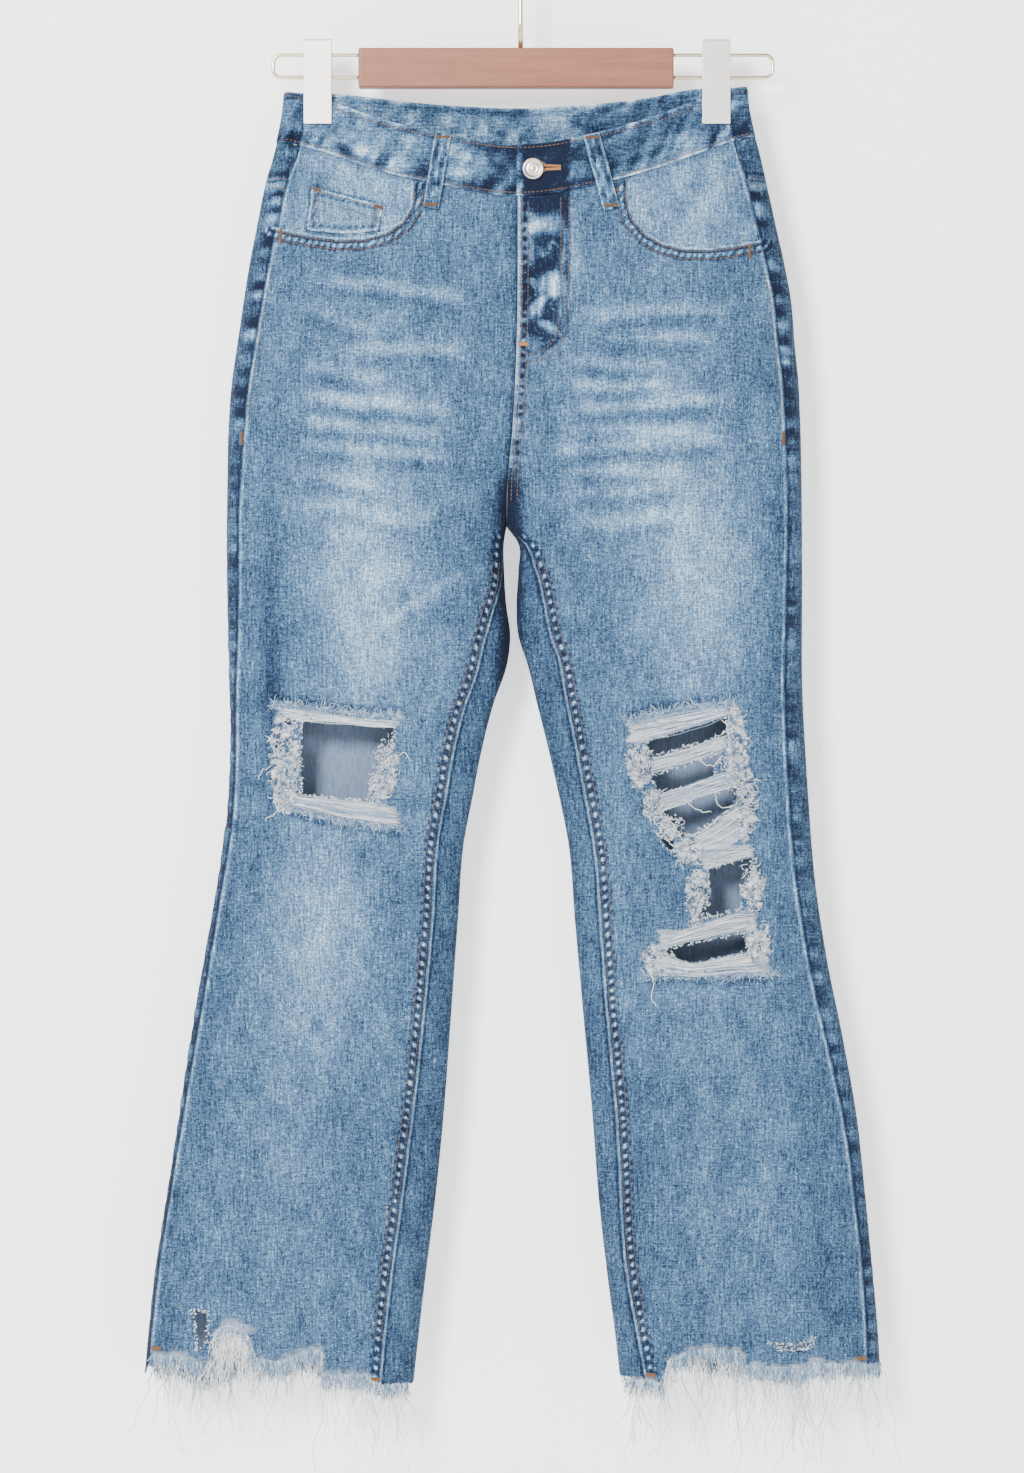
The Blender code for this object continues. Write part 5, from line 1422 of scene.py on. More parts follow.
class Tailor:
    """Cuts and shapes the cloth pieces."""

    def __init__(self, cloth: Cloth, palette: Palette) -> None:
        """Args: cloth: places on the garment; palette: the finishes."""
        self.cloth = cloth
        self.garment = cloth.garment
        self.relief = cloth.relief
        self.wash = cloth.wash
        self.size = cloth.garment.size
        self.palette = palette
        self.fine_step = 1.36

    def finish(self, name: str, side: Side, turns: Array, drops: Array, out: Array | float, wall: float,
               triangles: Array, white: Array | None = None, tone: Array | float = 0.0,
               follow: float = 1.0) -> bpy.types.Object:
        """Shell over matching turns and drops, with the shader's numbers."""
        height, _ = self.relief.at(side, turns, drops)
        height = height * follow
        outer = self.garment.skin(side, turns, drops, height + out)
        inner = self.garment.skin(side, turns, drops, height * 0.9 + np.asarray(out) - wall)
        points, faces = closed_shell(outer, inner, triangles)
        # fade: the wash's paleness, painted shade included
        fade = np.clip(self.wash.at(side, turns, drops) + tone, self.wash.deepest, 1)
        white = np.zeros(len(turns)) if white is None else white
        across = self.garment.x_of(side, turns, drops) + np.where(np.mod(turns, 1.0) < 0.5, 0.0, 700.0)
        inner_fade = np.clip(0.46 + 0.25 * (fade - 0.42), 0, 1)
        values = {
            "fade": np.concatenate([fade, inner_fade]),
            "reverse": np.concatenate([np.zeros(len(turns)), np.ones(len(turns))]),
            "white": np.concatenate([white, white * 0.8]),
            "across": np.concatenate([across, across + 90.0]),
            "along": np.concatenate([drops, drops]),
        }
        return make_object(name, points, faces, self.palette.denim, values)

    def cut(self, name: str, side: Side, outline: Array, holes: Sequence[Array], pitch: float,
            out: float = 0.0, wall: float | None = None,
            white_at: Callable[[Array, Array], Array] | None = None, tone: float = 0.0,
            fine_at: Callable[[Array, Array, Array], Array] | None = None) -> bpy.types.Object:
        """Shell cut to an outline of (turn, drop) with holes.

        Args:
            name: the piece's name.
            side: which leg.
            outline: outer loop.
            holes: inner loops.
            pitch: spacing of the triangles in millimetres.
            out: height of its outer face over the solids' surface.
            wall: thickness.
            white_at: how bare the cloth is by x and drop.
            tone: added to the paleness.
            fine_at: where the spacing is finer, by turn, x and drop.
        Returns:
            The object.
        """
        scale = np.array([self.size.turn_scale, 1.0])
        loops = [np.asarray(loop, float) * scale for loop in [outline, *holes]]
        low, high = loops[0].min(axis=0), loops[0].max(axis=0)
        fills = []
        for spacing in ((pitch, self.fine_step) if fine_at else (pitch,)):
            rows = np.arange(low[1] + spacing * 0.6, high[1], spacing * 0.87)
            cols = np.arange(low[0] + spacing * 0.5, high[0], spacing)
            grid_x, grid_y = np.meshgrid(cols, rows)
            grid_x = grid_x + (np.arange(len(rows)) % 2)[:, None] * spacing * 0.5
            fill = np.stack([grid_x.ravel(), grid_y.ravel()], axis=1)
            if fine_at:
                turns = fill[:, 0] / self.size.turn_scale
                fine = fine_at(turns, self.garment.x_of(side, turns, fill[:, 1]), fill[:, 1])
                fill = fill[fine if spacing < pitch else ~fine]
            keep = inside(loops[0], fill)
            for number, loop in enumerate(loops):
                keep &= distance_to_outline(loop, fill) > spacing * 0.55
                if number:
                    keep &= ~inside(loop, fill)
            fills.append(fill[keep])
        points = np.concatenate([*loops, *fills])
        edges = []
        start = 0
        for loop in loops:
            edges += [(start + i, start + (i + 1) % len(loop)) for i in range(len(loop))]
            start += len(loop)
        flat = delaunay_2d_cdt([Vector(p) for p in points], edges, [], 0, 1e-5)
        verts = np.array([tuple(v) for v in flat[0]])
        faces = np.array([tuple(face) for face in flat[2]])
        centres = verts[faces].mean(axis=1)
        wanted = inside(loops[0], centres)
        for loop in loops[1:]:
            wanted &= ~inside(loop, centres)
        faces = faces[wanted]
        used, faces = np.unique(faces, return_inverse=True)
        faces = faces.reshape(-1, 3)
        turns = verts[used, 0] / self.size.turn_scale
        drops = verts[used, 1]
        x = self.garment.x_of(side, turns, drops)
        white = None if white_at is None else white_at(x, drops) * (np.mod(turns, 1.0) < 0.5)
        return self.finish(name, side, turns, drops, out, self.size.wall if wall is None else wall, faces,
                           white, tone)

    def at_places(self, side: Side, places: Array, face: Face = Face.FRONT) -> Array:
        """(turn, drop) pairs for (x, drop) places."""
        places = np.asarray(places, float)
        return np.stack([self.garment.turn_at(side, places[:, 0], places[:, 1], face), places[:, 1]], axis=1)

    def seam_line(self, side: Side, outer: bool, top: float, bottom: float, back_off: float) -> Array:
        """(turn, drop) pairs down a long seam."""
        drops = np.unique(np.concatenate([np.arange(top, bottom, 3.0), [bottom]]))
        if not outer and top < self.size.crotch < bottom:
            drops = np.unique(np.concatenate([drops, [self.size.crotch]]))
        return np.stack([self.garment.seam_turn(side, outer, drops, back_off), drops], axis=1)

    def front_panel(self, side: Side, frayed: "Distress") -> bpy.types.Object:
        """Front panel with its rips and ragged hem."""
        garment, size = self.garment, self.size
        mouth = POCKET_MOUTHS[side]
        start_turn = float(garment.turn_at(side, mouth[0][0], mouth[0][1] + 4))
        centre_turn = float(garment.seam_turn(side, False, 240.0, -size.seam_gap / 2))
        top_turns = np.linspace(start_turn, centre_turn, 30)
        top = np.stack([top_turns, garment.waist_seam(side, top_turns) + size.waist_gap], axis=1)
        hem = np.array(FRONT_HEMS[side][::-1] if side == Side.RIGHT else FRONT_HEMS[side], float)
        inner = self.seam_line(side, False, top[-1][1] + 3.0, hem[0][1], -size.seam_gap / 2)
        low_edge = ragged(densified(hem, 2.2, closed=False)[1:-1], 0.8, 3.0 + side)
        low_edge[:, 0] = np.clip(low_edge[:, 0], min(hem[0][0], hem[-1][0]) + 1, max(hem[0][0], hem[-1][0]) - 1)
        bottom = self.at_places(side, low_edge)
        outer = self.seam_line(side, True, mouth[-1][1], hem[-1][1], size.seam_gap / 2)
        scoop = self.at_places(side, densified(mouth, 2.5, closed=False)[1:-1])
        outline = np.concatenate([top, inner, bottom[3:-3], outer[::-1], scoop[::-1]])
        holes = [self.at_places(side, ragged(densified(hole, 2.0), 0.6, number * 7.0 + side))
                 for number, hole in enumerate(HOLES[side])]
        return self.cut("front_panel_" + side.word + "_cloth", side, outline, holes, 3.1,
                        white_at=lambda x, drop: frayed.bareness(side, x, drop),
                        fine_at=lambda turn, x, drop: self.fine_front(side, x, drop))

    def fine_front(self, side: Side, x: Array, drop: Array) -> Array:
        """Where the front panel has small forms: seams, fly, pocket mouth and rips."""
        inner = self.relief.inseam_distance(side, x, drop)
        outer = (x - self.garment.seam_x(side, True, drop)) * side
        fine = (inner < 12.0) & (drop > self.size.crotch - 4)
        fine |= outer > -3.0
        if side == Side.LEFT:
            fine |= (x - self.garment.centre(0, drop) < 46) & (drop < 372)
        away = mouth_distance(side, x, drop)
        fine |= away < 11.0
        for left, right, top, bottom in RIP_ZONES[side]:
            fine |= (x > left) & (x < right) & (drop > top) & (drop < bottom)
        return fine

    def fine_back(self, side: Side, turn: Array, x: Array, drop: Array) -> Array:
        """Where the back panel has small forms: beside both long seams on the front face."""
        front = np.mod(turn, 1.0) < 0.5
        outer = (x - self.garment.seam_x(side, True, drop)) * side
        inner = self.relief.inseam_distance(side, x, drop)
        near = (np.abs(outer) < 9.0) | ((np.abs(inner) < 3.5) & (drop > self.size.crotch - 4))
        return front & near

    def back_panel(self, side: Side) -> bpy.types.Object:
        """Back panel from the inseam round the back to the side seam."""
        garment, size = self.garment, self.size
        seam_top = float(garment.yoke_seam(0.5)) + size.seam_gap
        end_top = float(garment.yoke_seam(1.0)) + size.seam_gap
        inner_drops = np.unique(np.concatenate([np.arange(seam_top, 1155.0, 3.0), [size.crotch]]))
        inner_turns = np.where(inner_drops < size.crotch - 1, 0.5 + size.seam_gap / 2 / size.centre_pace,
                               garment.seam_turn(side, False, inner_drops, size.seam_gap / 2))
        inner = np.stack([inner_turns, inner_drops], axis=1)
        outer = self.seam_line(side, True, end_top, BACK_HEMS[side].outseam - 1.0, -size.seam_gap / 2)
        outer[:, 0] += 1.0
        bottom_turns = np.linspace(inner_turns[-1], outer[-1][0], 190)
        low = np.stack([bottom_turns, garment.back_hem(side, bottom_turns)], axis=1)
        low[:, 1] += 0.9 * (hashed(np.arange(len(low), dtype=float), 8.0) * 2 - 1)
        top_turns = np.linspace(0.5, 1.0, 70)[1:]
        top = np.stack([top_turns, garment.yoke_seam(top_turns) + size.seam_gap], axis=1)
        outline = np.concatenate([top, outer, low[1:-1][::-1], inner[::-1]])
        return self.cut("back_panel_" + side.word + "_cloth", side, outline, [], 5.4, tone=-0.02,
                        fine_at=lambda turn, x, drop: self.fine_back(side, turn, x, drop))

    def yoke(self, side: Side) -> bpy.types.Object:
        """Back yoke."""
        garment, size = self.garment, self.size
        end = 1.0 + float(garment.seam_turn(side, True, 205.0, -size.seam_gap / 2))
        turns = np.linspace(0.5 + size.seam_gap / 2 / size.centre_pace, end, 80)
        upper = garment.waist_seam(side, turns) + size.waist_gap
        lower = garment.yoke_seam(turns)
        drops = upper + (lower - upper) * np.linspace(0, 1, 14)[:, None]
        name = "yoke_" + side.word + "_cloth"
        return self.finish(name, side, np.tile(turns, 14), drops.ravel(), 0.0, size.wall,
                           grid_triangles(14, 80), tone=-0.02)

    def facing(self, side: Side) -> bpy.types.Object:
        """Hip piece behind the pocket mouth."""
        garment, size = self.garment, self.size
        inner = float(garment.turn_at(side, side * size.facing_inner, 250.0))
        outer = float(garment.seam_turn(side, True, 240.0, size.seam_gap))
        shares = np.linspace(0, 1, 70)
        turns = outer + (inner - outer) * shares
        upper = garment.waist_seam(side, turns) + size.waist_gap
        drops = upper + (size.facing_bottom - upper) * np.linspace(0, 1, 46)[:, None]
        edges = garment.seam_turn(side, True, drops[:, 0], size.seam_gap)
        grid = turns[None, :] + (edges - outer)[:, None] * (1 - shares[None, :]) ** 2
        x = garment.x_of(side, grid, drops)
        mouth = POCKET_MOUTHS[side]
        beside = smooth_step((np.abs(x) - abs(mouth[0][0]) - 2.0) / 4.0)
        open_side = beside * smooth_step((mouth[-1][1] - drops) / 8.0)
        near = np.maximum(smooth_step((upper + 7.0 - drops) / 6.0),
                          smooth_step((np.abs(x) - np.abs(garment.seam_x(side, True, drops)) + 7.0) / 6.0))
        out = -size.wall - 0.45 + (size.wall + 0.35) * open_side * near
        # painted shade: 0.10 darker near the waistband and the side seam, where the facing lies under the parts
        # over it
        bright = 0.15 + 0.10 * lumpy(x / 14, drops / 20, 71.0) - 0.10 * near
        return self.finish("pocket_facing_" + side.word + "_cloth", side, grid.ravel(), drops.ravel(),
                           out.ravel(), size.wall, grid_triangles(46, 70), tone=bright.ravel(), follow=0.6)

    def coin_pocket(self) -> bpy.types.Object:
        """Small patch pocket on the right facing."""
        outline = self.at_places(Side.RIGHT, densified(COIN_POCKET, 1.4))
        return self.cut("coin_pocket_cloth", Side.RIGHT, outline, [], 1.2, -0.35, 0.9, tone=0.16)

    def back_pocket(self, side: Side) -> bpy.types.Object:
        """Five-sided patch pocket."""
        places = densified([(side * x, drop) for x, drop in BACK_POCKET], 3.0)
        outline = self.at_places(side, places, Face.BACK)
        return self.cut("back_pocket_" + side.word + "_cloth", side, outline, [], 3.2,
                        self.size.lay_gap + 1.4, self.size.wall, tone=0.03)

    def waistband(self) -> bpy.types.Object:
        """The waistband, one open ring whose upper end lies on its lower end."""
        garment, size = self.garment, self.size
        under = size.band_proud - size.band_wall - size.seam_gap
        runs: list[tuple[Side, float, float]] = []
        for x in np.linspace(size.underlap, 2.0, 10):
            runs.append((Side.LEFT, float(garment.turn_at(Side.LEFT, x, 210.0)), under))
        for turn in np.linspace(0.4995, 0.0, 112):
            tucked = float(smooth_step((turn - 0.43) / 0.05))
            runs.append((Side.RIGHT, float(turn), size.band_proud + (under - size.band_proud) * tucked))
        runs += [(Side.RIGHT, float(turn), size.band_proud) for turn in np.linspace(0.998, 0.5, 90)]
        runs += [(Side.LEFT, float(turn), size.band_proud) for turn in np.linspace(0.502, 1.0, 90)]
        runs += [(Side.LEFT, float(turn), size.band_proud) for turn in np.linspace(0.002, 0.4999, 112)]
        runs.append((Side.RIGHT, float(garment.turn_at(Side.RIGHT, size.overlap_end, 210.0)), size.band_proud))
        sides = np.array([run[0] for run in runs])
        turns = np.array([run[1] for run in runs])
        outs = np.array([run[2] for run in runs])
        shares = np.concatenate([[0.0, 0.02, 0.06], np.linspace(0.09, 0.91, 22), [0.94, 0.98, 1.0]])
        rounded = 0.75 * np.concatenate([[1.0, 0.35, 0.05], np.zeros(22), [0.05, 0.35, 1.0]])
        rows, columns = len(shares), len(runs)
        outer, inner, fade, across = (np.zeros((rows, columns, 3)), np.zeros((rows, columns, 3)),
                                      np.zeros((rows, columns)), np.zeros((rows, columns)))
        drops = np.zeros((rows, columns))
        for side in Side:
            here = sides == side
            seam = garment.waist_seam(side, turns[here])
            drop = seam - size.waistband * (1.0 - shares[:, None])
            turn = np.broadcast_to(turns[here], drop.shape)
            height, _ = self.relief.at(side, turn.ravel(), drop.ravel())
            height = height.reshape(drop.shape) * np.where(outs[here] < 0, 0.4, 1.0)
            held = garment.pinch(side, garment.x_of(side, turn, drop), drop)
            wave = 0.3 * lumpy(turn * 60, shares[:, None] * 3, 5.0 + side) * (1 - smooth_step(held * 1.6))
            soft = rounded[:, None] + np.zeros(drop.shape)
            outer[:, here] = garment.skin(side, turn, drop, outs[here] + height + wave - soft)
            inner[:, here] = garment.skin(side, turn, drop, outs[here] + height * 0.9 - size.band_wall + soft)
            value = self.wash.at(side, turn.ravel(), drop.ravel()).reshape(drop.shape)
            x = garment.x_of(side, turn, drop)
            depth = shares[:, None] * size.waistband
            edge = hump(depth, 1.6) + hump(size.waistband - depth, 1.2)
            wander = lumpy(x / 16, depth / 12, 2.0 + side)
            patches = 0.30 * lumpy(x / 19 + wander, depth / 13 + 0.3 * wander, 3.0 + side)
            low = smooth_step((depth - 20) / 12)
            ripple = (0.14 + 0.20 * low) * lumpy((x + 0.5 * depth) / 4.6, depth / 16, 4.0 + side)
            rows_at = hump(depth - 4.6, 1.4) + hump(depth - 35.2, 1.6)
            middle = 0.26 * np.exp(-((x - 12) / 44) ** 4) * (turn < 0.5)
            fade[:, here] = value + 0.02 + patches + ripple + 0.26 * edge - 0.10 * rows_at - middle
            across[:, here] = garment.x_of(side, turn, drop) + np.where(turn < 0.5, 0.0, 700.0)
            drops[:, here] = drop
        points, faces = closed_shell(outer.reshape(-1, 3), inner.reshape(-1, 3), grid_triangles(rows, columns))
        fade = np.clip(fade.ravel(), self.wash.deepest, 1)
        flat = np.zeros(fade.size)
        return make_object("waistband_cloth", points, faces, self.palette.denim, {
            "fade": np.concatenate([fade, np.clip(fade + 0.02, 0, 1)]), "white": np.concatenate([flat, flat]),
            "reverse": np.concatenate([flat, flat]),
            "across": np.concatenate([drops.ravel(), drops.ravel()]),
            "along": np.concatenate([across.ravel(), across.ravel() + 90])})

    def belt_loop(self, loop: "BeltLoop") -> bpy.types.Object:
        """Narrow strap over the waistband."""
        size = self.size
        steps, columns = 26, 9
        shares = np.linspace(0, 1, steps)
        middle = loop.x_top + (loop.x_bottom - loop.x_top) * shares
        edges = np.linspace(-0.5, 0.5, columns)
        x = middle[:, None] + edges * size.loop_width
        top = self.garment.waist_top(loop.face, x) + 0.5
        drop = top + loop.length * shares[:, None]
        bow = size.band_proud + size.lay_gap + size.loop_wall + 1.4 * np.sin(pi * shares)[:, None]
        ribs = 0.28 * np.cos(edges * 2 * pi * 2.0) - 0.45 * (np.abs(edges) > 0.45)
        wave = 0.25 * np.sin(shares * 17)[:, None] * np.ones(columns)
        turn = self.garment.turn_at(loop.side, x, drop, loop.face)
        height, _ = self.relief.at(loop.side, turn.ravel(), drop.ravel())
        height = height.reshape(x.shape)
        outer = self.garment.skin(loop.side, turn, drop, bow + height + ribs + wave)
        inner = self.garment.skin(loop.side, turn, drop, bow + height - size.loop_wall + 0.1)
        points, faces = closed_shell(outer.reshape(-1, 3), inner.reshape(-1, 3), grid_triangles(steps, columns))
        ribbed = 0.16 * np.cos(edges * 2 * pi * 2.0)
        spots = 0.30 * lumpy(shares[:, None] * 15, edges * 5, abs(loop.x_top)) * (np.abs(edges) < 0.44)
        fade = np.clip(0.40 + ribbed + spots + 0.2 * (np.abs(edges) > 0.4), 0, 1).ravel()
        flat = np.zeros(fade.size)
        return make_object(loop.name + "_cloth", points, faces, self.palette.denim, {
            "fade": np.concatenate([fade, fade]), "white": np.concatenate([flat, flat]),
            "reverse": np.concatenate([flat, flat]),
            "across": np.concatenate([x.ravel(), x.ravel()]), "along": np.concatenate([drop.ravel()] * 2)})


@dataclass(frozen=True)
class BeltLoop:
    """Where one belt loop is sewn."""

    name: str
    side: Side
    face: Face
    x_top: float
    x_bottom: float
    length: float


BELT_LOOPS = (
    BeltLoop("belt_loop_front_right", Side.RIGHT, Face.FRONT, -58, -68, 60),
    BeltLoop("belt_loop_front_left", Side.LEFT, Face.FRONT, 57, 73, 62),
    BeltLoop("belt_loop_back_right", Side.RIGHT, Face.BACK, -112, -112, 56),
    BeltLoop("belt_loop_back_left", Side.LEFT, Face.BACK, 112, 112, 56),
    BeltLoop("belt_loop_centre_back", Side.RIGHT, Face.BACK, -7, -7, 56),
)


# ---------------------------------------------------------------- torn cloth


@dataclass(frozen=True)
class Band:
    """A bundle of bare weft threads: upper and lower line from left to right, as (x, drop)."""

    upper: tuple[tuple[float, float], ...]
    lower: tuple[tuple[float, float], ...]
    threads: int
    stray: float = 1.0


@dataclass(frozen=True)
class Fluff:
    """A patch of curled short threads."""

    x: float
    drop: float
    wide: float
    tall: float
    threads: int


BANDS = {
    Side.RIGHT: (
        Band(((-190, 629), (-165, 632), (-120, 638), (-93, 640)),
             ((-172, 640), (-135, 641), (-97, 645.5)), 16),
        Band(((-169, 699), (-143, 701), (-117.5, 703), (-96, 708)),
             ((-182, 704), (-137, 715), (-92, 721)), 18),
        Band(((-238, 1118), (-228, 1110), (-212, 1112)),
             ((-238, 1124), (-226, 1121), (-208, 1124)), 4),
    ),
    Side.LEFT: (
        Band(((85, 642), (110, 636), (150, 628), (166, 629)),
             ((99, 656.5), (134, 645), (163.5, 636)), 18),
        Band(((104.5, 669), (134, 660), (163, 650.5)),
             ((103, 681.5), (134, 671), (158.5, 664)), 14),
        Band(((110.5, 696.5), (134, 689.5), (152, 683), (170, 677)),
             ((112, 710.5), (142, 699.5), (173.5, 690)), 14),
        Band(((137, 730.5), (150.5, 722), (170, 708), (176, 711)),
             ((149, 742), (165, 738), (178, 728)), 9, 1.6),
        Band(((142, 744), (163, 738), (184, 736)),
             ((149, 755.5), (183, 745.5)), 9, 1.3),
        Band(((128, 803), (154, 795), (174, 788), (187, 789)),
             ((109, 819.5), (122.5, 815), (150, 809), (176.5, 804)), 15),
        Band(((117, 824), (137.5, 829.5), (157.5, 824.5), (180, 820)),
             ((106, 836), (140, 838), (196, 836)), 14),
    ),
}
FLUFFS = {
    Side.RIGHT: (
        Fluff(-182, 668, 11, 34, 270), Fluff(-103, 676, 9, 24, 162), Fluff(-108, 694, 7, 12, 68),
        Fluff(-180, 700, 10, 12, 81),
    ),
    Side.LEFT: (
        Fluff(94, 673, 9, 20, 148), Fluff(106, 705, 9, 12, 108), Fluff(170, 662, 9, 34, 230),
        Fluff(178, 706, 8, 26, 189), Fluff(140, 776, 9, 24, 176), Fluff(184, 768, 8, 20, 122),
        Fluff(110, 826, 12, 12, 122), Fluff(188, 812, 10, 16, 122), Fluff(132, 741, 11, 10, 94),
        Fluff(120, 722, 9, 10, 81),
    ),
}


# left, right, top and bottom of the torn zones, where the cloth's mesh is finer
RIP_ZONES = {
    Side.RIGHT: ((-200, -84, 622, 724),),
    Side.LEFT: ((80, 186, 624, 712), (98, 196, 712, 780), (98, 208, 780, 842)),
}


class Distress:
    """Bare threads, fluff and frayed edges of the rips and hems."""

    def __init__(self, cloth: Cloth) -> None:
        """Args: cloth: places on the garment."""
        self.cloth = cloth
        self.random = np.random.default_rng(11)

    def bareness(self, side: Side, x: Array, drop: Array) -> Array:
        """1 where the dyed warp is gone and only pale weft is left."""
        value = np.zeros(x.shape)
        for band in BANDS[side]:
            upper = read_line(band.upper, x)
            lower = read_line(band.lower, x)
            left = min(band.upper[0][0], band.lower[0][0])
            right = max(band.upper[-1][0], band.lower[-1][0])
            within = smooth_step((drop - upper + 0.8) / 1.6) * smooth_step((lower + 0.8 - drop) / 1.6)
            ends = 2.5 * lumpy(drop / 2.5, 0.0, 53.0)
            sides = smooth_step((x - left + ends) / 3) * smooth_step((right + ends - x) / 3)
            value = np.maximum(value, within * sides * (0.40 + 0.3 * lumpy(x / 30, drop / 1.5, 54.0)))
        uneven = 0.55 * lumpy(x / 4, drop / 4, 51.0)
        pits = 0.35 + 1.0 * lumpy(x / 3.0, drop / 3.0, 55.0)
        for fluff in FLUFFS[side]:
            reach = ((x - fluff.x) / fluff.wide) ** 2 + ((drop - fluff.drop) / fluff.tall) ** 2
            value = np.maximum(value, smooth_step((1.05 + uneven - reach) / 0.4) * pits)
        hem = FRONT_HEMS[side]
        edge = read_line(hem, x)
        reach = 3.0 + 3.0 * lumpy(x / 5, 0.0, 52.0)
        value = np.maximum(value, 0.35 * smooth_step((drop - edge + reach) / 4.0))
        return np.clip(value, 0.0, 1.0)

    def bands(self, side: Side, batch: ThreadBatch) -> None:
        """Taut and slack weft threads across the rips."""
        steps = 14
        t = np.linspace(0, 1, steps)
        for band in BANDS[side]:
            count = band.threads
            share = (np.arange(count) + self.random.random(count) * 0.8) / count
            upper_x, upper_d = along_places(band.upper, t)
            lower_x, lower_d = along_places(band.lower, t)
            x = upper_x + (lower_x - upper_x) * share[:, None] + self.random.normal(0, 1.2, (count, 1))
            drop = upper_d + (lower_d - upper_d) * share[:, None]
            phase = self.random.random((count, 2)) * 2 * pi
            wave = np.sin(t * 7 + phase[:, :1]) * 0.5 + np.sin(t * 17 + phase[:, 1:]) * 0.25
            sag = self.random.random((count, 1)) ** 4 * 5.0 * band.stray * np.sin(pi * t)
            drop = drop + wave * band.stray + sag
            out = 0.25 + 1.0 * self.random.random((count, 1)) + 0.35 * np.sin(t * 11 + phase[:, :1])
            paths = self.cloth.place(side, x, drop, out)
            radii = (0.24 + 0.17 * self.random.random((count, 1))) * np.ones(steps)
            batch.add(paths, radii, 0.97 - 0.45 * self.random.random(count) ** 3)
        for line in LOOSE_THREADS[side]:
            flat = resample(np.array(line, float), 2.2)
            flat = flat + self.random.normal(0, 0.5, flat.shape)
            paths = self.cloth.place(side, flat[:, 0], flat[:, 1], 0.9 + 0.8 * self.random.random(len(flat)))
            batch.add(paths[None], np.full((1, len(flat)), 0.42), 0.95)

    def fluff(self, side: Side, batch: ThreadBatch) -> None:
        """Curled threads standing out of the cloth."""
        steps = 7
        t = np.linspace(0, 1, steps)
        for fluff in FLUFFS[side]:
            count = fluff.threads
            radius = np.sqrt(self.random.random(count))
            angle = self.random.random(count) * 2 * pi
            x0 = fluff.x + fluff.wide * radius * np.cos(angle)
            d0 = fluff.drop + fluff.tall * radius * np.sin(angle)
            heading = self.random.normal(0, 1.3, count) + pi / 2
            curl = self.random.normal(0, 6.0, count)
            length = 3.5 + 5.0 * self.random.random(count)
            bearing = heading[:, None] + curl[:, None] * t
            dx = np.cumsum(np.cos(bearing), axis=1) * (length / steps)[:, None]
            dd = np.cumsum(np.sin(bearing), axis=1) * (length / steps)[:, None]
            out = -0.2 + (1.0 + 3.2 * self.random.random((count, 1))) * np.sin(pi * t * 0.85)
            paths = self.cloth.place(side, x0[:, None] + dx, d0[:, None] + dd, out)
            radii = (0.28 + 0.22 * self.random.random((count, 1))) * (1 - 0.4 * t)
            batch.add(paths, radii, 0.98 - 0.75 * self.random.random(count) ** 3)

    def frayed_edge(self, side: Side, line: Array, batch: ThreadBatch, density: float, length: float,
                    direction: float, face: Face = Face.FRONT, tone: float = 0.35,
                    spread: float = 0.35) -> None:
        """Short warp ends standing out of a torn edge.

        Args:
            side: which leg.
            line: the edge as (x, drop) places.
            batch: where the threads go.
            density: threads for each millimetre.
            length: usual length.
            direction: +1 to hang down, -1 to stand up.
            face: front or back.
            tone: 0 blue to 1 white.
            spread: how far the ends lean and curl.
        """
        steps = 5
        t = np.linspace(0, 1, steps)
        long = np.linalg.norm(np.diff(line, axis=0), axis=1).sum()
        count = int(long * density)
        at = self.random.random(count) * (len(line) - 1)
        x0 = np.interp(at, np.arange(len(line)), line[:, 0])
        d0 = np.interp(at, np.arange(len(line)), line[:, 1])
        size = length * (0.4 + 0.8 * self.random.random(count) ** 1.5)
        lean = spread * self.random.normal(0, 1.0, count)
        bend = spread * 2.0 * self.random.normal(0, 1.0, count)
        bearing = lean[:, None] + bend[:, None] * t
        dx = np.cumsum(np.sin(bearing), axis=1) * (size / steps)[:, None]
        dd = np.cumsum(np.cos(bearing), axis=1) * (size / steps)[:, None] * direction
        out = -0.4 + (0.7 + 1.2 * self.random.random((count, 1))) * t
        paths = self.cloth.place(side, x0[:, None] + dx, d0[:, None] + dd - direction * 1.5, out, face)
        radii = (0.36 + 0.20 * self.random.random((count, 1))) * (1 - 0.35 * t)
        batch.add(paths, radii, tone + 0.5 * (self.random.random(count) - 0.5))

    def hanging(self, side: Side, x_range: tuple[float, float], edge: Callable[[Array], Array],
                batch: ThreadBatch, count: int, length: float, longest: float, face: Face,
                tone: float = 0.85) -> None:
        """Loose threads hanging from a raw hem.

        Args:
            side: which leg.
            x_range: stretch of the hem.
            edge: drop of the raw edge by x.
            batch: where the threads go.
            count: how many.
            length: usual length.
            longest: the longest one's length.
            face: front or back.
            tone: 0 blue to 1 white.
        """
        steps = 9
        t = np.linspace(0, 1, steps)
        lock = np.floor(self.random.random(count) * 4) / 4 + 0.12
        spot = np.where(self.random.random(count) < 0.75, lock + self.random.normal(0, 0.03, count),
                        self.random.random(count))
        x0 = x_range[0] + (x_range[1] - x_range[0]) * np.clip(spot, 0.0, 1.0)
        d0 = edge(x0) - 1.0
        size = length * (0.3 + 1.3 * self.random.random(count) ** 2)
        long = self.random.random(count) < 0.16
        size[long] = longest * (0.45 + 0.55 * self.random.random(int(long.sum())))
        size = np.minimum(size, longest)
        sway = self.random.normal(0, 0.16, (count, 1)) + 0.5 * self.random.normal(0, 0.5, (count, 1)) * t
        curl = 0.35 * np.sin(t * (6 + 10 * self.random.random((count, 1))) + 6 * self.random.random((count, 1)))
        dx = np.cumsum(np.sin(sway + curl), axis=1) * (size / steps)[:, None]
        dd = np.cumsum(np.cos(sway), axis=1) * (size / steps)[:, None]
        start = self.cloth.place(side, x0, d0, np.full(count, -0.4), face)
        paths = np.repeat(start[:, None, :], steps, axis=1)
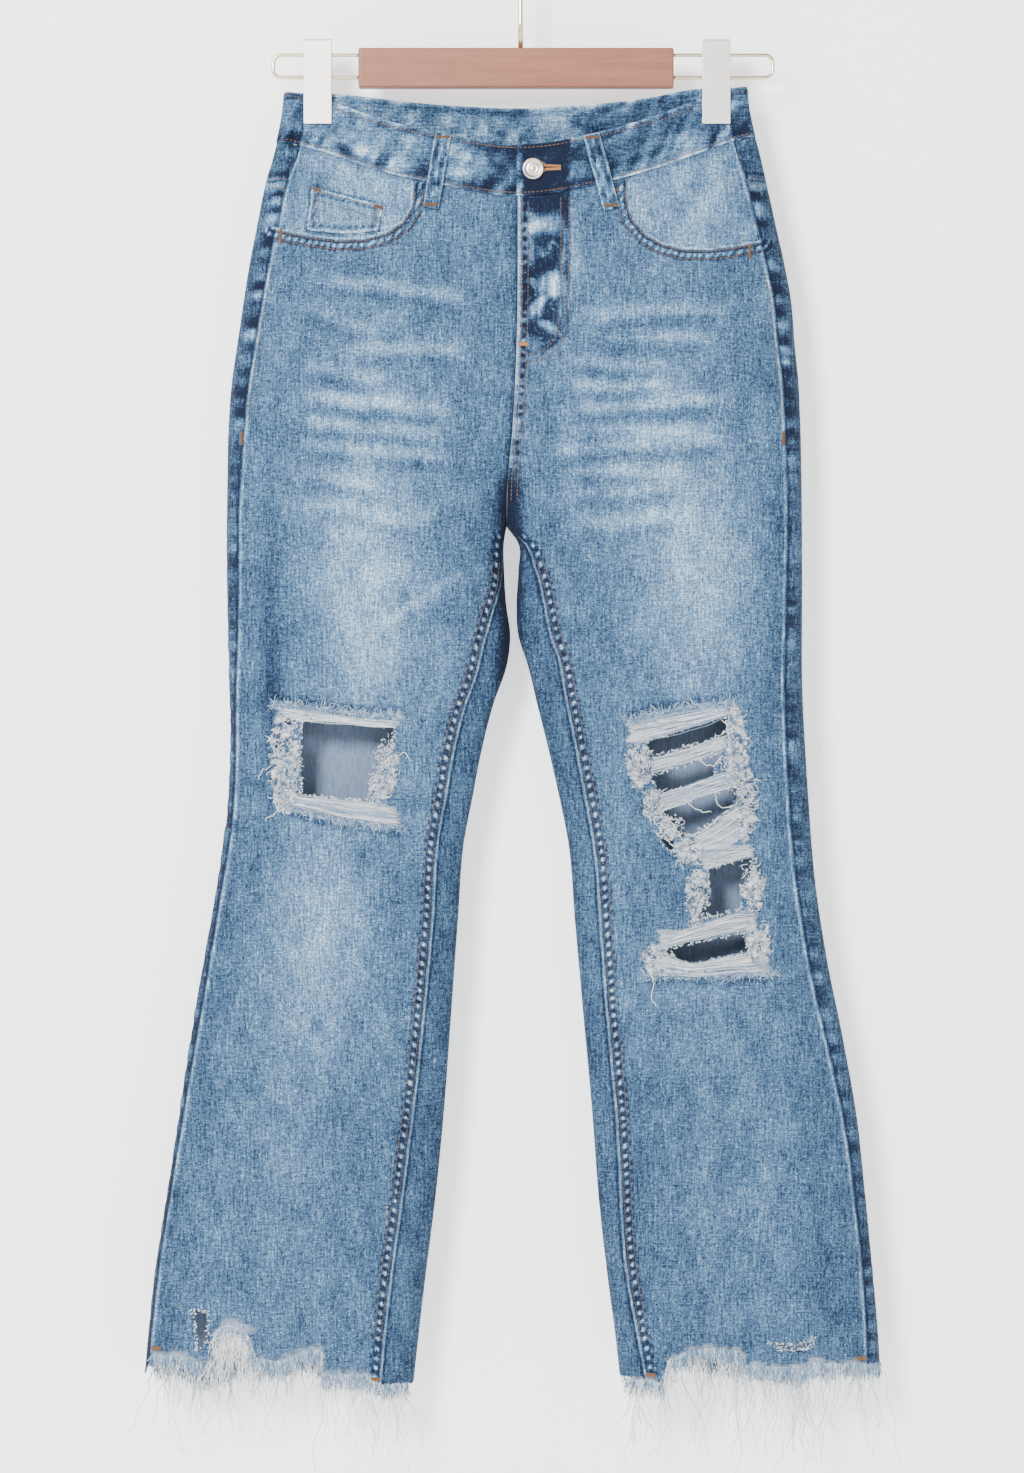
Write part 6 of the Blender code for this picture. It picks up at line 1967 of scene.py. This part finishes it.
        paths[..., 0] += dx
        paths[..., 2] -= dd
        paths[..., 1] += self.random.normal(0, 0.8, (count, 1)) * t * 2
        radii = (0.30 + 0.26 * self.random.random((count, 1))) * (1 - 0.4 * t)
        batch.add(paths, radii, tone + 0.2 * (self.random.random(count) - 0.5))


@dataclass(frozen=True)
class Fringe:
    """One stretch of the raw hem whose backing strip and strands are replaced."""

    side: Side
    face: Face
    number: int
    x1: float
    x2: float
    length: float
    longest: float
    threads: int
    tone: float

    @property
    def name(self) -> str:
        """The backing strip's node."""
        return f"fringe_{self.face.value}_{self.side.word}_{self.number}"


FRINGES = (
    Fringe(Side.RIGHT, Face.FRONT, 1, -286, -246, 17, 92, 68, 0.95),
    Fringe(Side.RIGHT, Face.FRONT, 2, -239, -206, 34, 56, 189, 1.0),
    Fringe(Side.RIGHT, Face.FRONT, 3, -208, -152, 15, 34, 86, 0.85),
    Fringe(Side.RIGHT, Face.FRONT, 4, -157, -86, 15, 78, 104, 0.9),
    Fringe(Side.LEFT, Face.FRONT, 1, 84, 175, 22, 72, 148, 1.0),
    Fringe(Side.LEFT, Face.FRONT, 2, 175, 226, 18, 88, 104, 0.9),
    Fringe(Side.LEFT, Face.FRONT, 3, 226, 284, 17, 84, 99, 0.9),
    Fringe(Side.RIGHT, Face.BACK, 1, -286, -192, 17, 60, 135, 0.9),
    Fringe(Side.RIGHT, Face.BACK, 2, -192, -84, 18, 88, 153, 0.9),
    Fringe(Side.LEFT, Face.BACK, 1, 82, 186, 18, 84, 148, 0.9),
    Fringe(Side.LEFT, Face.BACK, 2, 186, 278, 17, 64, 135, 0.9),
)


# ---------------------------------------------------------------- hanger and button


def tube(name: str, path: Array, radius: float, sides: int, material: bpy.types.Material) -> bpy.types.Object:
    """Round wire along a path of millimetre points."""
    batch = ThreadBatch(sides=sides)
    batch.add(np.asarray(path, float)[None], np.full((1, len(path)), radius), 0.5)
    return batch.build(name, material)


def arc(centre_x: float, centre_z: float, radius: float, start: float, end: float, steps: int) -> list[tuple]:
    """Points of an arc in the XZ plane, in degrees."""
    angles = [radians(start + (end - start) * step / steps) for step in range(steps + 1)]
    return [(centre_x + radius * cos(a), 0.0, centre_z + radius * sin(a)) for a in angles]


@dataclass(frozen=True)
class Hanger:
    """Clip hanger: wooden bar, two wires, two clips and a hook."""

    bar_length: float = 247.0
    bar_height: float = 31.0
    bar_thick: float = 13.0
    bar_drop: float = 128.0
    bar_x: float = -1.5
    bar_edge: float = 1.6
    wire_radius: float = 1.5
    upper_drop: float = 117.5
    lower_drop: float = 135.0
    wire_reach: float = 196.0
    clip_top: float = 105.5
    clip_bottom: float = 172.0
    clip_plate: float = 1.6
    clip_jaw: float = 141.0
    jaw_gap: float = 0.8
    chamfer: float = 1.2
    hook_radius: float = 24.0
    hook_wire: float = 2.0
    hook_x: float = 2.0

    def bar(self, material: bpy.types.Material) -> bpy.types.Object:
        """Bar with rounded edges."""
        bm = bmesh.new()
        bmesh.ops.create_cube(bm, size=1.0)
        bmesh.ops.scale(bm, vec=Vector((self.bar_length, self.bar_thick, self.bar_height)) * MM, verts=bm.verts)
        bmesh.ops.bevel(bm, geom=list(bm.edges), offset=self.bar_edge * MM, segments=5, affect="EDGES",
                        profile=0.5)
        bmesh.ops.translate(bm, vec=Vector((self.bar_x, 0.0, -self.bar_drop)) * MM, verts=bm.verts)
        return from_bmesh(bm, "hanger_bar_wood", material)

    def wire(self, side: Side, material: bpy.types.Material) -> bpy.types.Object:
        """U of wire that a clip rides on."""
        end = self.bar_x + side * (self.bar_length / 2 + 0.3)
        far = side * self.wire_reach + 4.0
        bend = 6.0
        corner = far - side * bend
        upper, lower = -self.upper_drop, -self.lower_drop
        outward = 90 - side * 90
        out_turn = arc(corner, upper - bend, bend, 90, outward, 10)
        back_turn = arc(corner, lower + bend, bend, outward, outward - side * 90, 10)
        path = [(end, 0.0, upper), *out_turn, *back_turn, (end, 0.0, lower)]
        name = "hanger_wire_" + side.word + "_metal"
        return tube(name, resample(np.array(path), 1.2), self.wire_radius, 16, material)

    def clip(self, side: Side, material: bpy.types.Material) -> bpy.types.Object:
        """Flat clip with softened corners."""
        grip = SIZE.pinch_half_depth + SIZE.band_proud + self.jaw_gap
        face = grip + self.clip_plate
        slot = self.wire_radius + 0.3
        head = -self.upper_drop + slot
        half = ((self.chamfer - face, -self.clip_top), (-face, -self.clip_top - self.chamfer),
                (-face, -self.clip_bottom), (-grip, -self.clip_bottom), (-grip, -self.clip_jaw),
                (-slot, -self.lower_drop - slot - 0.3), (-slot, head))
        ring = [*half, *[(-y, z) for y, z in reversed(half)]]
        bm = bmesh.new()
        sheets = []
        for edge in (-0.5, 0.5):
            x = CLIP_X[side] + edge * SIZE.clip_width
            sheets.append([bm.verts.new(Vector((x, y, z)) * MM) for y, z in ring])
        for index in range(len(ring)):
            following = (index + 1) % len(ring)
            bm.faces.new((sheets[0][index], sheets[0][following], sheets[1][following], sheets[1][index]))
        for sheet in sheets:
            bm.faces.new(sheet)
        bmesh.ops.recalc_face_normals(bm, faces=bm.faces)
        outer_edges = [e for e in bm.edges if max(abs(v.co.y) for v in e.verts) > (face - 1.3) * MM]
        bmesh.ops.bevel(bm, geom=outer_edges, offset=0.35 * MM, segments=3, affect="EDGES", profile=0.5)
        return from_bmesh(bm, "clip_" + side.word + "_metal", material)

    def hook(self, material: bpy.types.Material) -> bpy.types.Object:
        """Hook: straight stem and three quarters of a ring round the hang point."""
        centre_z = -self.hook_radius + self.hook_wire
        stem = [(self.hook_x, 0.0, -self.bar_drop + self.bar_height / 2 + 0.3), (self.hook_x, 0.0, -92.0),
                (self.hook_x, 0.0, -72.0), (self.hook_x, 0.0, -62.0), (self.hook_x + 1.5, 0.0, -55.0),
                (self.hook_x + 6.5, 0.0, -47.5)]
        ring = arc(0.0, centre_z, self.hook_radius, -52.0, 195.0, 60)
        tip = (ring[-1][0] - 1.5, 0.0, ring[-1][2] - 6.0)
        return tube("hook_metal", np.array([*stem, *ring, tip]), self.hook_wire, 18, material)


@dataclass(frozen=True)
class Button:
    """Shank button with a plain ringed face."""

    x: float = 11.7
    drop: float = 209.8
    radius: float = 8.5
    height: float = 3.2
    seat: float = 0.55

    def build(self, cloth: Cloth, material: bpy.types.Material) -> bpy.types.Object:
        """The button on the waistband's overlap."""
        garment = cloth.garment
        turn = garment.turn_at(Side.LEFT, self.x, self.drop)
        base = garment.skin(Side.LEFT, turn, self.drop, SIZE.band_proud)
        front = base[1] - self.seat
        r = self.radius
        profile = ((0.0, -2.75), (1.0, -2.72), (2.2, -2.5), (3.0, -2.45), (3.4, -2.62), (3.9, -2.62),
                   (4.3, -2.42), (5.2, -2.36), (5.9, -2.45), (6.3, -2.85), (6.8, -3.15), (7.3, -3.2),
                   (7.8, -3.05), (8.2, -2.7), (r, -2.1), (8.35, -1.7), (7.9, -1.45), (4.0, -1.2),
                   (3.4, 0.0), (0.0, 0.0))
        steps = 56
        angles = np.arange(steps) * 2 * pi / steps
        rings = np.array([[(self.x + radius * np.cos(a), front + y, -self.drop + radius * np.sin(a))
                           for a in angles]
                          for radius, y in profile if radius > 0])
        count = len(rings)
        points = np.concatenate([rings.reshape(-1, 3), [[self.x, front + profile[0][1], -self.drop],
                                                        [self.x, front, -self.drop]]])
        faces = grid_triangles(count, steps, closed=True)
        ring = np.arange(steps)
        follow = (ring + 1) % steps
        middle = count * steps
        front_fan = np.stack([np.full(steps, middle), follow, ring], axis=1)
        last = (count - 1) * steps
        back_fan = np.stack([np.full(steps, middle + 1), last + ring, last + follow], axis=1)
        return make_object("button_metal_face", points, np.concatenate([faces, front_fan, back_fan]), material)


# ---------------------------------------------------------------- sewing


class Sewing:
    """All topstitching, bartacks and the buttonhole."""

    def __init__(self, cloth: Cloth, palette: Palette) -> None:
        """Args: cloth: places on the garment; palette: the finishes."""
        self.cloth = cloth
        self.garment = cloth.garment
        self.palette = palette

    def down(self, side: Side, outer: bool, top: float, bottom: float, away: float) -> Array:
        """Line of (x, drop) down a long seam, moved across by away."""
        drops = np.arange(top, bottom, 4.0)
        return np.stack([self.garment.seam_x(side, outer, drops) + away, drops], axis=1)

    def front(self, side: Side) -> bpy.types.Object:
        """Stitches of one front: pocket mouth, fly, seams."""
        batch = ThreadBatch(sides=4)
        sew = Stitcher(self.cloth, batch)
        mouth = densified(POCKET_MOUTHS[side], 3.0, closed=False)
        toward = -side
        for away in (2.4, 8.6):
            line = offset_line(mouth, away * toward)
            sew.run(side, line[2:-1], tone=0.30)
        if side == Side.RIGHT:
            sew.bar(side, (-185, 256), (-185, 267), tone=0.3)
            sew.bar(side, (-72, 226), (-62, 229), tone=0.35)
            sew.bar(side, (-216, 414), (-216, 424), tone=0.25)
        else:
            sew.bar(side, (181, 268), (181, 279), tone=0.3)
            sew.bar(side, (68, 229), (78, 226), tone=0.35)
            sew.bar(side, (207.5, 414), (207.5, 424), tone=0.25)
            for away in (3.4, 8.0):
                drops = np.arange(236.0, 470.0, 4.0)
                sew.run(side, np.stack([self.garment.centre(0, drops) + away, drops], axis=1), tone=0.30)
            inner = ((33.5, 232), (33.3, 304), (31.6, 331.5), (28, 344), (20, 351), (14, 353.5), (6.5, 354.5))
            outer = ((39.8, 232), (39.3, 304), (38, 322), (36.5, 338), (33, 348), (26, 355),
                     (18, 359), (6.5, 360.5))
            for line in (inner, outer):
                sew.run(side, densified(line, 3.0, closed=False), tone=0.28)
            sew.bar(side, (0.2, 346.5), (7.5, 346.5), 2.6, tone=0.95)
        sew.run(side, self.down(side, True, 290.0, 410.0, -side * 2.2), tone=0.28)
        for away, tone in ((2.6, 0.12), (8.0, 0.30)):
            sew.run(side, self.down(side, False, 516.0, 1128.0, side * away), tone=tone)
        low = FRONT_HEMS[side]
        for (_, end), outer in ((low[0], side == Side.RIGHT), (low[-1], side == Side.LEFT)):
            inward = -side if outer else side
            x = float(self.garment.seam_x(side, outer, end - 4.0)) + inward * 1.0
            sew.bar(side, (x, end - 4.0), (x + inward * 6.5, end - 4.0), 3.0, tone=0.5)
        for drop in (216.5, 223.5):
            x = float(self.garment.seam_x(side, True, drop))
            sew.run(side, ((x + side * 1.6, drop), (x + side * 11.0, drop - 1.0)), tone=0.45)
        return batch.build("stitches_front_" + side.word, self.palette.stitch)

    def waist(self) -> bpy.types.Object:
        """Edge stitches of the waistband, round the whole body."""
        batch = ThreadBatch(sides=4)
        sew = Stitcher(self.cloth, batch)
        lift = SIZE.band_proud
        for side in Side:
            for face in Face:
                far = float(self.garment.outer_edge(side, 185.0)) - side * 2.5
                x = np.linspace(side * 1.0, far, 90)
                top = self.garment.waist_top(face, x)
                for below in (2.6, 37.6):
                    line = np.stack([x, top + below], axis=1)
                    sew.run(side, line, lift=lift - 0.1, tone=0.30, face=face)
        return batch.build("stitches_waistband", self.palette.stitch)

    def back(self, side: Side) -> bpy.types.Object:
        """Stitches of one back: yoke, seat seam, patch pocket."""
        batch = ThreadBatch(sides=4)
        sew = Stitcher(self.cloth, batch)
        turns = np.linspace(0.507, 0.985, 110)
        drops = self.garment.yoke_seam(turns)
        x = self.garment.x_of(side, turns, drops)
        for below in (2.2, 8.2):
            sew.run(side, np.stack([x, drops + below], axis=1), tone=0.3, face=Face.BACK)
        if side == Side.LEFT:
            for away in (2.2, 8.2):
                drops = np.arange(265.0, 470.0, 4.0)
                line = np.stack([self.garment.centre(0, drops) + away, drops], axis=1)
                sew.run(side, line, tone=0.3, face=Face.BACK)
        corners = np.array([(side * px, pd) for px, pd in BACK_POCKET], float)
        centre = corners.mean(axis=0)
        lift = SIZE.lay_gap + 1.4
        for inset in (2.5, 8.5):
            pulled = corners + (centre - corners) * (inset / np.linalg.norm(centre - corners, axis=1))[:, None]
            sew.run(side, densified(pulled, 3.0), lift=lift, tone=0.3, face=Face.BACK)
        top = corners[:2] + np.array([[side * 3.0, 14.0], [-side * 3.0, 14.0]])
        sew.run(side, densified(top, 3.0, closed=False), lift=lift, tone=0.3, face=Face.BACK)
        return batch.build("stitches_back_" + side.word, self.palette.stitch)

    def trims(self) -> bpy.types.Object:
        """Bartacks of the belt loops, coin pocket stitches and the buttonhole."""
        batch = ThreadBatch(sides=4)
        sew = Stitcher(self.cloth, batch)
        lift = SIZE.band_proud + SIZE.lay_gap + SIZE.loop_wall
        for loop in BELT_LOOPS:
            for share in (0.04, 0.95):
                middle = loop.x_top + (loop.x_bottom - loop.x_top) * share
                drop = float(self.garment.waist_top(loop.face, middle)) + 0.5 + loop.length * share
                half = SIZE.loop_width / 2 - 1.0
                sew.bar(loop.side, (middle - half, drop), (middle + half, drop), 2.4,
                        lift + 0.1, 0.25, loop.face)
        coin = np.array(COIN_POCKET, float)
        lift = -0.35
        # corner and offset of both ends of each run
        runs = ((0, (2.0, 2.6), 1, (-2.0, 2.6)), (0, (3.0, 10.5), 1, (-3.0, 10.5)),
                (0, (2.4, 2.0), 4, (2.4, -2.0)), (0, (6.4, 3.0), 4, (6.4, -2.0)),
                (1, (-2.4, 2.0), 2, (-2.4, -2.0)), (1, (-6.4, 2.0), 2, (-6.4, -2.0)))
        for first, start, last, end in runs:
            line = densified((coin[first] + start, coin[last] + end), 3.0, closed=False)
            sew.run(Side.RIGHT, line, lift=lift, tone=0.3)
        sew.bar(Side.RIGHT, coin[0] + [1, 1], coin[0] + [7, 3], 2.4, lift, 0.2)
        sew.bar(Side.RIGHT, coin[1] + [-7, 0], coin[1] + [-1, 2], 2.4, lift, 0.2)
        self.buttonhole(batch)
        return batch.build("stitches_trims", self.palette.stitch)

    def buttonhole(self, batch: ThreadBatch) -> None:
        """Close purl stitches round a keyhole slit beside the button."""
        drop = 208.6
        eye = [(17.5 + 3.2 * cos(a), drop + 3.2 * sin(a)) for a in np.linspace(radians(35), radians(325), 16)]
        ring = np.array([(33.0, drop + 0.4), (20.5, drop + 1.0), *eye, (20.5, drop - 1.0), (33.0, drop - 0.4)])
        ring = resample(ring, 0.62)
        tangent = np.gradient(ring, axis=0)
        tangent /= np.linalg.norm(tangent, axis=1, keepdims=True)
        away = np.stack([-tangent[:, 1], tangent[:, 0]], axis=1)
        outward = np.where(((ring[:, 1] - drop) * away[:, 1])[:, None] >= 0, away, -away)
        shares = np.array([-0.4, 0.0, 0.7, 1.5])
        flat = ring[:, None, :] + outward[:, None, :] * shares[None, :, None]
        rise = np.array([0.1, 0.75, 0.65, 0.0]) + SIZE.band_proud
        paths = self.cloth.place(Side.LEFT, flat[..., 0], flat[..., 1], rise)
        batch.add(paths, np.full(flat.shape[:2], 0.34), 0.95)


# ---------------------------------------------------------------- assembly


class Jeans:
    """The whole garment."""

    def __init__(self, palette: Palette) -> None:
        """Args: palette: the finishes."""
        self.palette = palette
        self.garment = Garment(SIZE)
        self.relief = Relief(self.garment)
        self.wash = Wash(self.garment, self.relief)
        self.cloth = Cloth(self.garment, self.relief, self.wash)
        self.tailor = Tailor(self.cloth, palette)
        self.distress = Distress(self.cloth)
        self.sewing = Sewing(self.cloth, palette)

    def add(self, obj: bpy.types.Object, slot: Slot, *nodes: str) -> None:
        """Let a piece ride the root and stand for its nodes."""
        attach(obj, "root")
        if nodes:
            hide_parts(*nodes)
        log.info("%s: %d triangles", obj.name, len(obj.data.polygons))

    def add_sheet(self, obj: bpy.types.Object, flat: tuple[float, float], *nodes: str) -> None:
        """Add a cloth piece and work out its area, which is not kept."""
        self.add(obj, Slot.DENIM, *nodes)
        points = np.zeros(len(obj.data.vertices) * 3)
        obj.data.vertices.foreach_get("co", points)
        points = points.reshape(-1, 3)
        faces = np.zeros(len(obj.data.polygons) * 3, int)
        obj.data.loops.foreach_get("vertex_index", faces)
        faces = faces.reshape(-1, 3)
        cross = np.cross(points[faces[:, 1]] - points[faces[:, 0]], points[faces[:, 2]] - points[faces[:, 0]])
        area = float(np.linalg.norm(cross, axis=1).sum()) / 4
        area = min(max(area, 0.31 * flat[0] * flat[1]), flat[0] * flat[1])

    def build(self) -> None:
        """Make every piece of the garment."""
        tailor = self.tailor
        for side in Side:
            word = side.word
            self.add_sheet(tailor.front_panel(side, self.distress), (0.235, 0.96), "front_panel_" + word)
            self.add_sheet(tailor.back_panel(side), (0.325, 0.94), "back_panel_" + word)
            self.add_sheet(tailor.yoke(side), (0.225, 0.080), "yoke_" + word)
            self.add_sheet(tailor.facing(side), (0.130, 0.100), "pocket_facing_" + word)
            self.add_sheet(tailor.back_pocket(side), (0.140, 0.156), "back_pocket_" + word)
        self.add_sheet(tailor.waistband(), (0.80, 0.042), "waistband")
        self.add_sheet(tailor.coin_pocket(), (0.062, 0.040), "coin_pocket")
        for loop in BELT_LOOPS:
            self.add_sheet(tailor.belt_loop(loop), (0.014, 0.064), loop.name)
        self.rips()
        self.hems()
        for side in Side:
            self.add(self.sewing.front(side), Slot.THREAD)
            self.add(self.sewing.back(side), Slot.THREAD)
        self.add(self.sewing.waist(), Slot.THREAD)
        self.add(self.sewing.trims(), Slot.THREAD)

    def rips(self) -> None:
        """Threads of the knee rips."""
        for side in Side:
            batch = ThreadBatch()
            self.distress.bands(side, batch)
            self.distress.fluff(side, batch)
            for line, toward in zip(RIP_EDGES[side], (-1.0, 1.0)):
                self.distress.frayed_edge(side, densified(line, 3.0, closed=False), batch, 5.0, 9.0, toward,
                                          tone=0.55, spread=1.25)
            for number, hole in enumerate(HOLES[side]):
                rim = densified([*hole, hole[0]], 2.0, closed=False)
                self.distress.frayed_edge(side, rim, batch, 1.1, 3.2, (-1.0) ** number, tone=0.85, spread=1.2)
            self.add(batch.build("rip_threads_" + side.word, self.palette.thread), Slot.THREAD)

    def hems(self) -> None:
        """Fringe of the raw hems."""
        for fringe in FRINGES:
            batch = ThreadBatch()
            edge = self.hem_edge(fringe.side, fringe.face)
            self.distress.hanging(fringe.side, (fringe.x1, fringe.x2), edge, batch, fringe.threads,
                                  fringe.length, fringe.longest, fringe.face, fringe.tone)
            x = np.linspace(fringe.x1, fringe.x2, 60)
            line = np.stack([x, edge(x)], axis=1)
            self.distress.frayed_edge(fringe.side, line, batch, 4.6, 13.0, 1.0, fringe.face, 0.58, 0.15)
            self.add(batch.build(fringe.name + "_threads", self.palette.thread), Slot.THREAD, fringe.name)

    def hem_edge(self, side: Side, face: Face) -> Callable[[Array], Array]:
        """Drop of a raw hem by x."""
        if face == Face.FRONT:
            hem = FRONT_HEMS[side]
            return lambda x: read_line(hem, x)
        garment = self.garment

        def edge(x: Array) -> Array:
            turn = garment.turn_at(side, x, np.full(np.shape(x), BACK_HEMS[side].mean), Face.BACK)
            return garment.back_hem(side, turn)

        return edge


@dataclass(frozen=True)
class Studio:
    """White wall and floor, soft light and the camera."""

    wall_y: float = 0.042
    floor_z: float = -1.50
    view_x: float = -0.0047
    view_z: float = -0.652
    distance: float = 3.3
    frame_height: float = 1.1555
    wall_glow: float = 1.0

    def build(self) -> None:
        """Make the stage, the lights and the camera."""
        self.backdrop()
        self.light("key", (-1.2, -2.8, 0.6), 0.8, 195.0)
        self.light("fill", (1.9, -2.6, -0.6), 2.6, 26.0)
        self.light("low_fill", (0.0, -2.2, -1.5), 2.0, 8.0)
        world = bpy.data.worlds.new("studio") if bpy.context.scene.world is None else bpy.context.scene.world
        bpy.context.scene.world = world
        world.use_nodes = True
        world.node_tree.nodes["Background"].inputs[0].default_value = (1.0, 1.0, 1.0, 1.0)
        world.node_tree.nodes["Background"].inputs[1].default_value = 0.55
        camera = bpy.data.cameras.new("camera")
        camera.lens = 36.0 * self.distance / self.frame_height
        camera.clip_end = 50.0
        holder = bpy.data.objects.new("camera", camera)
        holder.location = (self.view_x, -self.distance, self.view_z)
        holder.rotation_euler = (pi / 2, 0.0, 0.0)
        bpy.context.collection.objects.link(holder)
        bpy.context.scene.camera = holder

    def light(self, name: str, place: tuple[float, float, float], size: float, power: float) -> None:
        """A square lamp that looks at the garment's middle."""
        lamp = bpy.data.lights.new(name, "AREA")
        lamp.size = size
        lamp.energy = power
        obj = bpy.data.objects.new(name, lamp)
        obj.location = place
        aim = Vector((0.0, 0.0, -0.65)) - Vector(place)
        obj.rotation_euler = aim.to_track_quat("-Z", "Y").to_euler()
        bpy.context.collection.objects.link(obj)

    def backdrop(self) -> None:
        """Wall close behind the garment, seen only from its front, and a pale floor."""
        half, top, halves = 4000.0, 2500.0, np.array([(0, 1, 2), (0, 2, 3)])
        wall_y, floor_z = self.wall_y * 1000, self.floor_z * 1000
        upright = [(-half, wall_y, floor_z), (half, wall_y, floor_z), (half, wall_y, top), (-half, wall_y, top)]
        level = [(-half, -half, floor_z), (half, -half, floor_z), (half, half, floor_z), (-half, half, floor_z)]
        wall_paint, floor_paint = self.paint("studio_paint", True), self.paint("studio_ground", False)
        wall = make_object("studio_wall", np.array(upright), halves, wall_paint, smooth=False)
        floor = make_object("studio_floor", np.array(level), halves, floor_paint, smooth=False)
        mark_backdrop(wall, floor)

    def paint(self, name: str, one_sided: bool) -> bpy.types.Material:
        """Matt off-white paint, clear from behind when one_sided."""
        material, links, shader = new_material(name)
        grain = links.noise(links.node("ShaderNodeTexCoord").outputs["Object"], 3.0, 4.0)
        links.put(shader, "Base Color", links.mix(grain, (0.93, 0.93, 0.925, 1.0), (0.95, 0.95, 0.945, 1.0)))
        links.put(shader, "Roughness", 0.9)
        if one_sided:
            links.put(shader, "Emission Color", (1.0, 1.0, 0.99, 1.0))
            links.put(shader, "Emission Strength", self.wall_glow)
            clear = links.node("ShaderNodeBsdfTransparent")
            both = links.node("ShaderNodeMixShader")
            back = links.node("ShaderNodeNewGeometry").outputs["Backfacing"]
            links.put(both, 0, back)
            links.put(both, 1, shader.outputs[0])
            links.put(both, 2, clear.outputs[0])
            links.tree.links.new(both.outputs[0], material.node_tree.nodes["Material Output"].inputs[0])
        return material


def main() -> None:
    """Build the scene in order."""
    logging.basicConfig(level=logging.INFO, format="%(message)s")
    palette = Palette()
    hanger = Hanger()
    jeans = Jeans(palette)
    jeans.add(hanger.bar(palette.wood), Slot.WOOD, "hanger_bar")
    for side in Side:
        jeans.add(hanger.wire(side, palette.wire), Slot.WIRE, "hanger_wire_" + side.word)
        jeans.add(hanger.clip(side, palette.clip), Slot.CLIP, "clip_" + side.word)
    jeans.add(hanger.hook(palette.wire), Slot.WIRE, "hook")
    jeans.build()
    jeans.add(Button().build(jeans.cloth, palette.button), Slot.BUTTON, "button")
    Studio().build()
    total = sum(len(obj.data.polygons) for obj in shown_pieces() if obj.type == "MESH")
    log.info("shown triangles: %d", total)


if __name__ == "__main__":
    main()
